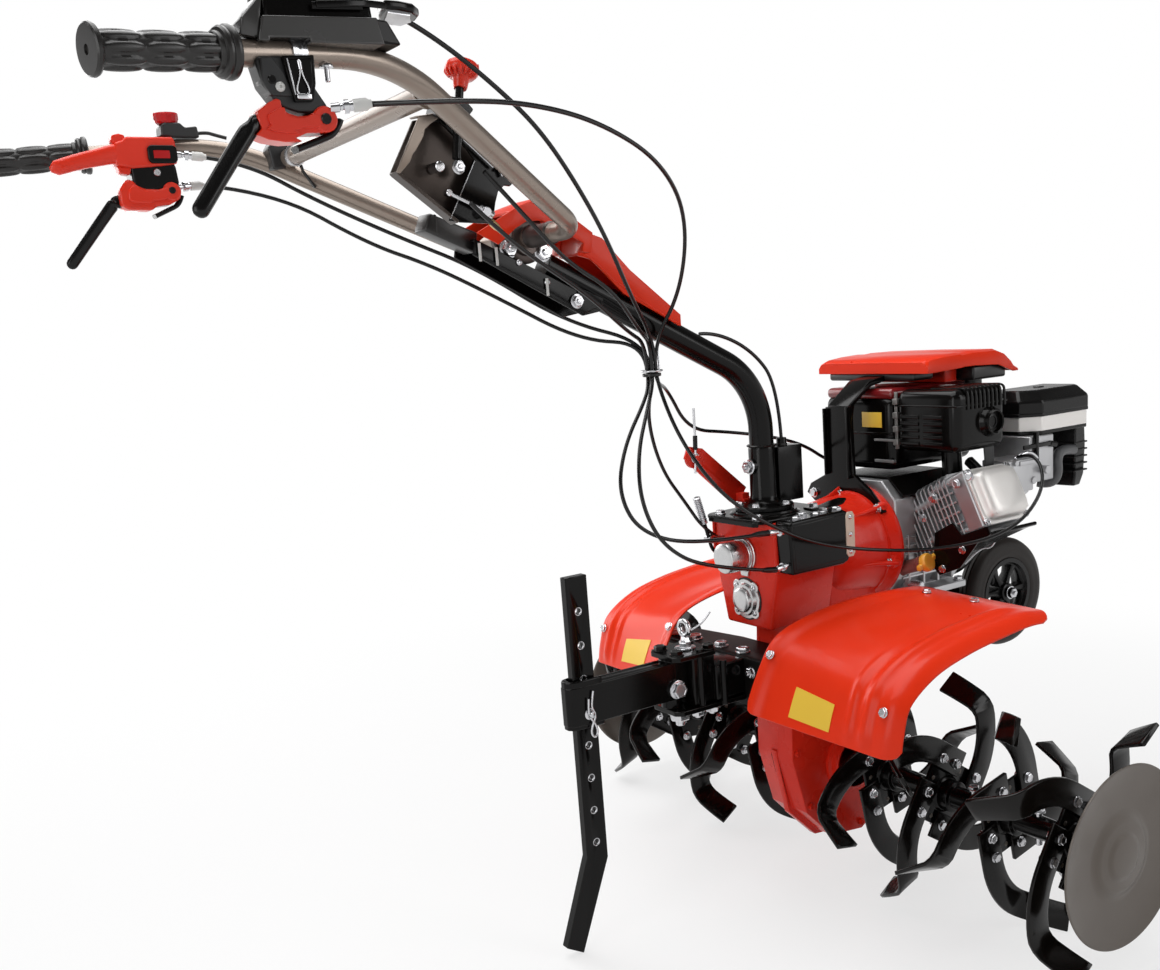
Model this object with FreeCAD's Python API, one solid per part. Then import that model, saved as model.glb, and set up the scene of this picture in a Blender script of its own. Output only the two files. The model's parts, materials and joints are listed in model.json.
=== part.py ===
import FreeCAD, Part
import math
import os
from FreeCAD import Vector

# ---------------------------------------------------------------------------
# Driving dimensions, in millimetres.  X is forward, Y is to the left and Z is
# up from the ground.  The machine is laid out from its tine axle and then
# moved by AXLE_X, so that the origin is under the middle of its outer box.
# ---------------------------------------------------------------------------
AXLE_X = 286.77
AXLE_Z = 176.0

TINE_STEP = 22.5
TINE_ROWS = (130.0, 245.0, 360.0, 475.0)
TINE_TURNS = (1.5, -0.5, 1.5, -0.5)
FIRST_INBOARD = (True, True, False, False)
BLADE_WIDTH = 40.0
BLADE_THICK = 6.0
BLADE_ROOT = (-24.0, -44.0)
BLADE_HEADING = -22.0
BLADE_STRAIGHT = 59.389
BLADE_LENGTH = 231.389
BLADE_CURVE = 120.0
BLADE_STEPS = 16
BLADE_BEND_START = 149.389
BLADE_BEND_RUN = 34.0
BLADE_BEND = 62.0
FLANGE_SIDE = 100.0
FLANGE_THICK = 6.0
SLEEVE_RADIUS = 24.0
AXLE_RADIUS = 17.0
AXLE_END = 552.0
SHAFT_END = 130.0
SLEEVE_HALF = 24.0
SHAFT_RADIUS = 14.0
RUNNING_GAP = 0.05
DISC_RADIUS = 127.0
DISC_THICK = 3.0
DISC_DISH = 14.0

CASE_HALF = 42.0
BOSS_RADIUS = 44.0
BOSS_END = 62.0
CASE_TOP = 430.0
BOX_TOP = 600.0
BOX_REAR = -163.0
BOX_FRONT = -40.0
CAP_Z = 545.0
COVER_Z = 474.0
CRANK_Z = 525.0
BELL_FRONT = 88.0
BELL_RADIUS = 83.0
FLANGE_RING = 97.0
LUG_CIRCLE = 88.0
LUG_RADIUS = 14.0
LUG_TURN = 14.0
CRANKCASE_FRONT = 245.0
BARREL_LEAN = 64.0
BARREL_FOOT_Z = 510.0
BARREL_REAR = 135.0
BARREL_FRONT = 235.0
HEAD_END = 220.0
COVER_END = 244.0

PLATE_TOP = 611.0
BODY_GAP = 0.3
COLUMN_X = -119.0
POST_RADIUS = 21.0
POST_TOP = 712.0
COLUMN_TUBE_RADIUS = 19.0
COLUMN_CORNER_Z = 808.0
COLUMN_BEND = 75.0
COLUMN_SLOPE = 0.509
COLUMN_TUBE_END = -488.0
PIVOT_X = -522.0
PIVOT_Z = 1032.0
PIVOT_DISC_RADIUS = 34.0
CHANNEL_HALF = 28.0

HANDLE_RADIUS = 12.0
HANDLE_END = (PIVOT_X, 141.0, PIVOT_Z)
TILT_SHAFT_END = 100.0
HANDLE_BEND = 30.0
HANDLE_CORNER = (-809.0, 277.0, 1189.0)
GRIP_INNER = (-978.0, 307.5, 1178.0)
GRIP_OUTER = (-1104.0, 330.5, 1169.0)
GRIP_RADIUS = 17.0
GRIP_FLANGE_RADIUS = 24.0

STAKE_X = -479.0
STAKE_WIDTH = 42.0
STAKE_THICK = 14.0
STAKE_TOP = 567.0
STAKE_HOLE_RADIUS = 5.5
STAKE_HOLE_PITCH = 50.0
STAKE_HOLES = 8
PIN_Z = 366.0
GUIDE_GAP = 1.0

WHEEL_X = 439.0
WHEEL_Z = 375.0
WHEEL_RADIUS = 100.0
WHEEL_HALF = 20.0
RAIL_TOP = 434.0
ARM_PIVOT_X = 150.0
ARM_PIVOT_Z = 390.0

FENDER_INNER = 112.0
FENDER_OUTER = 362.0
FENDER_THICK = 3.0

CABLE_RADIUS = 2.75
CABLE_EASE = 0.45
RING_X = -327.0
RING_Y = -11.0
RING_Z = 842.0
RING_RADIUS = 15.0
BUNDLE_PITCH = 7.0

os.makedirs("parts", exist_ok=True)


# ---------------------------------------------------------------------------
# Shape helpers
# ---------------------------------------------------------------------------
def box(x, y, z):
    """Block between three (low, high) pairs."""
    corner = Vector(min(x), min(y), min(z))
    return Part.makeBox(abs(x[1] - x[0]), abs(y[1] - y[0]), abs(z[1] - z[0]), corner)


def rod(start, end, radius):
    """Round bar from one point to another."""
    axis = Vector(*end) - Vector(*start)
    return Part.makeCylinder(radius, axis.Length, Vector(*start), axis)


def cone(start, end, first, last):
    """Tapered round bar from one point to another."""
    axis = Vector(*end) - Vector(*start)
    return Part.makeCone(first, last, axis.Length, Vector(*start), axis)


def side_plate(outline, y):
    """Plate with an (x, z) outline, between two y planes."""
    wire = Part.makePolygon([Vector(px, y[0], pz) for px, pz in outline + outline[:1]])
    return Part.Face(wire).extrude(Vector(0, y[1] - y[0], 0))


def flat_plate(outline, z):
    """Plate with an (x, y) outline, between two heights."""
    wire = Part.makePolygon([Vector(px, py, z[0]) for px, py in outline + outline[:1]])
    return Part.Face(wire).extrude(Vector(0, 0, z[1] - z[0]))


def cross_plate(outline, x):
    """Plate with a (y, z) outline, between two x planes."""
    wire = Part.makePolygon([Vector(x[0], py, pz) for py, pz in outline + outline[:1]])
    return Part.Face(wire).extrude(Vector(x[1] - x[0], 0, 0))


def rounded(points, reaches):
    """Wire of straight runs joined by tangent arcs, each starting reach from its corner."""
    corners = [Vector(*point) for point in points]
    edges = []
    start = corners[0]
    for index in range(1, len(corners) - 1):
        corner = corners[index]
        back = (corners[index - 1] - corner).normalize()
        ahead = (corners[index + 1] - corner).normalize()
        reach = reaches[index - 1]
        half = back.getAngle(ahead) / 2
        middle = (back + ahead).normalize()
        centre = corner + middle * (reach / math.cos(half))
        arc_start = corner + back * reach
        arc_end = corner + ahead * reach
        edges.append(Part.LineSegment(start, arc_start).toShape())
        arc_middle = centre - middle * (reach * math.tan(half))
        edges.append(Part.Arc(arc_start, arc_middle, arc_end).toShape())
        start = arc_end
    edges.append(Part.LineSegment(start, corners[-1]).toShape())
    return Part.Wire(edges)


def tube(points, radius, reaches=()):
    """Round bar along straight runs joined by arcs."""
    start = Vector(*points[0])
    ring = Part.Wire(Part.makeCircle(radius, start, Vector(*points[1]) - start))
    return rounded(points, reaches).makePipeShell([ring], True, False)


def fuse(shapes):
    """One solid from shapes that meet."""
    return shapes[0].multiFuse(shapes[1:]).removeSplitter()


def largest(shape):
    """The main solid left after a cut."""
    return max(shape.Solids, key=lambda solid: solid.Volume)


def mirrored(shape):
    """The same piece on the other side of the machine."""
    return shape.mirror(Vector(0, 0, 0), Vector(0, 1, 0))


def turned(shape, degrees):
    """Copy turned about the tine axle, from forward towards up."""
    copy = shape.copy()
    copy.rotate(Vector(0, 0, AXLE_Z), Vector(0, 1, 0), -degrees)
    return copy


def save(name, shape):
    """Write one sub-part in the machine's own frame."""
    copy = shape.copy()
    copy.translate(Vector(AXLE_X, 0, 0))
    copy.exportStep("parts/" + name + ".step")
    print(name, len(copy.Solids), round(copy.Volume / 1000), copy.isValid())


def both_sides(shape):
    """A right-hand shape and its mirror image, as one compound."""
    return Part.makeCompound(shape.Solids + mirrored(shape).Solids)


# ---------------------------------------------------------------------------
# Tine rotor: shaft, rows of sickle blades on square flanges, end discs
# ---------------------------------------------------------------------------
def blade_sections(side):
    """Outlines across a blade from root to tip: straight, curved in its plane, then bent aside."""
    place = Vector(BLADE_ROOT[0], 0, BLADE_ROOT[1])
    heading = math.radians(BLADE_HEADING)
    stride = (BLADE_LENGTH - BLADE_STRAIGHT) / BLADE_STEPS
    sections = [blade_outline(place, heading, 0, side)]
    place += Vector(math.cos(heading), 0, math.sin(heading)) * BLADE_STRAIGHT
    for step in range(BLADE_STEPS + 1):
        run = BLADE_STRAIGHT + step * stride
        sections.append(blade_outline(place, heading, bend_at(run), side))
        bend = bend_at(run + stride / 2)
        advance = stride * math.cos(bend)
        middle = heading + advance / BLADE_CURVE / 2
        place += Vector(math.cos(middle), 0, math.sin(middle)) * advance
        place += Vector(0, side * stride * math.sin(bend), 0)
        heading += advance / BLADE_CURVE
    return sections


def bend_at(run):
    """How far the blade is bent aside, in radians, at a distance from its root."""
    share = min(1.0, max(0.0, (run - BLADE_BEND_START) / BLADE_BEND_RUN))
    return math.radians(BLADE_BEND) * share


def blade_outline(place, heading, bend, side):
    """Outline across the flat bar at one place."""
    along = Vector(math.cos(heading), 0, math.sin(heading))
    outward = Vector(math.sin(heading), 0, -math.cos(heading))
    face = Vector(0, 1, 0) * math.cos(bend) - along * side * math.sin(bend)
    centre = place + Vector(0, 0, AXLE_Z)
    half_width = outward * (BLADE_WIDTH / 2)
    half_thick = face * (BLADE_THICK / 2)
    corners = [centre - half_width - half_thick, centre + half_width - half_thick,
               centre + half_width + half_thick, centre - half_width + half_thick]
    return Part.makePolygon(corners + corners[:1])


def tine_blades(row, first_tip, first_inboard):
    """Four blades bolted on the outboard face of one right-hand flange."""
    seat = -row - (FLANGE_THICK + BLADE_THICK) / 2
    blades = []
    for quarter in range(4):
        inboard = (quarter % 2 == 0) == first_inboard
        arm = Part.makeLoft(blade_sections(1 if inboard else -1), True, True)
        arm.translate(Vector(0, seat, 0))
        blades.append(turned(arm, first_tip + 90 * quarter))
    return Part.makeCompound(blades)


def drive_shaft():
    """Plain shaft through the gear case, into both tine tubes."""
    return rod((0, -SHAFT_END, AXLE_Z), (0, SHAFT_END, AXLE_Z), SHAFT_RADIUS)


def tine_tube():
    """Right-hand tube with its four square flanges and their sleeves."""
    half = FLANGE_SIDE / 2
    pieces = [rod((0, -BOSS_END - 2, AXLE_Z), (0, -AXLE_END, AXLE_Z), AXLE_RADIUS)]
    for row, turn in zip(TINE_ROWS, TINE_TURNS):
        flange = box((-half, half), (-row - FLANGE_THICK / 2, -row + FLANGE_THICK / 2),
                     (AXLE_Z - half, AXLE_Z + half))
        pieces.append(turned(flange, turn * TINE_STEP + 67.5))
        pieces.append(rod((0, -row - SLEEVE_HALF, AXLE_Z), (0, -row + SLEEVE_HALF, AXLE_Z), SLEEVE_RADIUS))
    return fuse(pieces).cut(drive_shaft())


def end_disc():
    """Dished plate with a raised middle, outboard of the last row on the right."""
    profile = [(AXLE_RADIUS, 0), (34, 0), (44, 10), (62, 10), (72, 4), (DISC_RADIUS, DISC_DISH)]
    lower = [Vector(r, 0, d) for r, d in profile]
    upper = [Vector(r, 0, d + DISC_THICK) for r, d in reversed(profile)]
    face = Part.Face(Part.makePolygon(lower + upper + lower[:1]))
    disc = face.revolve(Vector(0, 0, 0), Vector(0, 0, 1), 360)
    disc.rotate(Vector(0, 0, 0), Vector(1, 0, 0), 90)
    disc.translate(Vector(0, -AXLE_END + DISC_DISH + DISC_THICK, AXLE_Z))
    return disc


save("drive_shaft", drive_shaft())
save("tine_tubes", both_sides(tine_tube()))
for number, (row, turn, inboard) in enumerate(zip(TINE_ROWS, TINE_TURNS, FIRST_INBOARD), 1):
    save("tine_blades_" + str(number), both_sides(tine_blades(row, turn * TINE_STEP - 90, inboard)))
save("end_discs", both_sides(end_disc()))


# ---------------------------------------------------------------------------
# Gearbox: lower case with shaft bosses, upper box, bell and its small fittings
# ---------------------------------------------------------------------------
def lower_case():
    """Faceted gear case that hangs down round the tine shaft."""
    outline = [(-112, CASE_TOP), (-120, 300), (-122, 204), (-96, 108), (-44, 54), (26, 46),
               (74, 74), (98, 140), (98, 230), (72, CASE_TOP)]
    case = side_plate(outline, (-CASE_HALF, CASE_HALF))
    rim = [(-126, 214), (-102, 100), (-48, 46), (28, 38), (82, 68), (106, 138), (106, 214)]
    case = case.fuse(side_plate(rim, (-7, 7)))
    boss = rod((0, -BOSS_END, AXLE_Z), (0, BOSS_END, AXLE_Z), BOSS_RADIUS)
    bore = rod((0, -BOSS_END - 1, AXLE_Z), (0, BOSS_END + 1, AXLE_Z), SHAFT_RADIUS + RUNNING_GAP)
    return case.fuse(boss).cut(bore).removeSplitter()


def gearbox_housing():
    """Upper red box, narrower at its foot."""
    shoulders = [(-52, CASE_TOP), (52, CASE_TOP), (72, 520), (72, BOX_TOP), (-72, BOX_TOP), (-72, 520)]
    return cross_plate(shoulders, (BOX_REAR, BOX_FRONT))


def bell_housing():
    """Round bell between the gearbox and the engine, with a lugged flange."""
    bell = cone((BOX_FRONT, 0, CRANK_Z), (BELL_FRONT - 10, 0, CRANK_Z), 66, BELL_RADIUS)
    flange = rod((BELL_FRONT - 10, 0, CRANK_Z), (BELL_FRONT, 0, CRANK_Z), FLANGE_RING)
    lugs = []
    for number in range(6):
        turn = math.radians(LUG_TURN + 60 * number)
        y = LUG_CIRCLE * math.cos(turn)
        z = CRANK_Z + LUG_CIRCLE * math.sin(turn)
        lugs.append(rod((BELL_FRONT - 10, y, z), (BELL_FRONT, y, z), LUG_RADIUS))
    foot = box((BOX_FRONT, 70), (-52, 52), (CASE_TOP, 480))
    return fuse([bell, flange, foot] + lugs)


def rear_covers():
    """Two bright round covers on the rear face: a deep cap over a flat cover."""
    barrel = rod((BOX_REAR, 0, CAP_Z), (BOX_REAR - 46, 0, CAP_Z), 24)
    collar = rod((BOX_REAR, 0, CAP_Z), (BOX_REAR - 8, 0, CAP_Z), 28)
    plate = rod((BOX_REAR, 0, COVER_Z), (BOX_REAR - 6, 0, COVER_Z), 29)
    middle = rod((BOX_REAR, 0, COVER_Z), (BOX_REAR - 14, 0, COVER_Z), 17)
    return Part.makeCompound([fuse([barrel, collar]), fuse([plate, middle])])


def linkage_box():
    """Black cover on the right side, with the two adjusters where cables end."""
    cover = side_plate([(-160, 524), (-164, 603), (-50, 608), (-38, 598), (-38, 540), (-52, 524)], (-72, -106))
    upper = rod((-150, -95, 590), (-202, -100, 595), 5)
    lower = rod((-150, -95, 540), (-190, -100, 538), 5)
    return fuse([cover, upper, lower])


def top_plate():
    """Black plate on the gearbox that the column turns on."""
    base = flat_plate([(-186, -66), (-60, -76), (-30, -60), (-30, 60), (-60, 76), (-186, 66)],
                      (BOX_TOP, PLATE_TOP - 3))
    base = base.cut(linkage_box())
    ring = rod((COLUMN_X, 0, BOX_TOP), (COLUMN_X, 0, PLATE_TOP), 50)
    return fuse([base, ring])


save("lower_case", lower_case())
save("gearbox_housing", gearbox_housing())
save("bell_housing", bell_housing())
save("rear_covers", rear_covers())
save("linkage_box", linkage_box())
save("top_plate", top_plate())


# ---------------------------------------------------------------------------
# Engine: crankcase block, sloping finned barrel, exhaust, tank, air filter, guard
# ---------------------------------------------------------------------------
def leaning(shape):
    """Copy leaned over to the right, as the barrel stands; its foot is at the origin."""
    copy = shape.copy()
    copy.rotate(Vector(0, 0, 0), Vector(1, 0, 0), BARREL_LEAN)
    copy.translate(Vector(0, 0, BARREL_FOOT_Z))
    return copy


def engine_block():
    """Crankcase as a plain block with cut corners, on its base plate."""
    outline = [(-60, RAIL_TOP + 12), (74, RAIL_TOP + 12), (92, 470), (92, 604), (70, 630), (-50, 630),
               (-78, 600), (-78, 470)]
    case = cross_plate(outline, (BELL_FRONT, CRANKCASE_FRONT))
    base = box((BELL_FRONT + 6, CRANKCASE_FRONT - 6), (-92, 98), (RAIL_TOP, RAIL_TOP + 12))
    return fuse([case, base])


def recoil_housing():
    """Round fan cover and starter on the front of the crankcase."""
    cover = rod((CRANKCASE_FRONT, 6, CRANK_Z), (CRANKCASE_FRONT + 52, 6, CRANK_Z), 94)
    starter = cone((CRANKCASE_FRONT + 52, 6, CRANK_Z), (CRANKCASE_FRONT + 78, 6, CRANK_Z), 72, 60)
    return fuse([cover, starter])


def engine_barrel():
    """Finned barrel and head, sloping up to the right."""
    fins = []
    for number in range(10):
        low = 96 + 9 * number
        fins.append(box((BARREL_REAR - 3, BARREL_FRONT + 3), (-56, 56), (low, low + 4)))
    core = box((BARREL_REAR + 10, BARREL_FRONT - 10), (-44, 44), (40, HEAD_END - 30))
    head_block = box((BARREL_REAR, BARREL_FRONT), (-48, 48), (HEAD_END - 34, HEAD_END))
    return largest(leaning(fuse([core, head_block] + fins)).cut(engine_block()))


def valve_cover():
    """Bright cover on the end of the head."""
    return leaning(box((BARREL_REAR, BARREL_FRONT), (-46, 46), (HEAD_END, COVER_END)))


def barrel_shroud():
    """Black sheet plate under the barrel, from the crankcase to the cover."""
    upper = box((BARREL_REAR, BARREL_FRONT + 4), (-62, -58), (98, 232))
    wall = box((BARREL_REAR, BARREL_REAR + 4), (-92, -58), (98, 190))
    return leaning(fuse([upper, wall])).cut(engine_block())


def oil_cap():
    """Filler tube low on the rear right of the crankcase, with its cap."""
    neck = rod((106, -70, 484), (112, -114, 498), 11)
    cap = rod((112, -112, 497), (114, -128, 502), 15)
    return fuse([neck, cap]).cut(engine_block())


def muffler():
    """Black exhaust box on the right, above the barrel, on its port."""
    body = box((120, 240), (-180, -52), (675, 775))
    outlet = rod((197, -180, 719), (197, -192, 719), 20)
    port = rod((185, -112, 676), (185, -112, 600), 17)
    return largest(fuse([body, outlet, port]).cut(engine_barrel()))


def fuel_tank():
    """Tank on the top and left of the engine, with its foot and cap."""
    body = box((120, 320), (-46, 112), (640, 775))
    foot = box((140, 232), (-30, 66), (630, 640))
    cap = rod((272, 20, 775), (272, 20, 795), 26)
    return fuse([body, foot, cap])


def carburettor():
    """Carburettor block between the head and the air filter."""
    inlet = box((BARREL_FRONT + 3, 300), (-182, -128), (596, 650))
    riser = box((300, 360), (-176, -100), (606, 682))
    return fuse([inlet, riser])


def air_filter():
    """Black filter box at the right front, with its snorkel."""
    outline = [(300, -150), (330, -178), (452, -178), (470, -160), (470, -70), (300, -70)]
    cover = flat_plate(outline, (682, 755))
    snorkel = box((436, 472), (-160, -100), (578, 682))
    return fuse([cover, snorkel])


def engine_guard():
    """Plastic guard over the engine, with a low skirt and a dropped front end."""
    outer = side_plate([(148, 797), (150, 815), (175, 824), (330, 826), (352, 815), (376, 784),
                        (362, 784), (340, 797)], (-100, 150))
    inner = side_plate([(152, 790), (154, 812), (176, 820), (328, 822), (349, 812), (380, 774)], (-96, 146))
    return outer.cut(inner)


def guard_post():
    """Black foot on the bell's flange, a post, and the sloped arm under the guard."""
    foot = cross_plate([(-74, 584), (-58, 572), (-30, 590), (4, 600), (40, 600), (84, 590), (102, 604),
                        (92, 620), (58, 636), (50, 750), (-5, 750), (-8, 640), (-44, 616)], (66, 74))
    foot = foot.cut(rod((40, 0, CRANK_Z), (90, 0, CRANK_Z), BELL_RADIUS + 1))
    arm = side_plate([(66, 740), (66, 752), (116, 788), (156, 795), (168, 809), (290, 809), (290, 801),
                      (172, 801), (162, 787), (120, 779), (74, 748)], (-2, 44))
    pad = box((184, 270), (-20, 62), (809, 820))
    return fuse([foot, arm, pad])


save("engine_block", engine_block())
save("recoil_housing", recoil_housing())
save("engine_barrel", engine_barrel())
save("valve_cover", valve_cover())
save("barrel_shroud", barrel_shroud())
save("oil_cap", oil_cap())
save("muffler", muffler())
save("fuel_tank", fuel_tank())
save("carburettor", carburettor())
save("air_filter", air_filter())
save("engine_guard", engine_guard())
save("guard_post", guard_post())


# ---------------------------------------------------------------------------
# Fenders and the rear hitch
# ---------------------------------------------------------------------------
def fender_section(points, y):
    """Closed outline of the sheet at one y, from its rear edge to its front edge."""
    lower = [(x + 3, z - FENDER_THICK) for x, z in reversed(points)]
    outline = points + lower
    return Part.makePolygon([Vector(x, y, z) for x, z in outline + outline[:1]])


def fender():
    """Arched plastic fender over the right half of the tines."""
    inner = [(-268, 338), (-240, 392), (-208, 434), (-150, 454), (-70, 466), (20, 468), (100, 462), (152, 446)]
    outer = [(-228, 316), (-222, 352), (-204, 396), (-150, 430), (-80, 448), (0, 458), (60, 462), (106, 458)]
    sections = [fender_section(inner, -FENDER_INNER), fender_section(outer, -FENDER_OUTER)]
    return Part.makeLoft(sections, True, True)


def fender_bar():
    """Black angle across the machine that holds both fenders and the hitch."""
    upper = flat_plate([(-200, -348), (-172, -348), (-126, -60), (-126, 60), (-172, 348), (-200, 348)],
                       (388, 394))
    tabs = [box((-240, -196), (side * 322, side * 346), (394, 400)) for side in (-1, 1)]
    back = box((-206, -200), (-120, 120), (318, 394))
    bar = fuse([upper, back] + tabs).cut(fender()).cut(mirrored(fender()))
    return largest(bar.cut(lower_case()))


def hitch_block():
    """Black clevis block behind the gear case."""
    block = box((-300, -206), (-32, 32), (336, 412))
    plates = [box((-345, -206), (-38, 38), (412, 420)), box((-345, -206), (-38, 38), (328, 336))]
    return fuse([block] + plates)


def stake_holder():
    """Strap bent round the depth stake and bolted to the hitch block."""
    inner = STAKE_THICK / 2 + GUIDE_GAP
    low = STAKE_X - STAKE_WIDTH / 2 - GUIDE_GAP
    high = STAKE_X + STAKE_WIDTH / 2 + GUIDE_GAP
    eye = box((low - 10, high + 10), (-inner - 8, inner + 8), (344, 422))
    shank = box((high, -300), (-inner - 8, inner + 8), (350, 408))
    slot = box((low, high), (-inner, inner), (330, 430))
    return fuse([eye, shank]).cut(slot)


def holder_pin():
    """The two ends of the pin, outside the strap on both sides."""
    face = STAKE_THICK / 2 + GUIDE_GAP + 8
    ends = [rod((STAKE_X, side * face, PIN_Z), (STAKE_X, side * (face + 9), PIN_Z), 5) for side in (-1, 1)]
    return Part.makeCompound(ends)


def depth_stake():
    """Flat bar with a row of holes and a foot bent to the rear."""
    half = STAKE_WIDTH / 2
    bar = side_plate([(STAKE_X - half, STAKE_TOP), (STAKE_X - half, 148), (STAKE_X - 66, 18),
                      (STAKE_X - 36, 0), (STAKE_X + half, 136), (STAKE_X + half, STAKE_TOP)],
                     (-STAKE_THICK / 2, STAKE_THICK / 2))
    for number in range(STAKE_HOLES):
        z = PIN_Z + (number - 4) * STAKE_HOLE_PITCH
        bar = bar.cut(rod((STAKE_X, -20, z), (STAKE_X, 20, z), STAKE_HOLE_RADIUS))
    return bar


save("fenders", both_sides(fender()))
save("fender_bar", fender_bar())
save("hitch_block", hitch_block())
save("stake_holder", stake_holder().cut(hitch_block()))
save("holder_pin", holder_pin())
save("depth_stake", depth_stake())


# ---------------------------------------------------------------------------
# Front bracket, swinging wheel arm and the transport wheel
# ---------------------------------------------------------------------------
def front_bracket():
    """Black rails under the engine, with lugs for the wheel arm."""
    rails = box((BELL_FRONT, CRANKCASE_FRONT - 4), (-52, 60), (RAIL_TOP - 10, RAIL_TOP))
    lugs = [box((ARM_PIVOT_X - 26, ARM_PIVOT_X + 26), (14, 22), (364, RAIL_TOP - 10)),
            box((ARM_PIVOT_X - 26, ARM_PIVOT_X + 26), (46, 54), (364, RAIL_TOP - 10))]
    shape = fuse([rails] + lugs)
    return shape.cut(rod((ARM_PIVOT_X, 0, ARM_PIVOT_Z), (ARM_PIVOT_X, 60, ARM_PIVOT_Z), 6))


def wheel_arm():
    """Flat arm from its pivot to the wheel's axle bolt."""
    dx = WHEEL_X - ARM_PIVOT_X
    dz = WHEEL_Z - ARM_PIVOT_Z
    length = math.hypot(dx, dz)
    rise_x = -dz / length * 17
    rise_z = dx / length * 17
    bar = side_plate([(ARM_PIVOT_X + rise_x, ARM_PIVOT_Z + rise_z), (WHEEL_X + rise_x, WHEEL_Z + rise_z),
                      (WHEEL_X - rise_x, WHEEL_Z - rise_z), (ARM_PIVOT_X - rise_x, ARM_PIVOT_Z - rise_z)],
                     (30, 38))
    ends = [rod((x, 30, z), (x, 38, z), 17) for x, z in ((ARM_PIVOT_X, ARM_PIVOT_Z), (WHEEL_X, WHEEL_Z))]
    hub = rod((ARM_PIVOT_X, 23, ARM_PIVOT_Z), (ARM_PIVOT_X, 45, ARM_PIVOT_Z), 15)
    bolt = rod((ARM_PIVOT_X, 10, ARM_PIVOT_Z), (ARM_PIVOT_X, 58, ARM_PIVOT_Z), 6 - RUNNING_GAP)
    axle = rod((WHEEL_X, -28, WHEEL_Z), (WHEEL_X, 38, WHEEL_Z), 6)
    nut = rod((WHEEL_X, -31, WHEEL_Z), (WHEEL_X, -22, WHEEL_Z), 10)
    return fuse([bar, hub, bolt, axle, nut] + ends)


def wheel_tyre():
    """Rubber tyre with a rounded tread."""
    profile = [(62, -17), (82, -WHEEL_HALF), (95, -15), (WHEEL_RADIUS, -6), (WHEEL_RADIUS, 6),
               (95, 15), (82, WHEEL_HALF), (62, 17)]
    wire = Part.makePolygon([Vector(WHEEL_X, y, WHEEL_Z + r) for r, y in profile + profile[:1]])
    return Part.Face(wire).revolve(Vector(WHEEL_X, 0, WHEEL_Z), Vector(0, 1, 0), 360)


def wheel_rim():
    """Moulded rim with six open spokes."""
    rim = rod((WHEEL_X, -17, WHEEL_Z), (WHEEL_X, 17, WHEEL_Z), 62)
    rim = rim.cut(rod((WHEEL_X, -20, WHEEL_Z), (WHEEL_X, 20, WHEEL_Z), 54))
    hub = rod((WHEEL_X, -20, WHEEL_Z), (WHEEL_X, 20, WHEEL_Z), 16)
    spokes = []
    for number in range(6):
        spoke = box((WHEEL_X + 10, WHEEL_X + 57), (-7, 7), (WHEEL_Z - 6, WHEEL_Z + 6))
        spoke.rotate(Vector(WHEEL_X, 0, WHEEL_Z), Vector(0, 1, 0), 60 * number)
        spokes.append(spoke)
    shape = fuse([rim, hub] + spokes)
    return shape.cut(rod((WHEEL_X, -30, WHEEL_Z), (WHEEL_X, 30, WHEEL_Z), 6 + RUNNING_GAP))


save("front_bracket", front_bracket())
save("wheel_arm", wheel_arm())
save("wheel_tyre", wheel_tyre())
save("wheel_rim", wheel_rim())


# ---------------------------------------------------------------------------
# Steering column: post on the top plate, bent tube, channel and clamp lever
# ---------------------------------------------------------------------------
def column_height(x):
    """Height of the sloping tube's centre line at one x."""
    return COLUMN_CORNER_Z + (COLUMN_X - x) * COLUMN_SLOPE


def column_post():
    """Round socket on a flange, which turns on the top plate."""
    flange = rod((COLUMN_X, 0, PLATE_TOP + BODY_GAP), (COLUMN_X, 0, PLATE_TOP + 9), 46)
    post = rod((COLUMN_X, 0, PLATE_TOP + 4), (COLUMN_X, 0, POST_TOP), POST_RADIUS)
    bolt = rod((COLUMN_X, 0, 680), (COLUMN_X - 38, 0, 680), 6)
    return fuse([flange, post, bolt])


def column_box():
    """Square guide in front of the socket, with the cable's end cap on top."""
    front = COLUMN_X + POST_RADIUS
    body = box((front - 4, front + 45), (-19, 19), (PLATE_TOP + 9, POST_TOP - 6))
    cap = rod((front + 20, 0, POST_TOP - 6), (front + 20, 0, POST_TOP + 6), 8)
    return fuse([body, cap]).cut(rod((COLUMN_X, 0, 600), (COLUMN_X, 0, 720), POST_RADIUS))


def column_tube():
    """Main tube: upright, then bent to the rear up to the pivot."""
    points = [(COLUMN_X, 0, POST_TOP), (COLUMN_X, 0, COLUMN_CORNER_Z),
              (COLUMN_TUBE_END, 0, column_height(COLUMN_TUBE_END))]
    return tube(points, COLUMN_TUBE_RADIUS, [COLUMN_BEND])


def pivot_bore(radius):
    """Round bar on the tilt axis, as long as the straight shaft."""
    return rod((PIVOT_X, -TILT_SHAFT_END, PIVOT_Z), (PIVOT_X, TILT_SHAFT_END, PIVOT_Z), radius)


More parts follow.
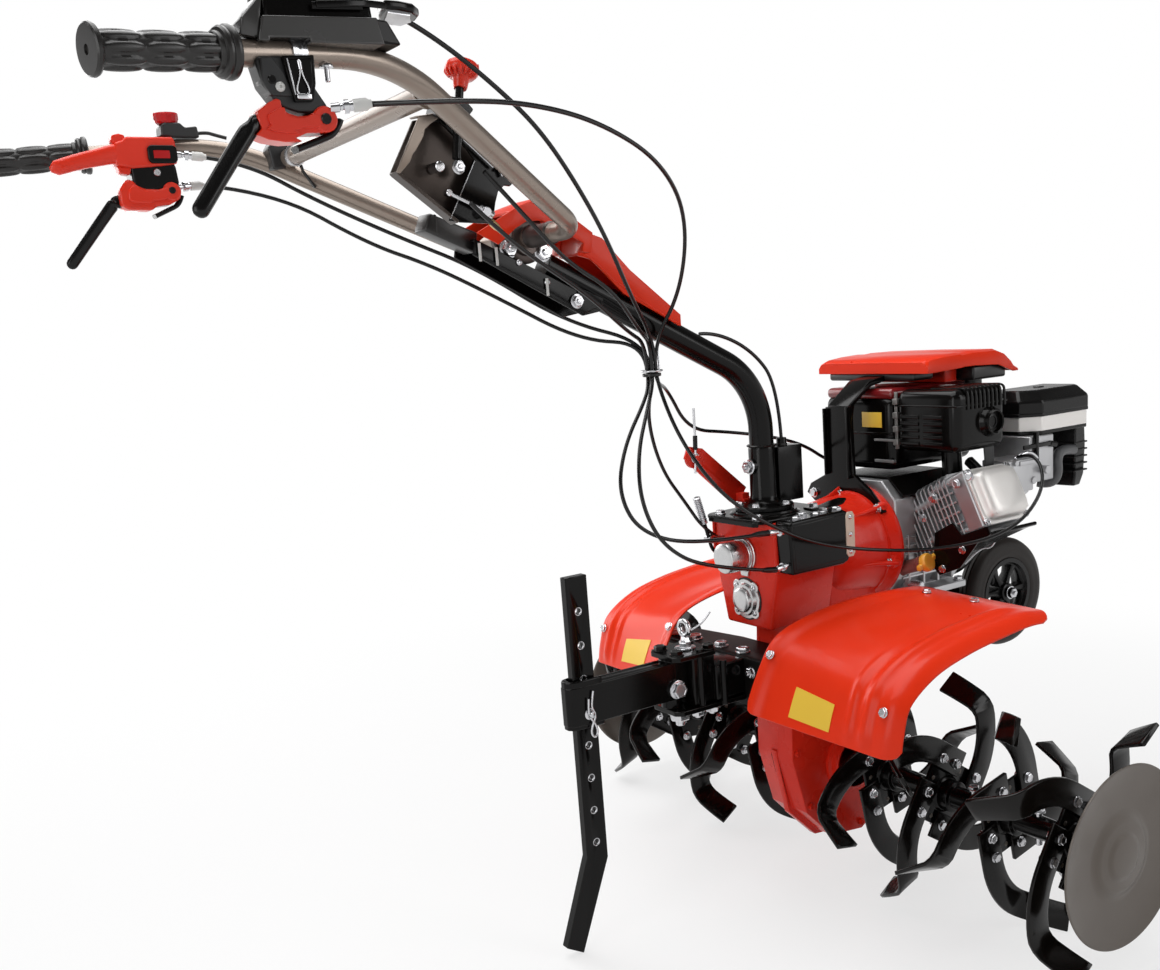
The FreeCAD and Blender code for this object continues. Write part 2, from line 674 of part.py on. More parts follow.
def column_channel():
    """Black channel under the tube, with the two ears that carry the tilt shaft."""
    outline = [(-606, 1012), (-602, 1032), (-412, 941), (-420, 930), (-447, 926)]
    shell = side_plate(outline, (-CHANNEL_HALF, CHANNEL_HALF))
    hollow = side_plate([(-620, 1020), (-602, 1060), (-380, 960), (-400, 930), (-430, 932), (-447, 930)],
                        (-CHANNEL_HALF + 3, CHANNEL_HALF - 3))
    shell = shell.cut(hollow)
    ear = [(-560, 1008), (-548, 1040), (-532, 1052), (-512, 1052), (-496, 1036), (-470, 968), (-480, 960)]
    ears = [side_plate(ear, (side * (CHANNEL_HALF - 3), side * CHANNEL_HALF)) for side in (-1, 1)]
    bolt = rod((-456, -CHANNEL_HALF - 6, 946), (-456, CHANNEL_HALF + 6, 946), 6)
    spacer = rod((-456, -CHANNEL_HALF + 2, 946), (-456, CHANNEL_HALF - 2, 946), 12)
    shape = fuse([shell, bolt, spacer] + ears)
    return shape.cut(column_tube()).cut(pivot_bore(HANDLE_RADIUS + RUNNING_GAP))


def clamp_discs():
    """Toothed discs of the height clamp, round the tilt shaft."""
    discs = [rod((PIVOT_X, side * 5, PIVOT_Z), (PIVOT_X, side * 21, PIVOT_Z), PIVOT_DISC_RADIUS)
             for side in (-1, 1)]
    cheeks = [rod((PIVOT_X, side * 20, PIVOT_Z), (PIVOT_X, side * (CHANNEL_HALF - 3), PIVOT_Z), 22)
              for side in (-1, 1)]
    link = box((-540, -480), (-5, 5), (996, 1014))
    shape = fuse(discs + cheeks + [link])
    return shape.cut(column_tube()).cut(pivot_bore(HANDLE_RADIUS + RUNNING_GAP))


def column_sleeve():
    """Rubber sleeve on the rear end of the channel."""
    shape = side_plate([(-596, 1014), (-590, 1040), (-656, 1066), (-665, 1044)], (-17, 17))
    return shape.cut(column_channel())


def clamp_lever():
    """Long red lever over the pivot: a wide fork, then a handle along the tube."""
    fork = [(-604, 1038), (-574, 1023), (-548, 1042), (-530, 1051), (-508, 1051), (-480, 1040),
            (-440, 1018), (-430, 1034), (-500, 1082), (-540, 1070)]
    fork_inner = [(x, z - 4) for x, z in fork]
    handle = [(-446, 1006), (-440, 1040), (-405, 1028), (-362, 984), (-279, 918), (-279, 902), (-374, 952),
              (-424, 1000)]
    handle_inner = [(x, z - 4) for x, z in handle]
    wide = side_plate(fork, (-40, 40)).cut(side_plate(fork_inner, (-37, 37)))
    wide = wide.cut(box((-620, -552), (-37, 37), (1000, 1100)))
    narrow = side_plate(handle, (-24, 24)).cut(side_plate(handle_inner, (-21, 21)))
    bridge = side_plate([(-448, 1010), (-440, 1040), (-430, 1034), (-434, 1008)], (-40, -21))
    return fuse([wide, narrow, bridge, mirrored(bridge)])


def lock_arm():
    """Red flat arm beside the post, with its pin."""
    arm = side_plate([(-134, 612), (-112, 640), (-196, 712), (-222, 718), (-230, 700), (-214, 684)], (50, 56))
    foot = box((-134, -108), (30, 56), (PLATE_TOP + 9, PLATE_TOP + 14))
    post = box((-134, -120), (34, 56), (PLATE_TOP + 9, 634))
    pin = rod((-212, 42, 699), (-212, 64, 699), 5)
    cut = box((-240, -100), (0, 70), (600, PLATE_TOP + 9))
    return fuse([arm, foot, post, pin]).cut(cut)


def cable_ring():
    """Wire ring that hangs from the tube and gathers the cables."""
    ring = Part.makeTorus(RING_RADIUS, 1.5, Vector(RING_X, RING_Y, RING_Z), Vector(0, 0, 1))
    top_x = RING_X + 20
    stem = rod((RING_X + RING_RADIUS, RING_Y + 2, RING_Z), (top_x, 0, column_height(top_x)), 1.5)
    return fuse([ring, stem]).cut(column_tube())


save("column_post", column_post())
save("column_box", column_box())
save("column_tube", column_tube())
save("column_channel", column_channel())
save("clamp_discs", clamp_discs())
save("column_sleeve", column_sleeve())
save("clamp_lever", clamp_lever())
save("lock_arm", lock_arm())
save("cable_ring", cable_ring())


# ---------------------------------------------------------------------------
# Handlebar: tilt shaft, two bent tubes, cross tube, grips and controls
# ---------------------------------------------------------------------------
def on_right(point):
    """The same point on the right side."""
    return (point[0], -point[1], point[2])


def handle_tube():
    """Right handle tube, from the tilt shaft round two bends to the grip."""
    points = [(PIVOT_X, -TILT_SHAFT_END, PIVOT_Z), on_right(HANDLE_END), on_right(HANDLE_CORNER),
              on_right(GRIP_OUTER)]
    return tube(points, HANDLE_RADIUS, [HANDLE_BEND, 70])


def grip():
    """Rubber grip with an end flange and a double inner flange."""
    inner = Vector(*on_right(GRIP_INNER))
    outer = Vector(*on_right(GRIP_OUTER))
    along = (outer - inner).normalize()
    body = rod(inner, outer + along * 4, GRIP_RADIUS)
    flanges = [rod(inner, inner + along * 6, GRIP_FLANGE_RADIUS),
               rod(inner + along * 10, inner + along * 16, GRIP_FLANGE_RADIUS),
               rod(outer - along * 2, outer + along * 4, GRIP_FLANGE_RADIUS)]
    return fuse([body] + flanges).cut(handle_tube())


def cross_tube():
    """Straight tube between the two handle tubes."""
    tubes = fuse([rod((-758, -246, 1162), (-738, 246, 1165), HANDLE_RADIUS)])
    return tubes.cut(handle_tube()).cut(mirrored(handle_tube()))


def throttle_box():
    """Black box on the right tube, with the throttle's lever plate."""
    lower = side_plate([(-960, 1186), (-970, 1210), (-952, 1216), (-828, 1218), (-813, 1192)], (-322, -262))
    upper = side_plate([(-946, 1216), (-940, 1250), (-838, 1252), (-828, 1218)], (-316, -268))
    plate = flat_plate([(-850, -296), (-796, -286), (-774, -270), (-776, -246), (-800, -240), (-850, -276)],
                       (1226, 1236))
    return fuse([lower, upper, plate]).cut(handle_tube())


def right_lever():
    """Bracket under the right tube with its hand lever."""
    bracket = side_plate([(-956, 1188), (-896, 1192), (-884, 1136), (-900, 1126), (-950, 1130), (-962, 1160)],
                         (-318, -290))
    body = side_plate([(-966, 1140), (-946, 1146), (-884, 1136), (-880, 1116), (-926, 1102), (-962, 1108)],
                      (-322, -286))
    lever = tube([(-950, -306, 1122), (-974, -312, 1116), (-1036, -328, 1036)], 9, [12])
    clamp = rod((-925, -292, 1186), (-905, -292, 1186), 16)
    adjuster = rod((-890, -316, 1130), (-862, -328, 1133), 5)
    return largest(fuse([bracket, body, lever, clamp, adjuster]).cut(handle_tube()).cut(throttle_box()))


def left_levers():
    """Two hand levers, one above the other, on a clamp round the left tube."""
    upper = box((-952, -870), (262, 292), (1158, 1198))
    blade_up = tube([(-940, 270, 1176), (-965, 268, 1172), (-1032, 268, 1157)], 10, [8])
    clamp = box((-934, -880), (262, 312), (1138, 1200))
    lower = side_plate([(-956, 1128), (-944, 1142), (-876, 1142), (-868, 1120), (-880, 1104), (-950, 1104)],
                       (262, 296))
    blade_low = tube([(-944, 280, 1124), (-968, 282, 1118), (-1028, 286, 1036)], 8, [12])
    adjusters = [rod((-874, 270, 1172), (-842, 264, 1170), 5), rod((-880, 286, 1130), (-842, 294, 1138), 5)]
    return fuse([upper, blade_up, clamp, lower, blade_low] + adjusters).cut(mirrored(handle_tube()))


def kill_switch():
    """Switch block on top of the left tube, with its red knob."""
    block = box((-892, -842), (268, 304), (1192, 1210))
    riser = box((-892, -868), (272, 300), (1208, 1218))
    knob = rod((-880, 286, 1216), (-880, 286, 1230), 16)
    return fuse([block, riser, knob]).cut(mirrored(handle_tube())).cut(left_levers())


def selector_plate():
    """Folded plate under the cross tube that guides the selector rod."""
    rear = [Vector(-704, -90, 1176), Vector(-744, -90, 1096), Vector(-640, -90, 1040), Vector(-584, -90, 1090)]
    slab = Part.Face(Part.makePolygon(rear + rear[:1])).extrude(Vector(-44, -120, -14))
    axis = Vector(-44, -120, -14).normalize()
    inner = Part.Face(Part.makePolygon([point + Vector(3, 0, 4) for point in rear + rear[:1]]))
    hollow = inner.extrude(Vector(-44, -120, -14))
    hollow.translate(Vector(-2, 0, -10) - axis * 4)
    hollow = hollow.fuse(box((-600, -560), (-230, -60), (1000, 1200)))
    return slab.cut(hollow).cut(cross_tube()).cut(handle_tube())


def selector_rod():
    """Rod through the plate, with its round knob."""
    stem = rod((-690, -150, 1110), (-656, -128, 1200), 5)
    knob = cone((-656, -128, 1196), (-650, -124, 1212), 9, 20)
    top = rod((-650, -124, 1212), (-646, -122, 1222), 20)
    return largest(fuse([stem, knob, top]).cut(selector_plate()))


save("tilt_shaft", pivot_bore(HANDLE_RADIUS))
save("handle_tubes", both_sides(handle_tube()))
save("grips", both_sides(grip()))
save("cross_tube", cross_tube())
save("throttle_box", throttle_box())
save("right_lever", right_lever())
save("left_levers", left_levers())
save("kill_switch", kill_switch())
save("selector_plate", selector_plate())
save("selector_rod", selector_rod())


# ---------------------------------------------------------------------------
# Cables: from the handlebar to the ring, and from the ring to the chassis
# ---------------------------------------------------------------------------
def cable(points):
    """Round cable along hand-placed points, with the largest arcs its runs allow."""
    runs = [(Vector(*points[index + 1]) - Vector(*points[index])).Length for index in range(len(points) - 1)]
    reaches = [CABLE_EASE * min(runs[index], runs[index + 1]) for index in range(len(runs) - 1)]
    return tube(points, CABLE_RADIUS, reaches)


def bundle(column, row):
    """Place of one cable in the bundle where it passes the ring, in x and y."""
    return (RING_X + BUNDLE_PITCH * column, RING_Y + BUNDLE_PITCH * row)


UPPER_ROUTES = {
    "right_lever": [(-858, -328, 1134), (-766, -310, 1144), (-656, -280, 1150), (-541, -240, 1140),
                    (-422, -190, 1106), (-346, -140, 1045), (-318, -80, 950)],
    "throttle": [(-774, -250, 1230), (-730, -232, 1218), (-645, -200, 1178), (-585, -180, 1140),
                 (-524, -150, 1088), (-464, -120, 1024), (-396, -72, 945)],
    "left_upper": [(-840, 264, 1170), (-790, 246, 1160), (-715, 212, 1108), (-610, 170, 1050),
                   (-520, 130, 1004), (-420, 66, 920)],
    "left_lower": [(-840, 294, 1138), (-750, 262, 1124), (-650, 196, 1046), (-578, 156, 1012),
                   (-500, 110, 960), (-410, 44, 892)],
    "selector_low": [(-668, -150, 1062), (-620, -130, 1030), (-557, -105, 996), (-470, -80, 952),
                     (-392, -52, 900)],
    "selector_high": [(-652, -160, 1096), (-560, -130, 1022), (-505, -100, 990), (-440, -94, 956),
                      (-378, -62, 898)],
}
UPPER_PLACES = {"right_lever": (1, 0), "throttle": (0.5, -0.9), "left_upper": (0.5, 0.9), "left_lower": (-0.5, 0.9),
                "selector_low": (-1, 0), "selector_high": (-0.5, -0.9)}
LOWER_ROUTES = {
    "clutch": [(-364, -44, 806), (-430, -80, 750), (-462, -104, 690), (-440, -118, 634), (-350, -124, 604),
               (-204, -100, 595)],
    "reverse": [(-380, -70, 796), (-430, -110, 740), (-448, -136, 676), (-420, -142, 614), (-340, -132, 570),
                (-193, -100, 538)],
    "selector": [(-320, 18, 770), (-280, 46, 690), (-226, 62, 630), (-196, 60, 585), (-167, 58, 565)],
    "engine": [(-322, -62, 744), (-294, -104, 672), (-245, -122, 628), (-160, -134, 580), (-55, -140, 550),
               (60, -190, 536), (150, -256, 556), (222, -264, 614), (260, -218, 668), (262, -176, 653)],
    "front_upper": [(-262, 44, 812), (-214, 60, 742), (-130, 62, 730), (-40, 60, 712), (30, 64, 690), (84, 66, 656), (118, 66, 648)],
}
LOWER_PLACES = {"clutch": (-1, 0), "reverse": (-0.5, -0.9), "selector": (0.5, 0.9), "engine": (0.5, -0.9),
                "front_upper": (1, 0)}


def upper_cables():
    """Cables from the controls to the ring."""
    cables = []
    for name, route in UPPER_ROUTES.items():
        x, y = bundle(*UPPER_PLACES[name])
        cables.append(cable(route + [(x, y, RING_Z + 40), (x, y, RING_Z)]))
    return Part.makeCompound(cables)


def lower_cables():
    """Cables from the ring to the gearbox and the engine."""
    cables = []
    for name, route in LOWER_ROUTES.items():
        x, y = bundle(*LOWER_PLACES[name])
        cables.append(cable([(x, y, RING_Z), (x, y, RING_Z - 18)] + route))
    return Part.makeCompound(cables)


def box_cable():
    """Short cable from the main tube down to the cap of the square guide."""
    top = column_height(-228) + 25
    return cable([(-228, 0, top), (-196, 0, top), (-128, 0, 856), (-82, 0, 802), (-78, 0, POST_TOP + 6)])


save("upper_cables", upper_cables())
save("lower_cables", lower_cables())
save("box_cable", box_cable())
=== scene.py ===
"""Garden tiller: the looks of the machine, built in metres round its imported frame."""
import json
import logging
import math
from contextlib import contextmanager
from dataclasses import dataclass, field
from enum import Enum
from typing import Iterator, Sequence

import bmesh
import bpy
from mathutils import Matrix, Vector


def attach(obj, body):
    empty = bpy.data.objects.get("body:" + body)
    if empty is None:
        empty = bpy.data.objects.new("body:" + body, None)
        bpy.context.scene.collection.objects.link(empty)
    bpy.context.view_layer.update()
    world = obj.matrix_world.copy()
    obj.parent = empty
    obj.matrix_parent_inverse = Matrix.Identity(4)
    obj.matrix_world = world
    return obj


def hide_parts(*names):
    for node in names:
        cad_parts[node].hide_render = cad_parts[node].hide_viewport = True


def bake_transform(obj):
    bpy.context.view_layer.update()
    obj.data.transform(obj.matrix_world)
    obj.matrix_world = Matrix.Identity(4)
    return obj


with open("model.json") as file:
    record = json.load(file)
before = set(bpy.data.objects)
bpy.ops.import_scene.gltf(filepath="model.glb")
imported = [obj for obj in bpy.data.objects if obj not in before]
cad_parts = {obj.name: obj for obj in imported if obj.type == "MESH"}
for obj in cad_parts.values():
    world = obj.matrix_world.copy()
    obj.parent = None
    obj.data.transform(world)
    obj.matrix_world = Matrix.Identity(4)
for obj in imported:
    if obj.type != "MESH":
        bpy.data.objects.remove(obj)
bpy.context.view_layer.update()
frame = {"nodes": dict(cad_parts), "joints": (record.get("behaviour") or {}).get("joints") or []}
MM = 0.001  # metres in a millimetre
DOUBLES = 0.00001  # metres within which points are merged
LINE_ORDER = 3  # order of the smooth lines' splines
EASED_ANGLE = 40.0  # faces of eased pieces are smooth under this angle
SWEPT_ANGLE = 50.0  # faces of swept pieces are smooth under this angle
PIVOTS = {joint["name"]: Vector(joint["pos_m"]) for joint in frame["joints"] if "pos_m" in joint}
AXLE = PIVOTS["tine_spin"]

Point = tuple[float, float, float]
Colour = tuple[float, float, float]
Piece = bpy.types.Object
log = logging.getLogger("tiller")


class Body(Enum):
    """The bodies of the frame that a piece can ride on."""

    CHASSIS = "chassis"
    ROTOR = "tine_rotor"
    ARM = "wheel_arm"
    WHEEL = "front_wheel"
    COLUMN = "column"
    HANDLEBAR = "handlebar"
    STAKE = "stake"


class Plane(Enum):
    """The plane that a flat outline is drawn in."""

    SIDE = "xz"
    FLOOR = "xy"
    FRONT = "yz"


def at(x: float, y: float, z: float) -> Vector:
    """Place in metres of a point given in millimetres from the tine axle, with z from the ground."""
    return Vector((AXLE.x + x * MM, y * MM, z * MM))


# ---------------------------------------------------------------------------
# Bench: modelling with Blender's own tools
# ---------------------------------------------------------------------------
def take(*pieces: Piece) -> None:
    """Select only these pieces, with the last one active."""
    bpy.ops.object.select_all(action="DESELECT")
    for piece in pieces:
        piece.select_set(True)
    if pieces:
        bpy.context.view_layer.objects.active = pieces[-1]


@contextmanager
def edit_mode(piece: Piece) -> Iterator[None]:
    """Hold one piece in edit mode, with nothing selected at first.

    Args:
        piece: the piece to edit.

    Yields:
        Nothing. The piece is in edit mode inside the with block.
    """
    take(piece)
    bpy.ops.object.mode_set(mode="EDIT")
    bpy.ops.mesh.select_all(action="DESELECT")
    yield
    bpy.ops.object.mode_set(mode="OBJECT")


def loft(name: str, sections: Sequence[Sequence[Point]], smooth: float = 35.0) -> Piece:
    """Closed solid extruded through sections of equal count.

    Args:
        name: the piece's name.
        sections: outlines in millimetres, from one end to the other.
        smooth: angle in degrees under which faces are shaded smooth.

    Returns:
        The new piece, its place in its mesh.
    """
    take()
    bpy.ops.mesh.primitive_circle_add(vertices=len(sections[0]), fill_type="NGON", location=(0, 0, 0))
    piece = bpy.context.active_object
    piece.name = name
    piece.data.name = name
    bpy.ops.object.mode_set(mode="EDIT")
    bpy.ops.mesh.select_all(action="SELECT")
    mesh = bmesh.from_edit_mesh(piece.data)
    rank = mesh.verts.layers.int.new("rank")
    for number, vertex in enumerate(mesh.verts):
        vertex[rank] = number
        vertex.co = at(*sections[0][number])
    bmesh.update_edit_mesh(piece.data)
    for section in sections[1:]:
        bpy.ops.mesh.extrude_region()
        mesh = bmesh.from_edit_mesh(piece.data)
        rank = mesh.verts.layers.int["rank"]
        for vertex in mesh.verts:
            if vertex.select:
                vertex.co = at(*section[vertex[rank]])
        bmesh.update_edit_mesh(piece.data)
    bpy.ops.mesh.select_all(action="SELECT")
    bpy.ops.mesh.normals_make_consistent(inside=False)
    bpy.ops.object.mode_set(mode="OBJECT")
    piece.data.attributes.remove(piece.data.attributes["rank"])
    shade(piece, smooth)
    return piece


def shade(piece: Piece, angle: float) -> None:
    """Shade a piece smooth where its faces meet under an angle in degrees."""
    take(piece)
    bpy.ops.object.shade_smooth_by_angle(angle=math.radians(angle))


def basis(direction: Vector) -> tuple[Vector, Vector]:
    """Two directions square to a direction and to each other.

    Args:
        direction: a unit vector.

    Returns:
        The two unit vectors.
    """
    across = Vector((0, 0, 1)) if abs(direction.z) < 0.9 else Vector((0, 1, 0))
    first = direction.cross(across).normalized()
    return first, first.cross(direction).normalized()


def ring(centre: Vector, direction: Vector, radius: float, sides: int, twist: float = 0.0) -> list[Point]:
    """Points of a circle round an axis, in millimetres.

    Args:
        centre: the circle's centre.
        direction: its axis.
        radius: its radius.
        sides: number of points.
        twist: turn of the first point in degrees.

    Returns:
        The points, in order.
    """
    first, second = basis(direction)
    points = []
    for side in range(sides):
        turn = math.tau * side / sides + math.radians(twist)
        point = centre + first * (radius * math.cos(turn)) + second * (radius * math.sin(turn))
        points.append(tuple(point))
    return points


def turned(name: str, start: Point, end: Point, profile: Sequence[tuple[float, float]], sides: int = 40,
           twist: float = 0.0, smooth: float = 35.0) -> Piece:
    """Solid turned about the line from start towards end.

    Args:
        name: the piece's name.
        start: where the profile's lengths are counted from.
        end: a point that the axis runs towards.
        profile: pairs of radius and length along the axis, in millimetres.
        sides: number of sides round the axis.
        twist: turn of the first side, in degrees.
        smooth: angle under which faces are shaded smooth.

    Returns:
        The new piece.
    """
    base = Vector(start)
    direction = (Vector(end) - base).normalized()
    sections = [ring(base + direction * length, direction, radius, sides, twist)
        for radius, length in profile]
    return loft(name, sections, smooth)


def rod(name: str, start: Point, end: Point, radius: float, edge: float = 0.8, sides: int = 28) -> Piece:
    """Round bar between two points, with broken edges.

    Args:
        name: the piece's name.
        start: middle of one end.
        end: middle of the other end.
        radius: radius of the bar.
        edge: size of the broken edge.
        sides: number of sides.

    Returns:
        The new piece.
    """
    length = (Vector(end) - Vector(start)).length
    profile = [(radius - edge, 0), (radius, edge), (radius, length - edge), (radius - edge, length)]
    return turned(name, start, end, profile, sides)


def outline_points(outline: Sequence[tuple[float, float]], plane: Plane, depth: float) -> list[Point]:
    """Points in space of a flat outline at one depth.

    Args:
        outline: corners in the plane, in millimetres.
        plane: the plane.
        depth: place along the plane's normal.

    Returns:
        The corners in space.
    """
    if plane is Plane.SIDE:
        return [(a, depth, b) for a, b in outline]
    if plane is Plane.FLOOR:
        return [(a, b, depth) for a, b in outline]
    return [(depth, a, b) for a, b in outline]


def plate(name: str, outline: Sequence[tuple[float, float]], plane: Plane, low: float, high: float,
          edge: float = 0.8, rounds: int = 2) -> Piece:
    """Flat plate with an outline and broken edges."""
    piece = loft(name, [outline_points(outline, plane, low), outline_points(outline, plane, high)])
    return ease(piece, edge, rounds)


def block(name: str, x: tuple[float, float], y: tuple[float, float], z: tuple[float, float],
          edge: float = 1.5, rounds: int = 3) -> Piece:
    """Rectangular body with rounded edges, from a cube added at its size and place.

    Args:
        name: the piece's name.
        x: lowest and highest x in millimetres.
        y: lowest and highest y.
        z: lowest and highest z.
        edge: radius of the edges.
        rounds: segments of each edge.

    Returns:
        The new piece.
    """
    take()
    low = at(x[0], y[0], z[0])
    high = at(x[1], y[1], z[1])
    bpy.ops.mesh.primitive_cube_add(size=1, location=(low + high) / 2, scale=high - low)
    piece = bpy.context.active_object
    piece.name = name
    piece.data.name = name
    settle(piece)
    return ease(piece, edge, rounds)


def settle(piece: Piece) -> Piece:
    """Put a piece's place into its mesh, so that its object sits at the origin.

    Args:
        piece: a piece that was moved, turned or scaled.

    Returns:
        The same piece.
    """
    take(piece)
    bpy.ops.object.transform_apply(location=True, rotation=True, scale=True)
    return piece


def apply_all(piece: Piece) -> Piece:
    """Apply every modifier of a piece in order.

    Args:
        piece: a piece with modifiers.

    Returns:
        The same piece.
    """
    take(piece)
    for modifier in list(piece.modifiers):
        bpy.ops.object.modifier_apply(modifier=modifier.name)
    return piece


def ease(piece: Piece, width: float, rounds: int = 2, angle: float = 30.0) -> Piece:
    """Round the sharp edges of a piece.

    Args:
        piece: the piece to finish.
        width: width of each edge in millimetres.
        rounds: segments across each edge.
        angle: edges sharper than this, in degrees, are rounded.

    Returns:
        The same piece.
    """
    if width > 0:
        take(piece)
        bpy.ops.object.modifier_add(type="BEVEL")
        bevel = piece.modifiers[-1]
        bevel.width = width * MM
        bevel.segments = rounds
        bevel.limit_method = "ANGLE"
        bevel.angle_limit = math.radians(angle)
        bevel.use_clamp_overlap = True
        apply_all(piece)
    shade(piece, EASED_ANGLE)
    return piece


def cut(piece: Piece, *tools: Piece) -> Piece:
    """Cut other pieces out of a piece, and throw them away.

    Args:
        piece: the piece that is cut.
        tools: closed pieces, removed afterwards.

    Returns:
        The same piece, cut.
    """
    for tool in tools:
        take(piece)
        bpy.ops.object.modifier_add(type="BOOLEAN")
        piece.modifiers[-1].operation = "DIFFERENCE"
        piece.modifiers[-1].object = tool
        piece.modifiers[-1].solver = "EXACT"
        apply_all(piece)
        bpy.data.objects.remove(tool)
    return piece


def join(name: str, pieces: Sequence[Piece]) -> Piece:
    """One piece from several of the same finish.

    Args:
        name: the joined piece's name.
        pieces: the pieces, the main one last.

    Returns:
        The joined piece.
    """
    take(*pieces)
    if len(pieces) > 1:
        bpy.ops.object.join()
    piece = bpy.context.active_object
    piece.name = name
    piece.data.name = name
    return piece


def swept(name: str, path: Sequence[Point], across: Point, sizes: Sequence[tuple[float, float]],
          square: float = 2.0, sides: int = 20) -> Piece:
    """Solid swept along a path, with a rounded section that changes size.

    Args:
        name: the piece's name.
        path: points along the middle, in millimetres.
        across: direction of the section's width.
        sizes: half width and half thickness at each point.
        square: 2 makes an oval section, more makes it squarer.
        sides: points round the section.

    Returns:
        The new piece.
    """
    points = [Vector(point) for point in path]
    sections = []
    for index, point in enumerate(points):
        along = points[min(index + 1, len(points) - 1)] - points[max(index - 1, 0)]
        along.normalize()
        side = Vector(across) - along * along.dot(Vector(across))
        side.normalize()
        rise = side.cross(along)
        section = []
        for number in range(sides):
            turn = math.tau * (number + 0.5) / sides
            c, s = math.cos(turn), math.sin(turn)
            wide = math.copysign(abs(c) ** (2 / square), c) * sizes[index][0]
            high = math.copysign(abs(s) ** (2 / square), s) * sizes[index][1]
            section.append(tuple(point + side * wide + rise * high))
        sections.append(section)
    return loft(name, sections, SWEPT_ANGLE)


def pipe(name: str, corners: Sequence[Point], radius: float, reaches: Sequence[float],
        across: Point) -> Piece:
    """Round tube along straight runs that are joined by arcs.

    Args:
        name: the piece's name.
        corners: both ends and the corners between them, in millimetres.
        radius: radius of the tube.
        reaches: how far from its corner each arc starts.
        across: a direction that the tube never runs along.

    Returns:
        The new piece.
    """
    places = [Vector(corner) for corner in corners]
    path = [places[0]]
    for last, corner, following, reach in zip(places, places[1:], places[2:], reaches):
        back, ahead = (last - corner).normalized(), (following - corner).normalized()
        half = back.angle(ahead) / 2
        middle = (back + ahead).normalized()
        centre = corner + middle * (reach / math.cos(half))
        size = reach * math.tan(half)
        start, end = corner + back * reach - centre, corner + ahead * reach - centre
        path += [centre + start.slerp(end, step / 14).normalized() * size for step in range(15)]
    path.append(places[-1])
    return swept(name, [tuple(point) for point in path], across, [(radius, radius)] * len(path), sides=44)


def smooth_line(name: str, points: Sequence[Sequence[float]], steps: int) -> bpy.types.Object:
    """Curve object of one smooth line.

    Args:
        name: name of the curve and of its object.
        points: control points, in the unit that the line is wanted in.
        steps: steps between two points.

    Returns:
        The curve object, in the scene.
    """
    take()
    curve = bpy.data.curves.new(name, "CURVE")
    curve.dimensions = "3D"
    spline = curve.splines.new("NURBS")
    spline.points.add(len(points) - 1)
    for place, point in zip(spline.points, points):
        place.co = (*point, 1)
    spline.order_u = LINE_ORDER
    spline.use_endpoint_u = True
    curve.resolution_u = steps
    line = bpy.data.objects.new(name, curve)
    bpy.context.collection.objects.link(line)
    return line


def smooth_path(points: Sequence[Point], steps: int = 6) -> list[Point]:
    """Points of one smooth line that is shaped by a few given points.

    Args:
        points: control points in millimetres.
        steps: steps between two points.

    Returns:
        The line's own points in millimetres.
    """
    line = smooth_line("guide", points, steps)
    bpy.context.view_layer.update()
    mesh = bpy.data.meshes.new_from_object(line)
    path = [tuple(vertex.co) for vertex in mesh.vertices]
    bpy.data.objects.remove(line)
    return path


def wire(name: str, points: Sequence[Point], radius: float, sides: int = 3, steps: int = 8) -> Piece:
    """Round wire along one smooth line.

    Args:
        name: the piece's name.
        points: control points in millimetres.
        radius: radius of the wire.
        sides: half the steps round it, less two, as a curve counts them.
        steps: steps between two points.

    Returns:
        The new piece, as a mesh.
    """
    piece = smooth_line(name, [at(*point) for point in points], steps)
    piece.data.bevel_depth = radius * MM
    piece.data.bevel_resolution = sides
    piece.data.use_fill_caps = True
    take(piece)
    bpy.ops.object.convert(target="MESH")
    piece = bpy.context.active_object
    with edit_mode(piece):
        bpy.ops.mesh.select_all(action="SELECT")
        bpy.ops.mesh.remove_doubles(threshold=DOUBLES)
        bpy.ops.mesh.normals_make_consistent(inside=False)
    shade(piece, 60.0)
    return piece


def copies(name: str, model: Piece, places: Sequence[tuple[Point, Point]], spin: float = 0.0) -> Piece:
    """One piece made of copies of a small model that was built at the axle's zero, facing up.

    Args:
        name: the new piece's name.
        model: the model, whose foot is at (0, 0, 0) in millimetres and whose axis is +z.
        places: pairs of the foot's place and the axis's direction.
        spin: turn in degrees from one copy to the next.

    Returns:
        The joined piece. The model is left for more copies.
    """
    made = []
    home = Matrix.Translation(-at(0, 0, 0))
    for number, (point, direction) in enumerate(places):
        take(model)
        bpy.ops.object.duplicate()
        copy = bpy.context.active_object
        facing = Vector(direction).normalized().to_track_quat("Z", "Y").to_matrix().to_4x4()
        turn = Matrix.Rotation(math.radians(spin * number), 4, "Z")
        copy.matrix_world = Matrix.Translation(at(*point)) @ facing @ turn @ home
        made.append(settle(copy))
    return join(name, made)


def moved_copy(name: str, piece: Piece, change: Matrix) -> Piece:
    """Copy of a piece under a turn, shift or mirror given in the frame's metres.

    Args:
        name: the copy's name.
        piece: the piece that is copied.
        change: where the copy goes.

    Returns:
        The copy, with its place in its mesh.
    """
    take(piece)
    bpy.ops.object.duplicate()
    copy = bpy.context.active_object
    copy.matrix_world = change
    settle(copy)
    copy.name = name
    copy.data.name = name
    if change.determinant() < 0:
        with edit_mode(copy):
            bpy.ops.mesh.select_all(action="SELECT")
            bpy.ops.mesh.normals_make_consistent(inside=False)
    return copy


def other_side(name: str, piece: Piece) -> Piece:
    """Mirror image of a piece on the other side of the machine."""
    return moved_copy(name, piece, Matrix.Scale(-1, 4, Vector((0, 1, 0))))


